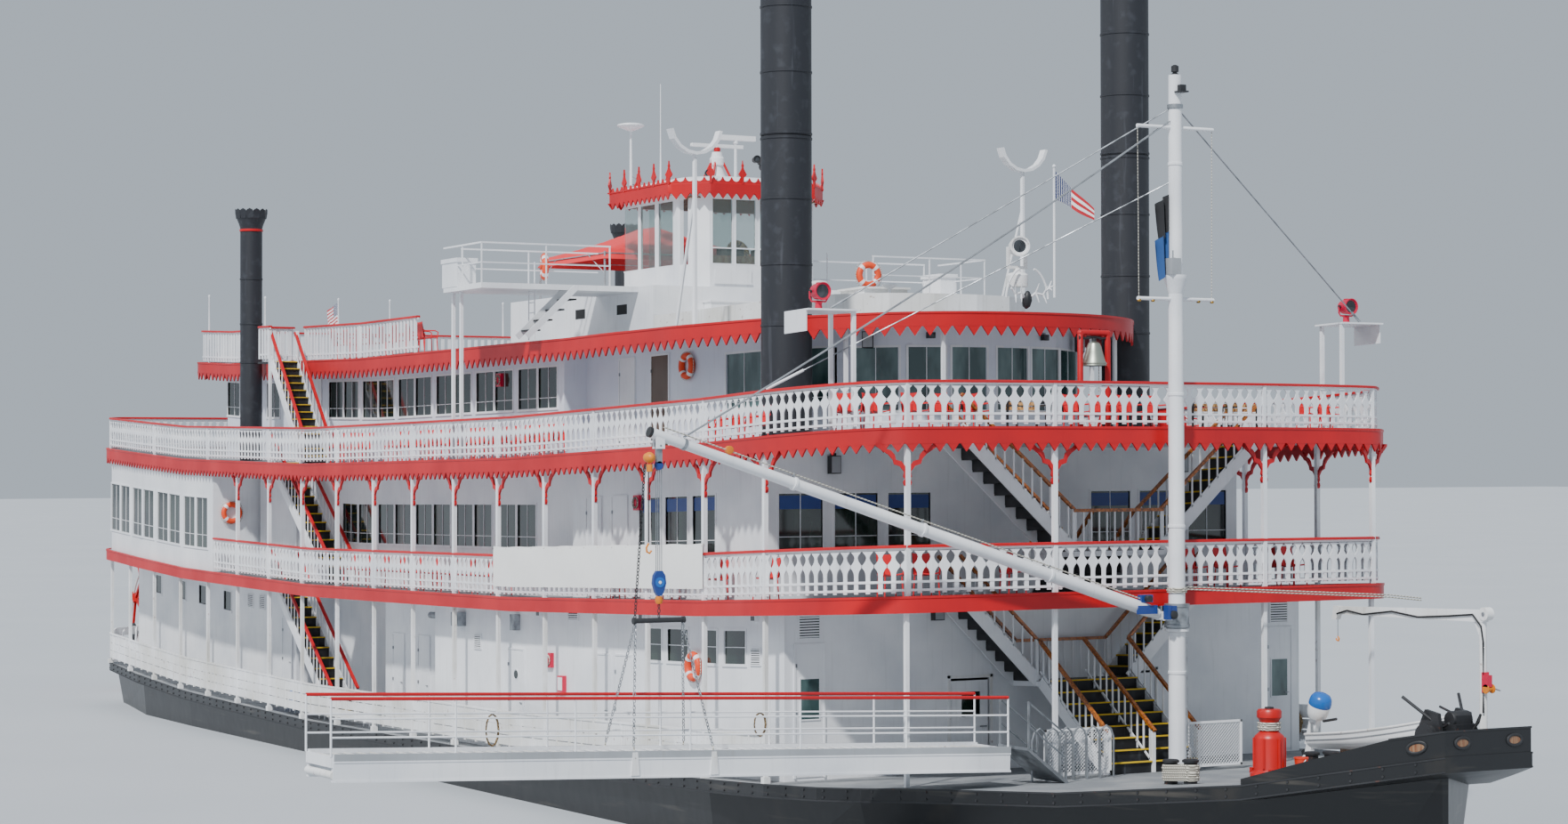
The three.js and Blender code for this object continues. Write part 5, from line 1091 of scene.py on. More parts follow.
class BOAT_OT_stacks(bpy.types.Operator):
    """The two tall stacks with their fixed bases, and the two rear ones, each with a flared head; petals stand round
    the rear ones
    """

    bl_idname = "boat.stacks"
    bl_label = "Stacks"

    def execute(self, context):
        x, r, hinge, top = STACK["x"], STACK["r"], STACK["hinge"], STACK["top"]
        foot = DECK_3 + 17
        neck = top - 1.8 * r
        head = [(0, 0.45 * r), (0.9 * r, 0.45 * r), (1.2 * r, 0.95 * r), (1.42 * r, 1.79 * r), (1.5 * r, 1.8 * r),
                (1.46 * r, 1.4 * r), (1.36 * r, r), (1.42 * r, 0.94 * r), (1.42 * r, 0.86 * r), (1.34 * r, 0.8 * r),
                (1.1 * r, 0.3 * r), (r, 0)]
        for side, name in SIDES:
            y = side * STACK["y"]
            base = [turned([(r, 0), (r, hinge - 1 - foot)], "stack_black", (x, y, foot), sides=64),
                    *stack_rings(x, y, r, (foot + 1, ROOF_DECK + 8, 1440, 1590, hinge - 9))]
            eyes = [turned([(6.5, -2.5), (6.5, 2.5)], "stack_black", (x - r - 10, y + d, hinge), (0, 1, 0), 20)
                    for d in (-10.5, 10.5)]
            arms = boxes([[x - r - 16, x - r + 6, y + a, y + a + 5, hinge - 26, hinge - 1] for a in (-13, 8)],
                         "stack_black")
            pin = turned([(2.5, -16), (2.5, 16)], "galvanised", (x - r - 10, y, hinge), (0, 1, 0), 12)
            piece(f"stack_foot_{name}", [*base, *eyes, arms, pin], sweep=False,
                  replaced=[f"stack_base_{name}"])
            tall = [turned([(r, 0.5), (r, neck - hinge + 1)], "stack_black", (x, y, hinge), sides=64),
                    turned(head, "stack_black", (x, y, neck), sides=64),
                    *stack_rings(x, y, r, (hinge + 2, 1880, 2030, 2160)),
                    turned([(r, 0), (r + 3, 1), (r + 3, 14), (r, 15)], "stack_black", (x, y, neck - 18), sides=48)]
            tongue = [boxes([[x - r - 16.5, x - r + 6, y - 6, y + 6, hinge + 0.6, hinge + 26]], "stack_black"),
                      turned([(6.5, -6), (6.5, 6)], "stack_black", (x - r - 10, y, hinge), (0, 1, 0), 20)]
            piece(f"stack_top_{name}", [*tall, *tongue], body=f"stack_{name}", sweep=False,
                  replaced=[f"stack_{name}"])
            x2, y2, r2, top2 = REAR_STACK["x"], side * REAR_STACK["y"], REAR_STACK["r"], REAR_STACK["top"]
            foot2, neck2 = DECK_3 + 8.5, top2 - 1.8 * r2
            flare = [(0, 0.5 * r2), (0.95 * r2, 0.5 * r2), (1.26 * r2, r2), (1.36 * r2, r2), (1.1 * r2, 0.35 * r2),
                     (r2, 0)]
            rear = [turned([(r2, 0), (r2, neck2 - foot2)], "stack_black", (x2, y2, foot2), sides=48),
                    turned(flare, "stack_black", (x2, y2, neck2), sides=48),
                    turned([(r2, 0), (r2 + 2.5, 1), (r2 + 2.5, 7), (r2, 8)], "red_enamel", (x2, y2, neck2 - 10),
                           sides=48),
                    petals(x2, y2, neck2 + r2 - 3, 1.34 * r2, 0.12, 14, 30),
                    *stack_rings(x2, y2, r2, (1300, 1420, 1560))]
            piece(f"stack_rear_{name}", rear, sweep=False, replaced=[f"rear_stack_{name}"])
        return {"FINISHED"}


# Roof of the pilothouse, the roof's gear and the wings


def stepped(path, step=10.0):
    """The same line with its corners kept and points added, so that no leg is longer than a step."""
    run = np.concatenate([[0], np.cumsum(np.linalg.norm(np.diff(np.asarray(path, float), axis=0), axis=1))])
    return along(path, np.unique(np.concatenate([run, np.arange(0, run[-1], step)])))[0]


CLOTH_THICKNESS = 0.8


def cloth(name, grid, finish, flat, held, rests_on, area=None, replaced=(), sweep=False):
    """A thin closed skin: grid[row, column] moved by half its thickness along the surface to either side, and a rim.
    Its map runs from column 0 to the last as u, and from row 0 up as v."""
    rows, cols = grid.shape[:2]
    if sweep:
        grid = grid + np.stack([np.zeros((rows, cols)), np.zeros((rows, cols)), lift(grid[..., 0], grid[..., 2])],
                               axis=-1)
    normal = unit(np.cross(np.gradient(grid, axis=1), np.gradient(grid, axis=0)))
    points = np.concatenate([(grid + normal * CLOTH_THICKNESS / 2).reshape(-1, 3),
                             (grid - normal * CLOTH_THICKNESS / 2).reshape(-1, 3)])
    count = rows * cols
    i, j = np.meshgrid(np.arange(rows - 1), np.arange(cols - 1), indexing="ij")
    a = (i * cols + j).ravel()
    front = np.stack([a, a + 1, a + cols + 1, a + cols], axis=-1)
    back = front[:, ::-1] + count
    rim = np.concatenate([np.arange(cols), np.arange(2, rows + 1) * cols - 1,
                          np.arange(rows * cols - 2, (rows - 1) * cols - 1, -1), np.arange(rows - 2, -1, -1) * cols])
    ring = np.stack([rim[:-1], rim[:-1] + count, rim[1:] + count, rim[1:]], axis=-1)
    faces = np.concatenate([front, back, ring])
    mesh = bpy.data.meshes.new(name)
    mesh.from_pydata((points * MM).tolist(), [], faces.tolist())
    u, v = np.meshgrid(np.linspace(0, 1, cols), np.linspace(0, 1, rows))
    spots = np.tile(np.column_stack([u.ravel(), v.ravel()]), (2, 1))
    layer = mesh.uv_layers.new(name="cloth")
    layer.data.foreach_set("uv", spots[faces.ravel()].ravel())
    made = shown(mesh, [finish], sharp=60)
    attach(made, "boat")
    if replaced:
        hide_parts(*replaced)


PILOT_EDGE = np.array([[9, 0], [9, 233], [355, 233], [444, 156], [444, 0]], float)
CUSP = closed([[13, -3], [13, 0], [9, 0.6], [5, 3], [2.5, 7], [0.4, 11]])
FINIAL = closed([[3.5, -8], [3.5, 9], [9, 13], [12, 18], [9, 22], [4, 30], [1.8, 36], [3, 40], [3, 42], [1, 45],
                 [0.3, 54]])


def dome(edge, foot, height, rings=7):
    """A low dome over an outline: at t from 0 to a quarter turn the outline shrinks to cos t and rises by sin t."""
    loop = np.concatenate([edge, edge[::-1][1:-1] * (1, -1)])
    t = np.linspace(0, 0.46 * math.pi, rings)
    centre = np.array([(edge[0, 0] + edge[-1, 0]) / 2, 0.0])
    flat = centre + np.cos(t)[:, None, None] ** 0.7 * (loop - centre)
    return skin(np.concatenate([flat, np.broadcast_to((foot + height * np.sin(t))[:, None, None],
                                                      (rings, len(loop), 1))], axis=2), "white_enamel")


def horn(centre, ahead, radius, long, finish):
    """A lamp or trumpet: a barrel that widens to a lens or mouth at its front."""
    ahead = unit(np.asarray(ahead, float))
    back = np.asarray(centre, float) - ahead * long / 2
    return [
        turned([(radius * 0.35, 0), (radius * 0.85, long * 0.12), (radius * 0.97, long * 0.3),
                (radius * 0.97, long * 0.8), (radius * 1.12, long * 0.84), (radius * 1.12, long), (radius * 0.95, long),
                (radius * 0.9, long * 0.9)], finish, back, ahead, 28),
        turned([(0, long * 0.86), (radius * 0.93, long * 0.86), (radius * 0.93, long * 0.89), (0, long * 0.93)],
               "lens_glass", back, ahead, 28),
    ]


def lifebuoy(centre, facing, outer=36, tube_radius=9):
    """A ring buoy seen from its facing side: an orange torus with four white bands and a grab line round it."""
    facing = unit(np.asarray(facing, float))
    across = unit(np.cross(facing, (0, 0, 1)))
    up = np.cross(across, facing)
    angle = np.arange(40) * math.pi / 20
    middle = outer - tube_radius

    def ring(radius, a):
        return (np.asarray(centre, float)
                + np.reshape(radius, (-1, 1)) * (np.cos(a)[:, None] * across + np.sin(a)[:, None] * up))

    parts = [tube(ring(middle, angle), tube_radius, "buoy_orange", 12, facing, loop=True)]
    for k in range(4):
        arc = math.pi / 4 + k * math.pi / 2 + np.linspace(-0.16, 0.16, 5)
        parts.append(tube(ring(middle, arc), tube_radius * 1.06, "white_plastic", 12, facing))
    line = ring(middle + tube_radius + 1.2 + 3.5 * np.sin(angle * 2) ** 2, angle)
    parts.append(tube(line, 0.9, "white_rope", 5, facing, loop=True))
    return parts


class BOAT_OT_pilothouse(bpy.types.Operator):
    """The pilothouse's roof with its cut red border, spearheads, dome, aerials and lamps, and the wooden room"""

    bl_idname = "boat.pilothouse"
    bl_label = "Pilothouse"

    def execute(self, context):
        edge = stepped(PILOT_EDGE)
        top = 1716
        feet, ahead = along(PILOT_EDGE, (np.arange(32) + 0.5) * length_of(PILOT_EDGE) / 32)
        spears, spear_ahead = along(PILOT_EDGE, np.concatenate([[60, 150], 233 + np.arange(5) * 86.5, [696.5, 791]]))
        parts = mirrored([
            moulding(upright(edge, top), [(-5, -31), (-5, 0), (0, 0), (0, -4), (1.5, -6), (1.5, -31)], "red_enamel"),
            stamps([[-13.4, 2], [-5, -9], [0, -15], [5, -9], [13.4, 2]], 3.5, upright(feet, top - 31),
                   upright(ahead, 0), (0, 0, 1), "red_enamel"),
            stamps(CUSP, 3.5, upright(feet - (2, 0), top), upright(ahead, 0), (0, 0, 1), "red_enamel"),
            stamps(FINIAL, 4.5, upright(spears, top + 2), upright(spear_ahead, 0), (0, 0, 1), "red_enamel"),
        ])
        loop = np.concatenate([PILOT_EDGE, PILOT_EDGE[::-1][1:-1] * (1, -1)])
        inner = (loop - (226, 0)) * (0.97, 0.97) + (226, 0)
        parts.append(skin(np.stack([upright(inner, z) for z in (1688, 1713)]), "white_enamel"))
        parts.append(dome((PILOT_EDGE - (226, 0)) * 0.94 + (226, 0), 1712, 31))
        x, y = 190, 0
        parts += [
            turned([(44, 0), (34, 4), (22, 22), (16, 40), (14, 50)], "white_enamel", (x, y, 1736), sides=32),
            turned([(17, 0), (20, 2), (20, 20), (16, 24), (14, 37)], "white_enamel", (x, y, 1784), sides=24),
            rods([[x + 30 * c, y + 30 * s, 1742] for c, s in ((1, 1), (1, -1), (-1, 1), (-1, -1))],
                 [[x + 12 * c, y + 12 * s, 1793] for c, s in ((1, 1), (1, -1), (-1, 1), (-1, -1))], 3.4, "red_enamel"),
            turned([(4, 0), (3, 147), (5, 149), (5, 153)], "white_enamel", (50, -190, 1734), sides=10),
            turned([(6, 0), (16, 3), (34, 11), (37, 14), (36, 17), (24, 20), (0, 21)], "white_enamel", (50, -190, 1883),
                   sides=32),
            turned([(2.6, 0), (2.2, 60), (1.4, 140), (0.9, 276)], "white_plastic", (90, -120, 1734), sides=8),
            turned([(5, 0), (4, 118), (7, 120), (7, 128)], "white_enamel", (120, 96, 1736), sides=12),
            boxes([[114, 126, 36, 156, 1864, 1878], [117, 123, 34, 158, 1866, 1876]], "gel_white"),
            rods([[50, -190, 1760], [50, -186, 1738]], [[60, -150, 1738], [30, -168, 1738]], 1.6, "galvanised"),
        ]
        for dx, dy, z, radius, heading in ((330, 70, 1772, 11, (1, 0.2, 0)), (318, 96, 1766, 10, (0.9, 0.5, 0)),
                                           (312, 52, 1792, 9, (1, -0.3, 0)), (296, 84, 1790, 8, (-1, 0, 0))):
            parts += horn((dx, dy, z), heading, radius, 38, "iron_black")
        parts.append(rods([[310, 75, 1736], [310, 75, 1770]], [[310, 75, 1800], [330, 90, 1770]], 4, "grey_box"))
        parts += horn((250, -60, 1756), (1, -0.3, 0), 9, 24, "iron_black")
        piece("pilothouse_roof_dressed", parts, replaced=["pilothouse_roof"])
        bar = [boxes([[184, 196, -78, 78, 1833.5, 1842.5], [186, 194, -80, 80, 1835, 1841]], "gel_white"),
               turned([(9, 0), (9, 9), (6, 12)], "red_enamel", (190, 0, 1822.5), sides=20)]
        piece("radar_bar_dressed", bar, body="radar", replaced=["radar_bar"])
        wood = [
            [50, 52, -194, 194, 1449, 1500], [60, 352, -195, -193, 1449, 1497], [60, 352, 193, 195, 1449, 1497],
            [402, 404, -140, 140, 1449, 1498], [60, 398, -192, 192, 1674, 1677],
        ]
        battens = [[58 + 24 * k, 62 + 24 * k, -190, 190, 1671, 1674] for k in range(14)]
        desk = [[330, 396, -130, 130, 1449, 1520], [322, 398, -136, 136, 1520, 1525]]
        seat = [[230, 268, -22, 22, 1498, 1508], [226, 234, -22, 22, 1508, 1560]]
        wheel = [turned([(34, -1.5), (36, 0), (34, 1.5), (31, 0)], "bench_wood", (306, 0, 1540), (1, 0, 0.2), 32),
                 rods([[306, -34, 1540], [306, 0, 1506], [306, 0, 1540]],
                      [[306, 34, 1540], [306, 0, 1574], [326, 0, 1536]], 2, "brass")]
        piece("pilothouse_room", [boxes(wood + battens + desk, "panel_wood"), boxes(seat, "black_rubber"),
                                  rods([[248, 0, 1449]], [[248, 0, 1499]], 6, "galvanised", 10), *wheel,
                                  boxes([[340, 376, -70, -20, 1525, 1549], [340, 372, 20, 74, 1525, 1545]],
                                        "iron_black")])
        frames = [[408.5, 415.5, s * 36 - 31, s * 36 + 31, z, z + 3] for s in (-3, -1, 1, 3) for z in (1500, 1542)]
        frames += [[410, 415.8, y - 1.5, y + 1.5, *PILOT_PANES] for y in (-137, -75, -67, -5, 5, 67, 75, 137)]
        sides = [[x - 43, x + 43, s * 203 - 1.5, s * 203 + 1.5, z, z + 3] for x in (78, 176, 280) for s in (-1, 1)
                 for z in (1498.5, 1670)]
        visor = boxes([[416, 418, -130, -20, 1452, 1486], [416, 419, -132, -18, 1449, 1453]], "white_enamel")
        vents = repeated(louvre(44, 26, 4), [[417, -150, 1398, 90], [417, 20, 1380, 90]])
        box = boxes([[431.5, 470, -170, -10, 1372, 1398], [429, 474, -174, -6, 1398, 1402]], "white_enamel")
        piece("pilothouse_trim", [boxes(frames + sides, "white_enamel"), visor, *vents, box])
        return {"FINISHED"}


def hipped(u, v):
    """The canopy's height above its eaves: the least of the way in from each side and end, rounded, with a sag."""
    rise = np.clip(np.minimum(np.minimum(u, 1 - u) * 2, np.minimum(v, 1 - v) / 0.353), 0, 1)
    return 83 * (rise - 0.07 * np.sin(math.pi * rise))


class BOAT_OT_roof_gear(bpy.types.Operator):
    """The shade aft of the pilothouse, the wings' ladders and lifebuoys, the roof's searchlight, horns and rails"""

    bl_idname = "boat.roof_gear"
    bl_label = "Roof gear"

    def execute(self, context):
        u, v = np.meshgrid(np.linspace(0, 1, 33), np.linspace(0, 1, 35))
        drop = np.where((np.minimum(u, 1 - u) < 0.001) | (np.minimum(v, 1 - v) < 0.001), 22.0, 0.0)
        grid = np.stack([-440 + 425 * v, 240 - 480 * u, 1562 + hipped(u, v) - drop], axis=-1)
        inner = (np.minimum(u, 1 - u) > 0.001) & (np.minimum(v, 1 - v) > 0.001)
        grid[..., 0] = np.where(inner, grid[..., 0], np.clip(grid[..., 0], -440, -15))
        cloth("canopy_cloth", grid, "canopy_red", (0.56, 0.53), "stretched", ["roof_canopy"], sweep=True, area=0.26)
        frame_rods = [
            rods([[x, s * 234, 1440.5] for x in (-434, -21) for s in (-1, 1)],
                 [[x, s * 234, 1561] for x in (-434, -21) for s in (-1, 1)], 3, "aluminium", 8),
            rods([[-434, -234, 1556], [-434, 234, 1556], [-434, -234, 1556], [-21, -234, 1556]],
                 [[-21, -234, 1556], [-21, 234, 1556], [-434, 234, 1556], [-21, 234, 1556]], 2, "aluminium"),
            rods([[-434, -234, 1500], [-434, 234, 1500], [-21, -234, 1500], [-21, 234, 1500]],
                 [[-330, -234, 1555], [-330, 234, 1555], [-120, -234, 1555], [-120, 234, 1555]], 1.6, "aluminium"),
        ]
        piece("canopy_frame", frame_rods, replaced=["roof_canopy"])
        gear = [
            boxes([[315, 372, -640 + 34 * k, -612 + 34 * k, 1318 + 27 * k, 1322 + 27 * k] for k in range(4)],
                  "tread_black"),
            bars([[313, -650, 1304], [374, -650, 1304]], [[313, -512, 1432], [374, -512, 1432]], 3, 16, "white_enamel"),
            rods([[250, -588, 1300], [285, -588, 1300]], [[250, -588, 1500], [285, -588, 1500]], 1.8, "white_enamel"),
            rods([[250, -588, 1318 + 26 * k] for k in range(5)], [[285, -588, 1318 + 26 * k] for k in range(5)], 1.4,
                 "white_enamel"),
        ]
        gear += lifebuoy((105, -475, 1503), (-0.35, -1, 0))
        gear += lifebuoy((338, 389, 1491), (1, -0.2, 0))
        x, y, z = 1600, 23, 1361
        gear += [
            turned([(26, 0), (26, 26), (22, 31), (10, 34), (7, 44)], "white_worn", (x, y, z), sides=28),
            bars([[x, y - 24, z + 46], [x, y + 24, z + 46]], [[x, y - 24, z + 92], [x, y + 24, z + 92]], 5, 9,
                 "white_worn", (1, 0, 0)),
            boxes([[x - 5, x + 5, y - 26, y + 26, z + 42, z + 48]], "white_worn"),
            *horn((x + 4, y, z + 92), (1, -0.35, 0.02), 21, 44, "white_worn"),
            rods([[1600, 128, 1339]], [[1600, 128, 1640]], 3, "white_enamel", 10),
            turned([(3, 0), (5, 4), (3, 8), (0, 10)], "white_enamel", (1600, 128, 1640), sides=10),
            rods([[182, 350, 1434]], [[182, 350, 1560]], 1.8, "white_enamel", 8),
            turned([(22, 0), (22, 46), (16, 60), (24, 64), (24, 70), (0, 74)], "white_worn", (800, -40, 1360),
                   sides=24),
            turned([(4, 0), (3.5, 40), (16, 46), (20, 50), (16, 54), (0, 56)], "white_enamel", (980, 60, 1361),
                   sides=20),
            boxes([[640, 760, 120, 250, 1361, 1420], [634, 766, 114, 256, 1420, 1425]], "white_worn"),
            turned([(34, 0), (34, 30), (40, 34), (40, 40), (10, 52)], "galvanised", (-1100, 120, 1293.5), sides=28),
            boxes([[-1960, -1860, -90, 60, 1293.5, 1340], [-1966, -1854, -96, 66, 1340, 1345]], "grey_box"),
        ]
        for s in (-1, 1):
            arc = np.radians(np.linspace(-35, 200, 24) if s > 0 else np.linspace(-20, 215, 24))
            gear.append(tube(np.column_stack([np.full(24, x + 30.0), y + 8 + s * (28 + 30 * np.sin(arc * 0.5)),
                                              1352 + 44 * np.abs(np.cos(arc * 0.5)) - 20 * np.sin(arc * 0.5)]),
                             2.6, "white_plastic", 6))
        px, py = 1698, -16
        for s in (-1, 1):
            path = [[px, py + s * 6, 1326], [px + 6, py + s * 20, 1338], [px + 10, py + s * 38, 1334],
                    [px + 12, py + s * 52, 1350], [px + 12, py + s * 60, 1366]]
            gear.append(tube(path, [3.4, 3.2, 2.8, 2.2, 1.2], "white_plastic", 7))
            for k, reach, high in ((1, 4, 22), (2, 6, 20), (3, 10, 6)):
                start = np.array(path[k], float)
                gear.append(tube([start, start + (5, s * reach * 0.5, high * 0.5), start + (9, s * reach, high)],
                                 [2.6, 1.8, 0.8], "white_plastic", 6, (1, 0, 0)))
                gear.append(tube([start, start + (5, s * 2, -high * 0.5), start + (8, s * 4, -high)], [2.4, 1.7, 0.8],
                                 "white_plastic", 6, (1, 0, 0)))
        gear.append(turned([(2, -20), (9, -14), (12, 0), (9, 12), (4, 20), (0, 22)], "iron_black", (px, py, 1322),
                           (0.2, 0, 1), 14))
        piece("roof_gear", gear)
        flags()
        return {"FINISHED"}


def flags():
    """Flags in a light wind: height falls along the fly, and the depth waves as sin of the way along it."""
    u, v = np.meshgrid(np.linspace(0, 1, 41), np.linspace(0, 1, 17))
    along_fly = 92 * u
    grid = np.stack([1603 + along_fly * 0.45, 128 + along_fly * 0.86 + 5 * np.sin(7 * u),
                     1552 + 66 * v * (1 - 0.62 * u) + 16 * (1 - u) - 34 * u - 5 * np.sin(6 * u) * v], axis=-1)
    cloth("pennant", grid, "pennant_cloth", (0.1, 0.07), "hung", ["roof_gear"], sweep=True, area=0.0052)
    grid = np.stack([-2321 - 100 * u + 2 * np.sin(5 * u), -102 + 5 * np.sin(8 * u + 1.5 * v) * u,
                     1424 + 76 * v - 26 * u ** 1.4 + 3 * np.sin(9 * u)], axis=-1)
    cloth("stern_flag_cloth", grid, "striped_cloth", (0.106, 0.078), "hung", ["rail_roof"], sweep=True,
          replaced=["stern_flag"])
    for name, finish, low, high in (("mast_flag_upper", "black_cloth", 1484, 1560),
                                    ("mast_flag_lower", "blue_cloth", 1400, 1482)):
        grid = np.stack([2236 + 7 * np.sin(11 * u + 1.5 * v) * np.minimum(3 * u, 1), -17.3 - 36 * u * (0.6 + 0.4 * v),
                         low + (high - low) * v - 25 * u ** 1.3], axis=-1)
        cloth(name, grid, finish, (0.06, (high - low) * MM), "hung", ["mast_pole"],
              replaced=["mast_flag"] if "upper" in name else ())


# Mast, boom, tackle and landing stage, at their real heights


def boom_z(y):
    return 666 - (y + 36) * 380 / 1202


def stage_z(y):
    return 415 + (y + 470) / -1466 * 56


def chain(start, end, link, finish):
    """Oval links along a line, each turned a quarter from the last: a loop of half width link / 3."""
    start, end = np.asarray(start, float), np.asarray(end, float)
    count = max(1, int(np.linalg.norm(end - start) / (link * 0.8)))
    ahead = unit(end - start)
    side = unit(np.cross(ahead, (0.9, 0.1, 0.3)))
    angle = np.arange(8) * math.pi / 4
    made = []
    for k in range(count):
        across = side if k % 2 else np.cross(ahead, side)
        centre = start + (end - start) * (k + 0.5) / count
        loop = centre + link / 2 * np.cos(angle)[:, None] * ahead + link / 3 * np.sin(angle)[:, None] * across
        made.append(tube(loop, link * 0.11, finish, 5, np.cross(ahead, across), loop=True))
    return made


def windings(places, radius, turns, rope, finish="white_rope"):
    """Rope laid round upright posts: turns one above the other round one post, or round two as a long loop."""
    places = np.asarray(places, float)
    angle = np.arange(28) * math.pi / 14
    first, last = places[0], places[-1]
    toward = unit((last - first) * (1, 1, 0)) if len(places) > 1 else np.array([1.0, 0, 0])
    across = np.cross((0, 0, 1), toward)
    made = []
    for k in range(turns):
        centre = np.where((np.cos(angle) > 0)[:, None], last, first)
        reach = radius + rope + (k % 2) * rope * 0.5
        loop = centre + reach * (np.cos(angle)[:, None] * toward + np.sin(angle)[:, None] * across)
        made.append(tube(loop + (0, 0, k * rope * 1.9), rope, finish, 6, (0, 0, 1), loop=True))
    return made


class BOAT_OT_mast(bpy.types.Operator):
    """Mast with lamps and stays, the boom with its collar, winch, ropes and lift, and the tackle with its slings"""

    bl_idname = "boat.mast"
    bl_label = "Mast, boom and tackle"

    def execute(self, context):
        x = MAST["x"]
        foot = MAIN_DECK + float(lift(x + 30, MAIN_DECK)) + 0.3
        pole = [
            turned([(MAST["low"], 0), (MAST["high"], MAST["top"] - foot)], "white_enamel", (x, 0, foot), sides=40),
            turned([(30, 0), (30, 4), (24, 5), (22, 11), (19, 12)], "white_enamel", (x, 0, foot), sides=40),
            turned([(17.5, 0), (25, 3), (25, 9)], "white_enamel", (x, 0, 630), sides=36),
            rods([[x, -100, 1703], [x, -100, 1338]], [[x, 100, 1703], [x, 100, 1338]], 4, "white_enamel", 14),
            turned([(15.5, -34), (25, -3), (26, 0), (26, 6), (15, 6)], "white_enamel", (x, 0, 1383), sides=32),
            boxes([[x - 8, x + 22, -26, -2, 1389, 1424]], "grey_box"),
            rods([[x + 20, -22, 1389]], [[x + 20, -22, 1440]], 1.5, "galvanised"),
            turned([(8, -1), (8, 3), (5, 4), (5, 6), (8, 7), (8, 19), (3, 22)], "iron_black", (x, 0, MAST["top"]),
                   sides=20),
            boxes([[x + 12, x + 34, -11, 11, 1776, 1779], [x + 18, x + 30, -7, 7, 1779, 1792]], "iron_black"),
            rods([[x - 1, s * 98, 1700] for s in (-1, 1)], [[x - 1, s * 96, 1341] for s in (-1, 1)], 0.8, "white_rope"),
            rods([[x, -19, 1560]], [[x, -20, 1392]], 0.7, "white_rope"),
            *[turned([(3.4, -3), (4.6, 0), (3.4, 3)], "brass", (x, y, 1334), sides=12) for y in (-96, -60, 60, 96)],
            rods([[x + 19, 12, foot + 60]], [[x + 17.5, 12, 620]], 1.5, "galvanised"),
        ]
        pole += [turned([(19.4 - 0.0034 * z, 0), (20.6 - 0.0034 * z, 1), (20.6 - 0.0034 * z, 6),
                         (19.4 - 0.0034 * z, 7)], "white_enamel", (x, 0, foot + z), sides=36)
                 for z in (210, 520, 800, 1290)]
        stay_x = 1993
        stay_z = 1262 + float(lift(stay_x, 1262)) + 2
        for s in (-1, 1):
            end = np.array([stay_x, s * 710, stay_z])
            start = np.array([x, 0, 1750])
            low = end + (start - end) * 0.045
            pole.append(rods([start], [end], 1.5, "galvanised", 8))
            pole.append(rods([end], [low], 3, "galvanised", 10))
        pole.append(rods([[x, -6, 1590]], [[1795, -752, 1148]], 1.3, "galvanised", 8))
        pole.append(rods([[1795, -752, 1148]], [[1836, -683, 1189]], 3.2, "white_enamel", 10))
        pole.append(turned([(14.8, -5), (17, -4), (17, 4), (14.8, 5)], "galvanised", (x, 0, 1748), sides=28))
        preventer = [[x, 6, 722], [x - 2, 120, 716], [x - 18, 600, 690], [x - 26, 700, 680]]
        pole += [tube(np.array(preventer) + (0, 0, d), 1.6, "white_rope", 6) for d in (0, 5)]
        pole += windings([[x, 0, 716]], 17.6, 3, 2)
        piece("mast_pole", pole, sweep=False, replaced=["mast"])
        heel = [
            turned([(20, 0), (27, 1), (27, 7), (25.5, 9), (25.5, 43), (27, 45), (27, 51), (20, 52)], "galvanised",
                   (x, 0, 640), sides=40),
            boxes([[x + 9, x + 14, -44, -15, 657, 675], [x - 14, x - 9, -44, -15, 657, 675]], "white_enamel"),
            turned([(4, -16), (4, 16)], "galvanised", (x, -36, 666), (1, 0, 0), 14),
            turned([(9, 0), (9, 26), (4, 28)], "iron_black", (x + 14, -36, 670), (1, 0, 0), 24),
            turned([(11, 2), (11, 4), (6, 4), (6, 20), (11, 20), (11, 22)], "hook_blue", (x + 14, -36, 671), (1, 0, 0),
                   24),
            boxes([[x + 22, x + 38, -52, -44, 660, 690], [x + 14, x + 24, -30, -18, 664, 688]], "hook_blue"),
        ]
        piece("boom_heel", heel, body="boom_collar", sweep=False, replaced=["boom_collar"])

        def spar(ys, above=0.0, across=0.0):
            return np.array([[x + across, y, boom_z(y) + above] for y in ys])

        boom = [
            tube(spar((-52, -80, -640, -1255)), [11, 14, 12.2, 10], "white_enamel", 32),
            tube(spar((-1254, -1260)), [10.6, 10.6], "iron_black", 28),
            boxes([[x - 7, x + 7, -56, -30, 659, 673]], "white_enamel"),
            boxes([[x + a, x + a + 4, -1247, -1229, 1020, 1047] for a in (-9, 5)], "white_enamel"),
            turned([(2, -9.5), (2, 9.5)], "galvanised", (x, -1238, 1026), (1, 0, 0), 12),
            *[tube(spar((-95, -1225), 19.5 - 0.5 * k, 5 * (k - 1)), 1.05, "white_rope", 6) for k in range(3)],
            *[tube(spar((y, y + 5)), [15.2 + 0.0032 * y + 1.6, 15.2 + 0.0032 * y + 1.6], "white_enamel", 30)
              for y in (-330, -640, -940)],
            rods([[x - 7, y, boom_z(y) + 10] for y in (-330, -640, -940)], [[x + 7, y, boom_z(y) + 20]
                                                                          for y in (-330, -640, -940)],
                 1.6, "galvanised"),
            turned([(5, -5), (8, -4), (8, 4), (5, 5)], "orange_paint", (x + 3, -1085, boom_z(-1085) + 20), (1, 0, 0),
                   24),
            boxes([[x + 9, x + 15, -112, -62, 672, 690], [x - 4, x + 10, -100, -70, 696, 712]], "hook_blue"),
            turned([(7, 0), (7, 18)], "iron_black", (x + 4, -86, 704), (1, 0, 0), 20),
            tube(spar((-1180, -1186), 0), [11.8, 11.8], "galvanised", 28),
        ]
        piece("boom_spar", boom, body="boom", sweep=False, replaced=["boom"])
        top, tip = np.array([x, -15.5, 1716.0]), np.array([x, -1183.0, boom_z(-1183) + 14])
        t = np.linspace(0, 1, 24)[:, None]
        sag = -14 * 4 * t * (1 - t) * (0, 0, 1)
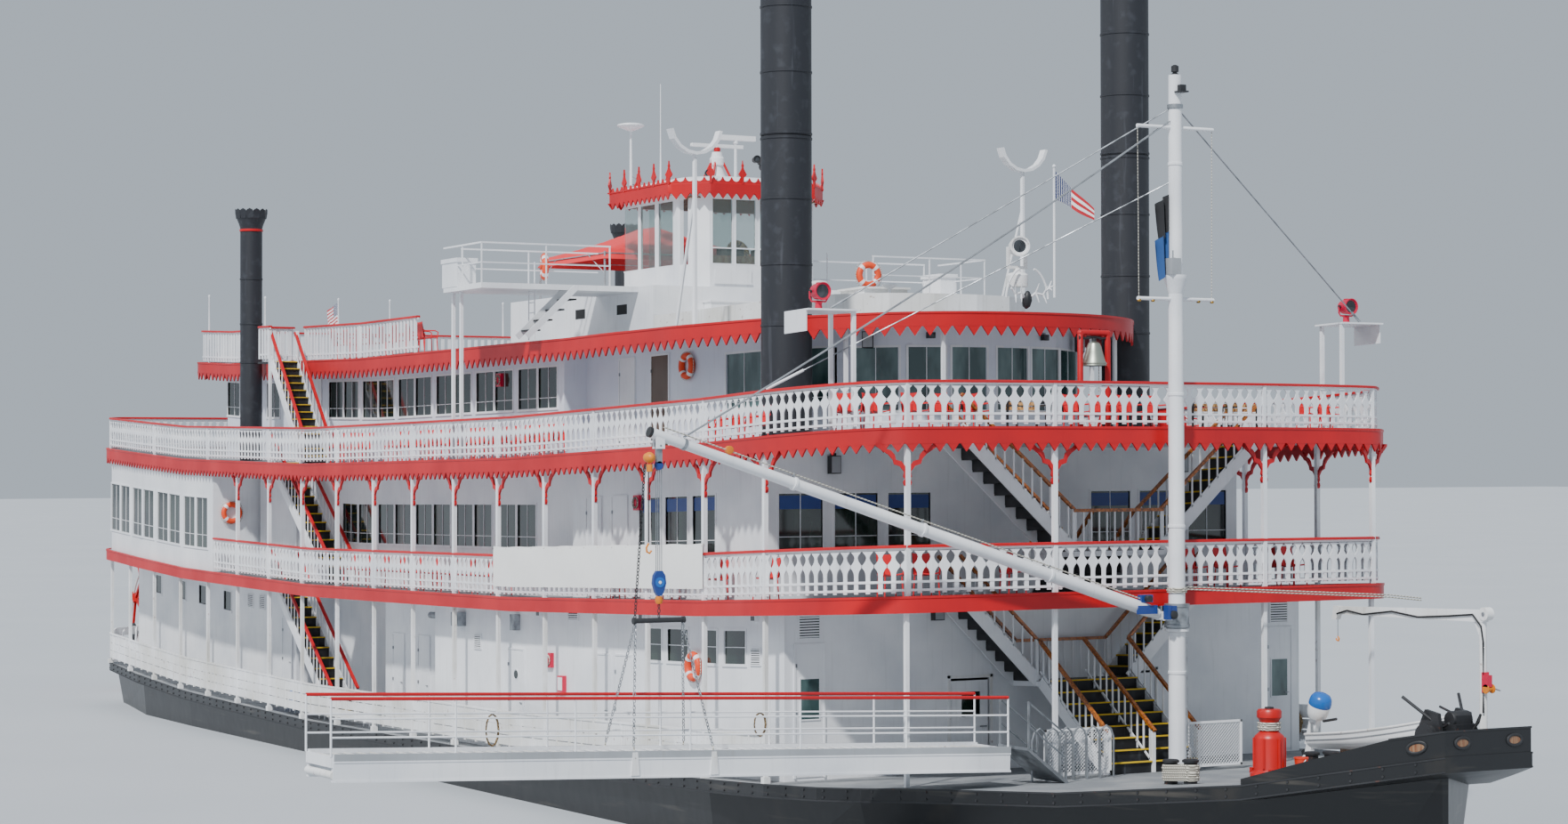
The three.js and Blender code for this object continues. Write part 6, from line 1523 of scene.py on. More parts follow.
        ropes = [tube(top + (tip - top) * t + sag + (d, 0, 0), 1.3, "galvanised", 7) for d in (-3, 3)]
        lift_rope = piece("boom_lift", ropes, body=None, sweep=False)
        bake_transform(lift_rope)
        y, block, low = -1238, 775, 690
        tackle = [
            boxes([[x - 4, x + 4, y - 6, y + 6, 992, 1031]], "galvanised"),
            turned([(0, -4), (8, -4), (9.5, 0), (8, 4), (0, 4)], "hook_blue", (x, y, 988), (1, 0, 0), 24),
            rods([[x, y + d, 988] for d in (-6, -2, 2, 6)], [[x, y + d, block + 4] for d in (-6, -2, 2, 6)], 0.9,
                 "galvanised"),
            stamps(closed([[4, -26], [9, -19], [14, -2], [12, 13], [6, 22]]), 9, [[x, y, block - 12]], (0, 1, 0),
                   (0, 0, 1), "hook_blue"),
            turned([(0, -5.4), (10, -5.4), (10, 5.4), (0, 5.4)], "gel_blue", (x, y, block - 12), (1, 0, 0), 26),
            turned([(0, -6.4), (3, -6.4), (3, 6.4), (0, 6.4)], "white_plastic", (x, y, block - 12), (1, 0, 0), 16),
            turned([(0, -8), (6, -7), (8, 0), (6, 7), (0, 8)], "orange_paint", (x, y, block - 46), sides=18),
            *chain((x, y, block - 53), (x, y, low + 4), 9, "iron_black"),
            tube([[x, y - 55, low], [x, y + 55, low]], 5, "iron_black", 18, (0, 0, 1)),
            *[turned([(6.4, -3), (6.4, 3)], "iron_black", (x, y + d, low), (0, 1, 0), 18) for d in (-53, 53)],
            turned([(0, -12), (9, -10), (11, 0), (8, 9), (4, 13), (0, 14)], "orange_paint", (x, y - 20, 1003),
                   (1, 0, 0), 20),
            turned([(0, 0), (6, 0), (6, 14), (0, 14)], "orange_paint", (x, y - 20, 976), sides=16),
            rods([[x, y - 22, 990]], [[x, y - 22, 840]], 1.3, "iron_black"),
            *chain((x, y - 30, 990), (x, y - 52, low + 4), 8, "iron_black"),
            tube([[x, y - 22, 838], [x, y - 27, 830], [x, y - 26, 822], [x, y - 20, 819], [x, y - 16, 824]], 2,
                 "orange_paint", 8, (1, 0, 0)),
        ]
        for end in (-1, 1):
            for side in (-1, 1):
                far = y + end * 85
                tackle += chain((x, y + end * 51, low - 3), (x + side * 60, far, stage_z(far) + 8), 8, "galvanised")
        piece("tackle_dressed", tackle, body="stage", sweep=False, replaced=["tackle"])
        return {"FINISHED"}


class BOAT_OT_landing_stage(bpy.types.Operator):
    """The landing stage: white side plates with a grey band, a cleated deck, and rails under red handrails"""

    bl_idname = "boat.landing_stage"
    bl_label = "Landing stage"

    def execute(self, context):
        x, half, near, far = MAST["x"], 65, -470, -1936
        z = np.array([stage_z(near), stage_z(far)])
        parts = []
        for s in (-1, 1):
            side = x + s * (half - 4)
            parts.append(bars([[side, near, z[0] - 25]], [[side, far + 6, z[1] - 25]], 8, 50, "white_enamel"))
            for above, deep, finish in ((-6, 13, "grey_box"), (-49, 4, "white_enamel"), (-14, 3, "white_enamel")):
                face = side + s * 4.4
                parts.append(bars([[face, near + 1, z[0] + above]], [[face, far + 8, z[1] + above]], 1.6, deep, finish))
            rail_x = x + s * (half - 3)
            inner_y, outer_y = near - 3, far + 3
            for above, radius, finish in ((100, 3.3, "red_enamel"), (64, 1.8, "white_enamel"),
                                          (30, 1.8, "white_enamel")):
                path = [[rail_x, inner_y, stage_z(inner_y) + above], [rail_x, -900, stage_z(-900) + above],
                        [rail_x, -1400, stage_z(-1400) + above], [rail_x, outer_y, stage_z(outer_y) + above]]
                parts.append(tube(path, radius, finish, 12))
            posts = inner_y + (outer_y - inner_y) * np.arange(7) / 6
            foot = np.column_stack([np.full(7, rail_x), posts, stage_z(posts) - 4])
            parts.append(rods(foot, foot + (0, 0, 104), 2.1, "white_enamel", 10))
            plates = [[side + s * 5.2, y, stage_z(y) - 22] for y in (-1323, -1153)]
            parts.append(stamps([[-9, -24], [9, -24], [5, 20], [-5, 20]], 3, plates, (0, 1, 0), (0, 0, 1),
                                "white_worn"))
            parts.append(rods([[side + s * 6, y, stage_z(y) - 14] for y in (-1323, -1153)],
                              [[x + s * 60, y, stage_z(y) + 8] for y in (-1323, -1153)], 1.6, "white_rope"))
        parts.append(bars([[x, near, z[0] - 9.5]], [[x, far + 4, z[1] - 9.5]], 2 * half - 14, 4, "roof_paint"))
        cleats = np.arange(near - 14, far + 20, -26.0)
        left, right = (np.column_stack([np.full(len(cleats), x + s * (half - 10)), cleats, stage_z(cleats) - 6.5])
                       for s in (-1, 1))
        parts.append(bars(left, right, 3.5, 2.4, "white_worn"))
        ribs = np.arange(near - 40, far + 20, -110.0)
        left, right = (np.column_stack([np.full(len(ribs), x + s * (half - 8)), ribs, stage_z(ribs) - 30])
                       for s in (-1, 1))
        parts.append(bars(left, right, 5, 34, "white_enamel"))
        parts.append(tube([[x - half + 0.5, far + 8, z[1] - 38], [x + half - 0.5, far + 8, z[1] - 38]], 7.5,
                          "white_worn", 18))
        parts.append(bars([[x - half + 2, near - 3, z[0] - 26]], [[x + half - 2, near - 3, z[0] - 26]], 5, 46,
                          "white_enamel"))
        parts.append(bars([[x - half + 2, far + 6, z[1] - 14]], [[x + half - 2, far + 6, z[1] - 14]], 6, 20,
                          "white_enamel"))
        for yc, long in ((-1560, 60), (-980, 46)):
            coil = np.arange(60) * 2 * math.pi / 12
            high = stage_z(yc) + 62
            hank = np.column_stack([x - half + 1.5 + 1.5 * np.cos(coil * 0.5), yc + 13 * np.cos(coil),
                                    high - long / 2 + long / 2 * np.sin(coil)])
            parts.append(tube(hank, 1.5, "tan_rope", 5, (1, 0, 0)))
        piece("landing_stage_dressed", parts, body="stage", sweep=False, replaced=["landing_stage"])
        ramp_deck = MAIN_DECK + float(lift(x + 55, MAIN_DECK)) + 0.3
        rungs = np.linspace(0.06, 0.96, 12)
        treads = np.column_stack([np.full(12, x - 54), -320 - 100 * rungs,
                                  ramp_deck + 4 + (410 - ramp_deck - 4) * rungs])
        piece("ramp_cleats", [bars(treads, treads + (108, 0, 0), 2, 2, "galvanised")], sweep=False)
        return {"FINISHED"}


# Gear of the foredeck, the hull's guard and the wheel


MAIN_HALF = np.vstack([
    [[-3120, 560], [-3060, 660], [-2900, 712], [-2500, 745], [-1700, 760], [1500, 760], [1790, 758], [1970, 732],
     [2080, 690], [2140, 646]],
    [[x, 107 + 653 * (1 - ((x - 1500) / 1690) ** 1.7)] for x in (2180, 2500, 2700, 2850, 3000, 3100, 3190)],
])
CAPSTAN_PLACE = {"x": 2620, "y": -60}
SKIFF = {"x": 2480, "y": 205, "z": 384, "length": 405, "tilt": 7}
DAVIT = {"x": 2940, "y": 215, "top": 700, "reach": 440}


def tipped(parts, pivot, degrees):
    """The parts turned bow up about a line across the boat: x' = x cos a - z sin a, z' = x sin a + z cos a."""
    a = math.radians(degrees)
    turn = np.array([[math.cos(a), 0, -math.sin(a)], [0, 1, 0], [math.sin(a), 0, math.cos(a)]])
    pivot = np.asarray(pivot, float)
    return [Part((part.points - pivot) @ turn.T + pivot, part.faces, part.finish) for part in parts]


def skiff_parts():
    """An open boat: at each station half width w, bottom and rim; a point at angle a across it lies at
    y = w sin a and z = rim - depth * cos a ^ 0.45, outside, and 3.5 mm further in, inside."""
    x, y, z = SKIFF["x"], SKIFF["y"], SKIFF["z"]
    frames = faired([[0, 56, 8, 42], [142, 62, 2, 40], [263, 55, 2, 44], [356, 28, 10, 52], [405, 3, 24, 59]], 12, 100)
    a = np.radians(np.linspace(-90, 90, 19))
    cos, sin = np.maximum(np.cos(a), 0) ** 0.45, np.sin(a)
    cos[[0, -1]] = 0
    long, wide, low, rim = (frames[:, k][:, None] for k in range(4))
    outer = np.stack([x + long + 0 * a, y + wide * sin, z + rim - (rim - low) * cos], axis=-1)
    less = np.maximum(wide - 3.5, 0.5)
    inner = np.stack([x + long + 0 * a, y + less * sin, z + rim - np.maximum(rim - low - 4, 1) * cos], axis=-1)
    shell = skin(np.concatenate([outer, inner[:, ::-1]], axis=1), "gel_white")
    stern = np.concatenate([outer[0], outer[0] + (4, 0, 0)])
    count = outer.shape[1]
    k = np.arange(count)
    walls = np.stack([k, (k + 1) % count, (k + 1) % count + count, k + count], axis=-1)
    transom = Part(stern, [walls, np.stack([k, k + count])], "gel_white")
    rims = [tube(np.column_stack([x + frames[:, 0], y + s * (frames[:, 1] + 0.5), z + frames[:, 3]]), 2.4, "white_worn",
                 8) for s in (-1, 1)]
    seats = boxes([[x + 120, x + 150, y - 57, y + 57, z + 27, z + 30],
                   [x + 240, x + 268, y - 52, y + 52, z + 30, z + 33],
                   [x + 6, x + 40, y - 52, y + 52, z + 26, z + 29]],
                  "bench_wood")
    ribs = [tube(np.column_stack([np.full(15, x + at), y + (w - 5) * np.sin(b),
                                  z + r - (r - lo - 6) * np.cos(b) ** 0.45]), 1.4, "white_worn", 5, (1, 0, 0))
            for at, w, lo, r in ((80, 60, 4, 41), (190, 60, 2, 41), (310, 42, 6, 48))
            for b in [np.radians(np.linspace(-84, 84, 15))]]
    strake = [tube(np.column_stack([x + frames[:-2, 0], y + s * (frames[:-2, 1] * 0.985 + 1), z + frames[:-2, 3] - 12]),
                   1.5, "grey_box", 6) for s in (-1, 1)]
    lashing = tube([[x + 200, y - 62, z + 42], [x + 206, y - 30, z + 44.5], [x + 210, y + 20, z + 44],
                    [x + 212, y + 61, z + 43]], 1.2, "black_rubber", 6)
    return tipped([shell, transom, *rims, seats, *ribs, *strake, lashing], (x, y, z), SKIFF["tilt"])


def outboard_parts():
    x, y, z = SKIFF["x"], SKIFF["y"], SKIFF["z"]
    foot, head = np.array([x - 34, y, z + 76.0]), np.array([x - 16, y, z + 120.0])
    axis = unit(head - foot)
    low = np.array([x - 62, y, z - 12.0])
    return [
        turned([(14, -6), (18, -4), (21, 2), (23, 10), (23.6, 22), (22.8, 26)], "gel_white", foot, axis, 30),
        turned([(23.4, 24), (24, 26), (24, 32), (22.5, 40), (18, 47), (9, 51), (0, 52)], "gel_blue", foot, axis, 30),
        bars([foot - axis * 4], [low + (3, 0, 8)], 11, 17, "gel_white"),
        bars([foot + (-14, 0, -6)], [low + (-4, 0, 26)], 8, 9, "gel_white"),
        turned([(0, -20), (4, -17), (6.5, -8), (6.5, 8), (4, 18), (0, 20)], "gel_white", low + (0, 0, 2),
               (0.94, 0, 0.34), 20),
        stamps([[-12, -4], [12, -4], [6, -22], [-6, -22]], 2, [low + (0, 0, 4)], (0.94, 0, 0.34), (-0.34, 0, 0.94),
               "gel_white"),
        *[stamps([[-2, 3], [2, 3], [6, 15], [0, 18], [-5, 14]], 1.2, [low + (-17, 0, -4)],
                 (0, math.cos(t), math.sin(t)), (0, -math.sin(t), math.cos(t)), "iron_black") for t in (0, 2.09, 4.19)],
        boxes([[x - 44, x - 6, y - 11, y - 7, z + 22, z + 40], [x - 44, x - 6, y + 7, y + 11, z + 22, z + 40],
               [x - 14, x - 6, y - 11, y + 11, z + 22, z + 40],
               [x - 44, x - 36, y - 9, y + 9, z + 26, z + 60]], "aluminium"),
        rods([[x - 12, y, z + 66]], [[x + 36, y - 6, z + 74]], 3, "iron_black", 10),
        rods([[x - 25, y - 12, z + 31]], [[x - 25, y + 12, z + 31]], 2, "galvanised"),
    ]


def windlass_parts():
    foot = MAIN_DECK + float(lift(3070, MAIN_DECK))
    cheek = [[-33, 0], [33, 0], [33, 30], [22, 84], [-14, 90], [-30, 60]]
    angle = np.arange(32) * math.pi / 16
    gear = np.column_stack([(24 + 3 * (np.arange(32) % 2)) * np.cos(angle),
                            (24 + 3 * (np.arange(32) % 2)) * np.sin(angle)])
    chain_angle = np.arange(30) * math.pi / 15
    wraps = [tube(np.column_stack([3075 + 26.5 * np.cos(chain_angle), np.full(30, d),
                                   foot + 50 + 26.5 * np.sin(chain_angle)]), 2.6, "iron_black", 6, (0, 1, 0), loop=True)
             for d in np.arange(-26, 27, 6.5)]
    return [
        boxes([[3020, 3130, -60, 60, foot - 3, foot + 10], [3024, 3126, -56, 56, foot + 10, foot + 14]], "iron_black"),
        stamps(cheek, 8, [[3075, s * 38, foot + 11] for s in (-1, 1)], (1, 0, 0), (0, 0, 1), "iron_black"),
        turned([(25, -58), (25, -54), (15, -52), (15, -44), (22, -42), (22, 42), (15, 44), (15, 52), (25, 54),
                (25, 58)], "iron_black", (3075, 0, foot + 50), (0, 1, 0), 36),
        stamps(gear, 6, [[3075, 47, foot + 50]], (1, 0, 0), (0, 0, 1), "iron_black"),
        *wraps,
        boxes([[3086, 3128, -25, 25, foot + 22, foot + 76], [3092, 3122, -18, 18, foot + 76, foot + 92]], "iron_black"),
        turned([(14, 0), (16, 3), (16, 44), (12, 48), (0, 50)], "iron_black", (3106, -22, foot + 84), (0, 1, 0), 24),
        rods([[3080, s * 38, foot + 80] for s in (-1, 1)], [[3030, s * 70, foot + 124] for s in (-1, 1)], 3,
             "iron_black", 10),
        rods([[3084, 20, foot + 88], [3100, -30, foot + 70]], [[3018, 34, foot + 100], [3150, -62, foot + 82]], 2.4,
             "iron_black", 10),
        tube([[3124, 16, foot + 60], [3136, 24, foot + 80], [3130, 34, foot + 92], [3110, 40, foot + 70],
              [3106, 46, foot + 30]], 2.6, "black_rubber", 8, (0, 1, 0)),
        *[turned([(4, -1), (4, 3), (0, 4)], "iron_black", (px, py, foot + 14), sides=6) for px in (3028, 3122)
          for py in (-52, -20, 20, 52)],
    ]


class BOAT_OT_foredeck(bpy.types.Operator):
    """Capstan, bollards' ropes, windlass, skiff with its outboard, davit, gates and bucket"""

    bl_idname = "boat.foredeck"
    bl_label = "Foredeck gear"

    def execute(self, context):
        x, y = CAPSTAN_PLACE["x"], CAPSTAN_PLACE["y"]
        foot = MAIN_DECK + float(lift(x + 39, MAIN_DECK)) + 0.3
        angle = np.arange(6) * math.pi / 3
        ribs = np.column_stack([x + 31.5 * np.cos(angle), y + 31.5 * np.sin(angle)])
        capstan = [
            turned([(0, 0), (39, 0), (39, 8), (37, 11), (33, 13), (31, 18), (31, 78), (29, 84), (22, 90), (18.6, 94),
                    (18.6, 112), (22, 118), (24.8, 121), (24.8, 133), (22, 137), (14, 138), (0, 138)], "capstan_red",
                   (x, y, foot), sides=56),
            bars(np.column_stack([ribs, np.full(6, foot + 20)]), np.column_stack([ribs, np.full(6, foot + 80)]), 6, 4,
                 "capstan_red", up=(0.6, 0.8, 0)),
            turned([(9, 0), (9, 4), (0, 5)], "iron_black", (x, y, foot + 137.5), sides=20),
            boxes([[x + dx - 5, x + dx + 5, y + dy - 5, y + dy + 5, foot + 8, foot + 19] for dx, dy in
                   ((30, 18), (-30, 18), (30, -18), (-30, -18))], "capstan_red"),
            *windings([[x, y, foot + 97]], 18.6, 4, 2.2),
        ]
        piece("capstan_dressed", capstan, body="capstan", sweep=False, replaced=["capstan"])
        def deck(at):
            return MAIN_DECK + float(lift(at, MAIN_DECK))

        on_bitts = [[bx, by, deck(bx) + 9] for bx, by in BITTS]
        ropes = windings(on_bitts[:2], 13, 7, 2.5) + windings(on_bitts[2:], 13, 4, 2.5)
        caps = [turned([(13, 0), (17, 1), (17, 5), (14, 7), (0, 8)], "iron_black", (bx, by, deck(bx) + 43), sides=28)
                for bx, by in BITTS]
        caps += [turned([(13.6, 0), (13.4, 44)], "iron_black", (bx, by, deck(bx) + 0.5), sides=28)
                 for bx, by in BITTS]
        bucket_foot = deck(2652) + 0.8
        bucket = [turned([(0, 0), (10.5, 0), (11, 1), (14, 38), (15, 38), (15, 41), (12.8, 41), (10, 3), (0, 3)],
                         "bucket_red", (2652, -5, bucket_foot), sides=32),
                  tube([[2652 + 14.5 * math.cos(a), -5 - 8 * math.sin(a), bucket_foot + 37 - 10 * math.sin(a)]
                        for a in np.linspace(0, math.pi, 14)], 0.9, "galvanised", 6)]
        planks = boxes([[2560 + 9 * k, 2568 + 9 * k, 60, 92, deck(2640) + 1 + 3 * k, deck(2640) + 7 + 3 * k]
                        for k in range(3)], "panel_wood")
        piece("foredeck_gear", [*ropes, *caps, *bucket, planks], sweep=False)
        piece("windlass_dressed", windlass_parts(), sweep=False, replaced=["windlass"])
        at = SKIFF["x"] + 0.2 * SKIFF["length"], SKIFF["x"] + 0.62 * SKIFF["length"]
        chocks = boxes([[c, c + 8, 171, 239, deck(c + 8) + 0.3, 392 + (c - SKIFF["x"]) * 0.1228] for c in at],
                       "panel_wood")
        piece("skiff_dressed", [*skiff_parts(), chocks], sweep=False, replaced=["skiff"])
        piece("outboard_dressed", outboard_parts(), sweep=False, replaced=["outboard"])
        x, y, top, reach = DAVIT["x"], DAVIT["y"], DAVIT["top"], DAVIT["reach"]
        foot = MAIN_DECK + 40 + float(lift(x + 11, MAIN_DECK)) + 0.3
        far = x - reach
        arm = np.array([[x + 8, y - 7, top - 22], [x + 8, y - 7, top + 2], [x + 8, y + 7, top - 22],
                        [x + 8, y + 7, top + 2], [far, y - 5, top - 25], [far, y - 5, top - 9], [far, y + 5, top - 25],
                        [far, y + 5, top - 9]], float)
        davit = [
            turned([(8.5, 0), (8, 4), (7.4, 200), (7, top - 6 - foot)], "white_worn", (x, y, foot), sides=28),
            hexahedra(arm[None], "white_worn"),
            turned([(0, -8.5), (13, -8.5), (13, 8.5), (0, 8.5)], "white_worn", (x + 10, y, top - 6), (0, 1, 0), 28),
            turned([(0, -10), (4, -10), (4, 10), (0, 10)], "galvanised", (x + 10, y, top - 6), (0, 1, 0), 14),
            stamps([[-14, -26], [0, -26], [14, 0], [8, 2], [-8, 2]], 12, [[far + 4, y, top - 10]], (1, 0, 0), (0, 0, 1),
                   "white_worn"),
            stamps([[-16, 0], [0, 0], [0, -30]], 8, [[x - 5, y, top - 22]], (1, 0, 0), (0, 0, 1), "white_worn"),
            tube([[x + 8.5, y - 8, foot + 60], [x + 9, y - 8, top - 60], [x + 4, y - 9, top - 30],
                  [x - 20, y - 9, top - 8], [x - 90, y - 8.5, top - 14], [x - 180, y - 8, top - 20],
                  [x - 260, y - 8, top - 12], [x - 350, y - 7, top - 22], [far + 40, y - 7, top - 16],
                  [far + 8, y - 7, top - 24]], 1.8, "black_rubber", 8),
            rods([[far + 3, y, top - 33]], [[far + 3, y, top - 74]], 0.9, "galvanised"),
            tube([[far + 3, y, top - 72], [far + 7, y, top - 76], [far + 5, y, top - 81], [far, y, top - 80],
                  [far - 2, y, top - 76]], 1.6, "orange_paint", 8, (0, 1, 0)),
            boxes([[x + 7, x + 22, y - 9, y + 3, 552, 575], [x + 4, x + 8, y - 8, y + 8, 540, 580]], "light_red"),
            turned([(9, -9), (9, -7), (5, -6), (5, 6), (9, 7), (9, 9)], "orange_paint", (x + 16, y, 548), (0, 1, 0),
                   24),
            rods([[x + 16, y + 9, 548], [x + 16, y + 13, 548]], [[x + 16, y + 13, 548], [x + 34, y + 13, 545]], 1.4,
                 "galvanised"),
        ]
        piece("davit_dressed", davit, body="davit", sweep=False, replaced=["davit_crane"])
        gates = []
        for y0, y1 in ((-312, -142), (14, 205)):
            gates.append(boxes([[2190, 2195, y0, y1, z - 2.5, z + 2.5] for z in (353.5, 261)]
                               + [[2190, 2195, y - 2.5, y + 2.5, 258.5, 356] for y in (y0 + 2.5, y1 - 2.5)],
                               "white_enamel"))
            rise = y0 + np.arange(-90, y1 - y0, 7.5)
            for turn in (1, -1):
                low = np.clip(np.column_stack([rise, rise + 90]), y0 + 3, y1 - 3)
                share = (low - rise[:, None]) / 90
                z = 261 + 92 * share if turn > 0 else 353 - 92 * share
                keep = low[:, 1] - low[:, 0] > 2
                gates.append(bars(np.column_stack([np.full(keep.sum(), 2192.5 + turn), low[keep, 0], z[keep, 0]]),
                                  np.column_stack([np.full(keep.sum(), 2192.5 + turn), low[keep, 1], z[keep, 1]]), 1, 1,
                                  "white_enamel", up=(1, 0, 0)))
        piece("gates_dressed", gates, replaced=["gangway_gates"])
        hoops = []
        for yc in (-352, -318, -284, -250, -216, -182):
            hoops.append(tube([[2206, yc, 251], [2206, yc, 334], [2208, yc + 5, 352], [2212, yc + 15, 360],
                               [2214, yc + 25, 352], [2216, yc + 30, 334], [2216, yc + 30, 251]],
                              2.2, "galvanised", 8, (1, 0, 0)))
        piece("gangway_hoops", hoops)
        return {"FINISHED"}


class BOAT_OT_hull_trim(bpy.types.Operator):
    """Bolts, seams and fairleads of the guard, and the bearings, bolts and hoops at the wheel"""

    bl_idname = "boat.hull_trim"
    bl_label = "Hull trim"

    def execute(self, context):
        guard = port_half(round_the_bow(MAIN_HALF))[1:-1]
        line = stepped(guard, 40)
        feet, ahead = along(guard, np.arange(30, length_of(guard), 62.0))
        outward = np.column_stack([-ahead[:, 1], ahead[:, 0], np.zeros(len(ahead))])
        bolts = []
        for z in (229, 243):
            spots = upright(feet, z)
            bolts.append(rods(spots - outward, spots + outward * 2.2, 2.6, "iron_black", 6))
        seams = [moulding(upright(line, z), [(-1, 0), (-1, 3), (1.3, 3), (1.3, 0)], "iron_black")
                 for z in (246.5, 220.5)]
        parts = mirrored([*bolts, *seams])
        angle = np.arange(24) * math.pi / 12
        for cx, cy, heading in ((3146, -137, -52), (3146, 137, 52), (3190, -64, 0), (3190, 64, 0)):
            turn = math.radians(heading)
            out = np.array([math.cos(turn), math.sin(turn), 0])
            side = np.array([-math.sin(turn), math.cos(turn), 0])
            centre = np.array([cx, cy, 274.0]) - out * 1.5
            ring = centre + 17 * np.cos(angle)[:, None] * side + 10 * np.sin(angle)[:, None] * (0, 0, 1)
            parts.append(tube(ring, 3.2, "iron_black", 10, out, loop=True))
            parts.append(stamps(np.column_stack([15 * np.cos(angle), 8 * np.sin(angle)]), 1.5, [centre + out * 0.2],
                                side, (0, 0, 1), "panel_wood"))
        cap = stepped(round_the_bow(MAIN_HALF[MAIN_HALF[:, 0] >= 3099]), 20)
        parts.append(moulding(upright(offset(cap, 5), 296.5), [(-6, -2), (-6, 1.5), (4.5, 1.5), (4.5, -2)],
                              "iron_black"))
        piece("guard_trim", parts)
        x, z = WHEEL["x"], WHEEL["z"]
        fittings = []
        for s in (-1, 1):
            fittings += [
                turned([(36, 0), (36, 4), (26, 6), (26, 9), (16, 10)], "iron_black", (x, s * 448.5, z), (0, s, 0), 32),
                *[turned([(4, 0), (4, 5), (0, 6)], "galvanised", (x + dx, s * 448, z + dz), (0, s, 0), 6)
                  for dx in (-26, 26) for dz in (-24, 24)],
                boxes([[-3500, -3050.5, s * 433 - 18, s * 433 + 18, 198, 201],
                       [-3500, -3050.5, s * 433 - 18, s * 433 + 18, 271, 274]], "white_worn"),
                bars([[-3480, s * 433, 274]], [[-3125, s * 433, 600]], 6, 6, "white_worn"),
            ]
        piece("wheel_fittings", fittings, sweep=False)
        wheel = []
        arms = np.arange(12) * math.pi / 6
        for y in np.linspace(-378, 378, 5):
            for radius in (262, 120):
                loop = np.column_stack([x + radius * np.cos(np.arange(48) * math.pi / 24), np.full(48, y),
                                        z + radius * np.sin(np.arange(48) * math.pi / 24)])
                wheel.append(tube(loop, 3.2, "white_worn", 6, (0, 1, 0), loop=True))
        for y in np.linspace(-378, 378, 5):
            spots = np.column_stack([x + 250 * np.cos(arms), np.full(12, y + 5), z + 250 * np.sin(arms)])
            wheel.append(rods(spots, spots + (0, 3, 0), 3, "galvanised"))
        piece("wheel_rims", wheel, body="wheel", sweep=False)
        hoops = [tube([[x0, s * y0, 250.5], [x0, s * y0, 330], [x0 + 6, s * y0, 346], [x0 + 20, s * y0, 352],
                       [x0 + 60, s * (y0 + 16), 352], [x0 + 74, s * (y0 + 22), 346], [x0 + 80, s * (y0 + 24), 330],
                       [x0 + 80, s * (y0 + 24), 250.5]], 2.6, "white_enamel", 10, (0, 1, 0))
                 for s in (-1, 1) for x0, y0 in ((-3090, 560), (-2985, 640))]
        piece("stern_hoops", hoops)
        return {"FINISHED"}


# Seats, wall fittings, searchlights and bell


def chair(finish, arms=True):
    """A stacking chair facing -Y: curved seat and back of tube and shell, four splayed legs."""
    t = np.linspace(0, 1, 12)
    side = np.stack([0 * t, -22 + 44 * np.minimum(t * 2, 1) + 5 * np.maximum(t * 2 - 1, 0),
                     44 + 1.5 * np.cos(t * 6) + 42 * np.maximum(t * 2 - 1, 0)], axis=-1)
    shell = np.concatenate([side, side[::-1] + (0, 0.5, 2.4)])
    wide = np.linspace(-21, 21, 7)
    grid = np.stack([shell + (x, 0, 2.5 * (x / 21) ** 2) for x in wide])
    parts = [skin(grid, finish)]
    parts.append(rods([[x, y, 44] for x in (-19, 19) for y in (-18, 18)],
                      [[x * 1.12, y * 1.15, 0] for x in (-19, 19) for y in (-18, 18)], 1.6, finish))
    if arms:
        for x in (-22, 22):
            parts.append(tube([[x, -18, 44], [x * 1.04, -20, 62], [x * 1.04, -12, 66], [x * 1.02, 20, 66],
                               [x * 0.95, 25, 70]], 1.8, finish, 6, (1, 0, 0)))
    return parts


def bench(long):
    """A slatted wooden bench facing -Y on iron ends."""
    half = long / 2
    rows = [[-half, half, y, y + 9, 43, 45.5] for y in (-20, -9, 2, 13)]
    rows += [[-half, half, 22 + k * 2, 24.5 + k * 2, 52 + 11 * k, 60 + 11 * k] for k in range(3)]
    ends = [[x - 2, x + 2, y, y + 3.5, 0, z] for x in (-half + 8, half - 8) for y, z in ((-18, 43), (18, 84))]
    ends += [[x - 2, x + 2, -18, 20, 40, 43] for x in (-half + 8, half - 8)]
    ends += [[x - 2, x + 2, -20, 20, 60, 63] for x in (-half + 8, half - 8)]
    return [boxes(rows, "bench_wood"), boxes(ends, "iron_black")]


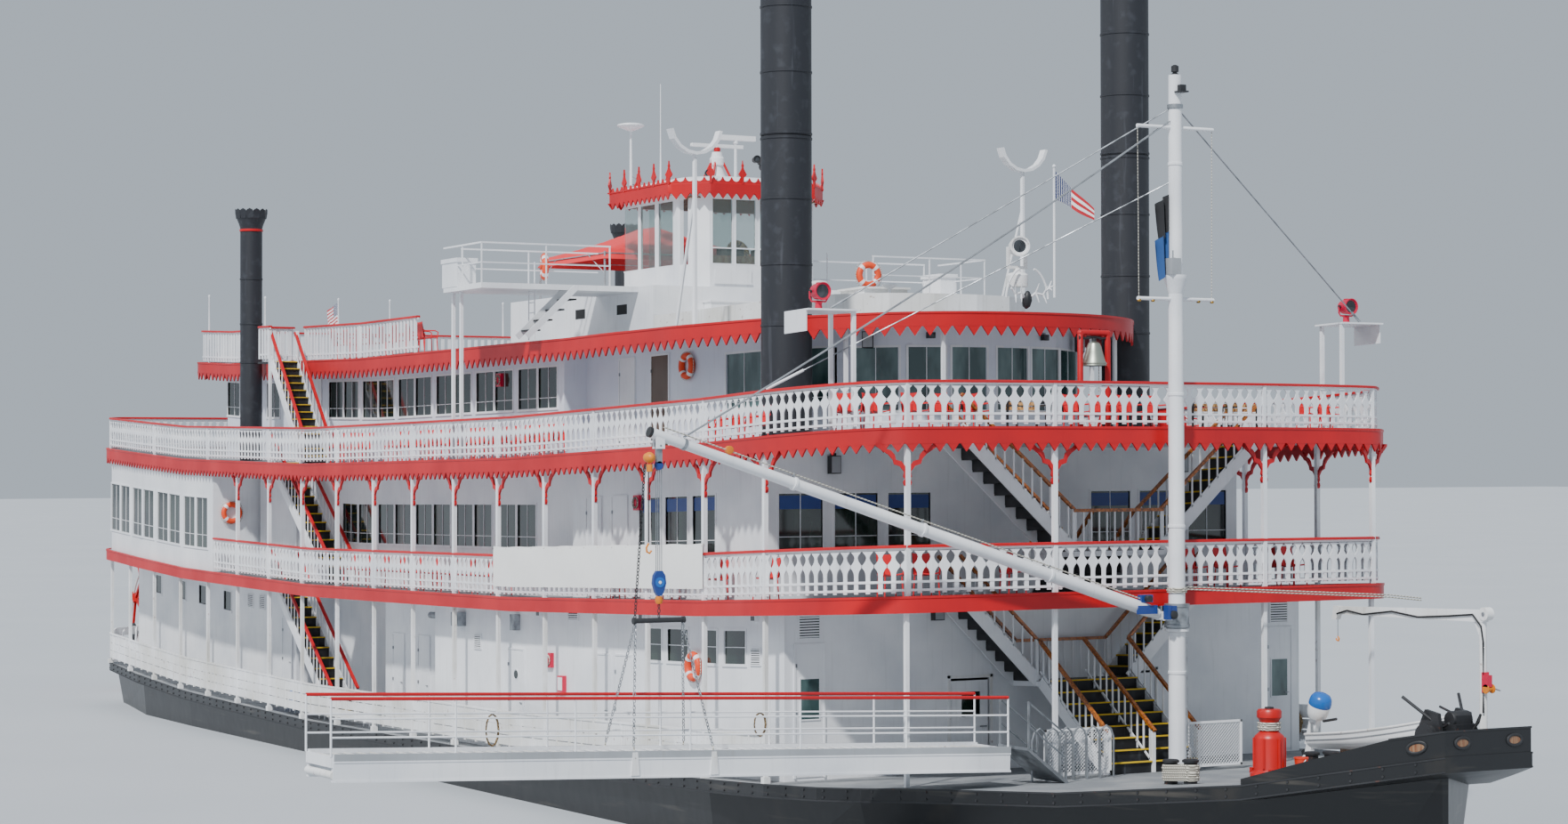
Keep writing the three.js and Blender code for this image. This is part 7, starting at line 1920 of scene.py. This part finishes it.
class BOAT_OT_seats(bpy.types.Operator):
    """Chairs and benches on the open decks"""

    bl_idname = "boat.seats"
    bl_label = "Seats"

    def execute(self, context):
        parts = []
        front = [-655, -585, -505, -430, -352, -92, -20, 52, 123, 575, 640]
        parts += repeated(chair("chair_red"),
                          [[2000 - 26 * (abs(y) > 560), y, DECK_3, 90 + 12 * (y > 560) - 12 * (y < -600)]
                           for y in front])
        for y, long in ((-228, 92), (271, 96), (371, 96)):
            parts += repeated(bench(long), [[2010, y, DECK_3, 90]])
        runs = [(DECK_3, np.arange(-646, 420, 71), 596), (DECK_3, np.array([1269, 1341, 1413, 1479]), 600),
                (DECK_3, np.arange(-1160, -800, 72), 596), (DECK_2, np.arange(-760, 420, 118), 690),
                (DECK_2, np.array([900, 1010, 1240, 1470, 1700]), 700)]
        for deck, xs, y in runs:
            for side, turn in ((-1, 0), (1, 180)):
                wobble = 5 * np.sin(xs * 0.37 + side)
                parts += repeated(chair("chair_red", deck == DECK_3),
                                  [[x, side * y, deck, turn + w] for x, w in zip(xs, wobble)])
        parts += repeated(chair("chair_red"),
                          [[1985, y, DECK_2, 90 + y / 60] for y in (-560, -470, -250, 240, 330, 520)])
        parts += repeated(chair("chair_red"), [[x, s * 540, ROOF_DECK, 90 - 90 * s] for x in range(-1180, -520, 94)
                                               for s in (-1, 1)])
        parts += repeated(chair("white_plastic"), [[x, s * 690, MAIN_DECK, 90 - 90 * s]
                                                   for x in (-1180, -1100, -900, -820, -560) for s in (-1, 1)])
        piece("seats", parts)
        barrels = []
        for x in (-1265, -1215):
            for s in (-1, 1):
                barrels.append(turned([(0, 0), (21, 0), (22, 3), (22, 20), (23, 22), (22, 24), (22, 44), (23, 46),
                                       (22, 48), (22, 66), (20, 69), (0, 69)], "gel_blue", (x, s * 650, MAIN_DECK),
                                      sides=28))
        coil = np.linspace(0, 8 * math.pi, 120)
        for x in (-700, 1710):
            spiral = np.column_stack([x + (34 - coil * 0.45) * np.cos(coil), -738 + 0 * coil, MAIN_DECK + 60
                                      + (34 - coil * 0.45) * np.sin(coil)])
            barrels += [tube(spiral * (1, s, 1), 2.6, "tan_rope", 6, (0, 1, 0)) for s in (-1, 1)]
        piece("barrels_and_coils", barrels)
        return {"FINISHED"}


class BOAT_OT_banner(bpy.types.Operator):
    """The blank banner laced to deck 2's rail"""

    bl_idname = "boat.banner"
    bl_label = "Banner"

    def execute(self, context):
        u, v = np.meshgrid(np.linspace(410, 1523, 90), np.linspace(0, 1, 9))
        belly = 1.2 * np.sin(np.pi * v) * (1 + np.sin(u / 43))
        grid = np.stack([u, -760.5 - belly, 667 + 100 * v - 1.5 * np.sin(np.pi * (u - 410) / 1113 * 8) ** 2 * v],
                        axis=-1)
        cloth("banner", grid, "banner_white", (1.113, 0.1), "stretched", ["rail_deck_2"], sweep=True)
        start = np.array([[x, -762.0, z] for x in np.linspace(412, 1521, 16) for z in (761, 667)])
        piece("banner_laces", [rods(start, start + (0, 6, 6), 0.9, "white_rope", 5)])
        return {"FINISHED"}


def lamp_box(finish="iron_black"):
    return [boxes([[-10, 10, -9, 0, -7, 7]], finish), boxes([[-8, 8, -9.6, -8.6, -5, 5]], "lens_glass"),
            boxes([[-3, 3, -4, 1, 6, 12]], "galvanised")]


class BOAT_OT_wall_fittings(bpy.types.Operator):
    """Doors, vents, ducts, boxes, speakers, hose racks and lifebuoys on the houses"""

    bl_idname = "boat.wall_fittings"
    bl_label = "Wall fittings"

    def execute(self, context):
        def main(xs, z):
            return wall_places(MAIN_WALL, xs, z)

        def both(y, z):
            return [[MAIN_FRONT, s * y, z, 90] for s in (-1, 1)]

        parts = [
            *repeated(small_door(78, 250), main([-1470], DOOR_SILL)),
            *repeated(small_door(84, 250), main([902, 1020], DOOR_SILL)),
            *repeated(small_door(90, 250, porthole=True), main([418], DOOR_SILL)),
            *repeated(small_door(76, 250), main([-360, -540], DOOR_SILL)),
            *repeated(louvre(46, 40, 8), main([-1800, -1695], 523)),
            *repeated(louvre(52, 44, 9), main([747], 588)),
            *repeated(louvre(40, 34, 7), main([180, 1656], 500)),
            *repeated([boxes([[-22, 22, -24, 0, -18, 18]], "galvanised"),
                       boxes([[-18, 18, -26, -23, -14, 14]], "grey_box")], main([80], 572)),
            *repeated([boxes([[-14, 14, -16, 0, -20, 20]], "galvanised")], main([424], 575)),
            *repeated([tube([[-130, -14, 0], [-40, -14, 0], [-22, -14, -4], [-14, -14, -22], [-14, -14, -90]], 9,
                            "galvanised", 14, (0, 1, 0))], main([-155], 569)),
            *repeated(lamp_box("white_plastic"), main([-300, 560, 1120, 1656], 600)),
            *repeated([boxes([[-16, 16, -10, 0, -20, 20]], "light_red"),
                       boxes([[-12, 12, -11, -9, -16, 16]], "white_plastic")], main([690, -230], 430)),
            *repeated(small_door(78, 240), wall_places(WALL_2, [760, 900], DECK_2 + 2)),
            *repeated(small_door(82, 240), wall_places(WALL_2, [-1290], DECK_2 + 2)),
            *repeated(small_door(90, 250, "brown_door"), wall_places(WALL_3, [738], DECK_3 + 2)),
            *repeated(small_door(80, 250), wall_places(WALL_3, [-1420, 560], DECK_3 + 2)),
            *repeated(louvre(60, 26, 5), [[x, s * 318, 1372, 90 - 90 * s] for x in (-250, 0, 250) for s in (-1, 1)]),
            *repeated(small_door(70, 284), both(639, DOOR_SILL)),
            *repeated([boxes([[-23, 23, -3.4, -2, 126, 212]], "teal_glass"),
                       boxes([[-26, -23, -4, -2, 123, 215], [23, 26, -4, -2, 123, 215], [-23, 23, -4, -2, 212, 215],
                              [-23, 23, -4, -2, 123, 126]], "white_enamel")], both(639, DOOR_SILL)),
            *repeated(louvre(50, 46, 8), both(639, 556)),
        ]
        parts += repeated([boxes([[-13, 13, -16, 0, -20, 20]], "iron_black"),
                           boxes([[-11, 11, -17, -15, -18, 18]], "grey_box"),
                           boxes([[-5, 5, -8, 1, 20, 26]], "iron_black")], both(316, 605)
                          + [[1612, s * 480, 935, 90] for s in (-1, 1)]
                          + [[1455, s * 292, 1240, 90 + s * 34] for s in (-1, 1)])
        parts += repeated(lamp_box(), [[1511, s * 158, 1250, 90 + s * 12] for s in (-1, 1)]
                          + both(220, 600))
        piece("wall_fittings", parts)
        for s, side in SIDES:
            rows = [[MAIN_FRONT, MAIN_FRONT + thick, *sorted((s * y0, s * y1)), z0, z1] for thick, y0, y1, z0, z1 in (
                (1.6, 196, 200, 366, 429), (1.6, 250, 254, 366, 429), (1.6, 200, 250, 366, 370),
                (1.6, 200, 250, 425, 429), (1.2, 190, 194, 276, 350), (1.2, 262, 266, 276, 350),
                (1.2, 194, 262, 276, 280), (1.2, 194, 262, 346, 350))]
            leaf = [boxes(rows, "white_enamel"),
                    boxes([[1776.5, 1778.5, *sorted((s * 200, s * 250)), 370, 425]], "house_glass"),
                    boxes([[MAIN_FRONT, MAIN_FRONT + 0.9, *sorted((s * 184, s * 272)), 262.5, 274]], "galvanised"),
                    rods([[1784.5, s * 186, 347.5]], [[1784.5, s * 203, 347.5]], 1.4, "galvanised", 10)]
            piece(f"front_door_{side}", leaf, body=f"door_{side}")
        casing = boxes([[1780.2, 1782.4, *sorted((s * y0, s * y1)), z0, z1] for s in (-1, 1) for y0, y1, z0, z1 in (
            (168, 174.5, 256, 462), (279.5, 286, 256, 462), (168, 286, 456, 462))], "white_worn")
        piece("front_door_casings", [casing])
        racks = []
        hank = np.linspace(0, 18, 70)
        coil = np.column_stack([12 * np.cos(hank), np.full(70, -11.0), 16 + 12 * np.sin(hank)])
        for x, y, z in ((620, -700, 470), (1000, -650, 850), (-60, -525, 1190)):
            for s in (1, -1):
                racks += repeated([boxes([[-15, 15, -9, 0, -2, 34]], "light_red"),
                                   tube(coil, 2.2, "white_rope", 6, (0, 1, 0))],
                                  [[x, y * s, z, 0 if s > 0 else 180]])
        for centre, facing in (((887, -463, 1205), (0, -1, 0)), ((1381, -709, 491), (0, -1, 0)),
                               ((-1735, -690, 823), (1, 0, 0))):
            for s in (1, -1):
                racks += lifebuoy((centre[0] + 9 * facing[0], s * centre[1], centre[2]),
                                  (facing[0], s * facing[1], 0), 34, 8)
        piece("hoses_and_buoys", racks)
        return {"FINISHED"}


class BOAT_OT_lights_and_bell(bpy.types.Operator):
    """Searchlights on their platforms and the bell in its red frame"""

    bl_idname = "boat.lights_and_bell"
    bl_label = "Searchlights and bell"

    def execute(self, context):
        for side, name in SIDES:
            x, y = 1945.0, side * 710.0
            z = 1262 + float(lift(x + 12, 1262))
            parts = [
                turned([(0, 0.3), (12, 0.3), (12, 3), (8, 5), (7, 15), (10, 18), (0, 18)], "light_red", (x, y, z),
                       sides=24),
                tube([[x, y - 21.5, z + 40], [x, y - 21.5, z + 26], [x, y - 17, z + 19], [x, y + 17, z + 19],
                      [x, y + 21.5, z + 26], [x, y + 21.5, z + 40]], 2, "light_red", 8, (1, 0, 0)),
                turned([(0, -19), (8, -18), (14, -14), (16.5, -8), (17, 0), (17.5, 14), (19, 16), (19, 20), (17, 20),
                        (16, 17)], "light_red", (x, y, z + 40), (1, 0, 0), 36),
                turned([(16.5, 16.5), (10, 18), (0, 18.6)], "lens_glass", (x, y, z + 40), (1, 0, 0), 30),
                turned([(3.5, -22), (3.5, -18)], "iron_black", (x, y, z + 40), (0, 1, 0), 12),
                turned([(3.5, 18), (3.5, 22)], "iron_black", (x, y, z + 40), (0, 1, 0), 12),
                boxes([[x - 4, x + 8, y - 4, y + 4, z + 56, z + 59]], "light_red"),
            ]
            piece(f"searchlight_dressed_{name}", parts, sweep=False, replaced=[f"searchlight_{name}"])
        x, z = 1937.0, 1215 + float(lift(1937, 1215))
        parts = [
            turned([(25, -62), (28, -61), (27, -56), (24, -48), (19.5, -32), (16.5, -20), (13, -12), (6, -8), (0, -7)],
                   "bell_bronze", (x, 0, z), sides=44),
            turned([(25, -62), (22, -52), (16, -30), (10, -14), (0, -12)], "bell_bronze", (x, 0, z), sides=44),
            turned([(28.3, -57), (28.6, -56), (28.3, -55)], "bell_bronze", (x, 0, z), sides=44),
            tube([[x, -33.7, z], [x, -20, z - 1], [x, -10, z + 1], [x, 0, z + 3], [x, 10, z + 1], [x, 20, z - 1],
                  [x, 33.7, z]], 3, "iron_black", 10, (0, 0, 1)),
            turned([(5, -14), (5, 0)], "iron_black", (x, 0, z), sides=16),
            tube([[x, 0, z - 12], [x + 2, 0, z - 44]], 1.2, "iron_black", 8),
            turned([(0, -5), (4, -3), (5, 0), (4, 3), (0, 5)], "iron_black", (x + 2.5, 0, z - 49), sides=16),
        ]
        piece("bell_dressed", parts, sweep=False, replaced=["bell"])
        foot = DECK_3 + float(lift(x, DECK_3)) + 0.5
        frame = [tube([[x, s * 37, foot], [x, s * 37, z + 8], [x, s * 34, z + 11], [x, s * 28, z + 11], [x, 0, z + 11]],
                      6.6, "red_enamel", 16, (1, 0, 0)) for s in (-1, 1)]
        frame += [turned([(0, -7), (5, -6), (7.4, -3), (7.8, 0), (7.4, 3), (5, 6), (0, 7)], "red_enamel",
                         (x, s * 36, z + 10), (1, 0, 0), 24) for s in (-1, 1)]
        frame += [rods([[x, s * 37, foot + 100]], [[x - 44, s * 37, foot + 1]], 3, "red_enamel", 10) for s in (-1, 1)]
        frame.append(boxes([[x - 44, x + 12, s * 40 - 8, s * 40 + 8, foot, foot + 3] for s in (-1, 1)], "iron_black"))
        frame += [turned([(6, -3), (6, 3)], "iron_black", (x, s * 40, z), (0, 1, 0), 20) for s in (-1, 1)]
        frame.append(rods([[x + 1, 12, z - 60]], [[x + 1, 12, z - 118]], 0.9, "white_rope"))
        piece("bell_frame", frame, sweep=False)
        return {"FINISHED"}


# Stage of the picture


class BOAT_OT_studio(bpy.types.Operator):
    """Pale floor at the waterline, soft light from the front and left, and the camera at the picture's angle"""

    bl_idname = "boat.studio"
    bl_label = "Studio"

    def execute(self, context):
        settings = context.scene.studio_settings
        tree, place = blank("studio_floor")
        shade = ramp(tree, noise_at(tree, place, 900, 3), 0.2, 0.8)
        base = blended(tree, shade, linear(settings.floor), linear("B1B7BD"))
        surface(tree, base, 0.85)
        mesh = bpy.data.meshes.new("floor")
        reach = 60.0
        level = WATERLINE * MM
        mesh.from_pydata([(-reach, -reach, level), (reach, -reach, level), (reach, reach, level),
                          (-reach, reach, level)], [], [(0, 1, 2, 3)])
        mesh.materials.append(bpy.data.materials["studio_floor"])
        floor = bpy.data.objects.new("floor", mesh)
        context.scene.collection.objects.link(floor)
        world = bpy.data.worlds.new("studio_sky")
        world.use_nodes = True
        sky = world.node_tree.nodes["Background"]
        sky.inputs["Color"].default_value = linear(settings.sky)
        sky.inputs["Strength"].default_value = settings.fill
        context.scene.world = world
        for name, strength, angle, turn in (("key", settings.sun, 3, (43, 0, 37)), ("rim", 0.5, 30, (60, 0, -40))):
            light = bpy.data.lights.new(name, "SUN")
            light.energy = strength
            light.angle = math.radians(angle)
            lamp = bpy.data.objects.new(name, light)
            lamp.rotation_euler = [math.radians(a) for a in turn]
            context.scene.collection.objects.link(lamp)
        lens = bpy.data.cameras.new("picture")
        lens.lens = 70.86
        lens.sensor_width = 36
        lens.clip_end = 200
        camera = bpy.data.objects.new("picture", lens)
        heading, pitch, roll = math.radians(29.70), math.radians(0.87), math.radians(-0.109)
        right = np.array([math.sin(heading), math.cos(heading), 0.0])
        ahead = np.array([-math.cos(heading), math.sin(heading), 0.0])
        upward = np.array([0.0, 0.0, 1.0])
        look = ahead * math.cos(pitch) + upward * math.sin(pitch)
        top = upward * math.cos(pitch) - ahead * math.sin(pitch)
        level_right = right * math.cos(roll) + top * math.sin(roll)
        level_top = top * math.cos(roll) - right * math.sin(roll)
        columns = np.column_stack([level_right, level_top, -look, (7.522, -3.975, 1.0)])
        camera.matrix_world = Matrix(np.vstack([columns, [0, 0, 0, 1]]).tolist())
        context.scene.collection.objects.link(camera)
        context.scene.camera = camera
        return {"FINISHED"}


class BOAT_PT_panel(bpy.types.Panel):
    """The boat's sizes and colours, and a button for each group of pieces"""

    bl_idname = "BOAT_PT_panel"
    bl_label = "Paddle boat"
    bl_space_type = "VIEW_3D"
    bl_region_type = "UI"
    bl_category = "Boat"

    def draw(self, context):
        for settings in (context.scene.boat_colours, context.scene.rail_sizes, context.scene.studio_settings):
            box = self.layout.box()
            for name in settings.bl_rna.properties.keys():
                if name not in ("rna_type", "name"):
                    box.prop(settings, name)
        for group in GROUPS:
            self.layout.operator(group.bl_idname)


GROUPS = (BOAT_OT_finishes, BOAT_OT_rails, BOAT_OT_fascias, BOAT_OT_windows, BOAT_OT_stairs, BOAT_OT_stacks,
          BOAT_OT_pilothouse, BOAT_OT_roof_gear, BOAT_OT_mast, BOAT_OT_landing_stage, BOAT_OT_foredeck,
          BOAT_OT_hull_trim, BOAT_OT_seats, BOAT_OT_banner, BOAT_OT_wall_fittings,
          BOAT_OT_lights_and_bell, BOAT_OT_studio)
CLASSES = (BoatColours, RailSizes, StudioSettings, *GROUPS, BOAT_PT_panel)


def register():
    for kind in CLASSES:
        bpy.utils.register_class(kind)
    bpy.types.Scene.boat_colours = bpy.props.PointerProperty(type=BoatColours)
    bpy.types.Scene.rail_sizes = bpy.props.PointerProperty(type=RailSizes)
    bpy.types.Scene.studio_settings = bpy.props.PointerProperty(type=StudioSettings)


def unregister():
    del bpy.types.Scene.boat_colours
    del bpy.types.Scene.rail_sizes
    del bpy.types.Scene.studio_settings
    for kind in reversed(CLASSES):
        bpy.utils.unregister_class(kind)


def main():
    register()
    for group in GROUPS:
        category, name = group.bl_idname.split(".")
        if getattr(getattr(bpy.ops, category), name)() != {"FINISHED"}:
            raise RuntimeError(f"{group.bl_idname} could not finish")
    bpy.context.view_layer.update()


if __name__ == "__main__":
    main()
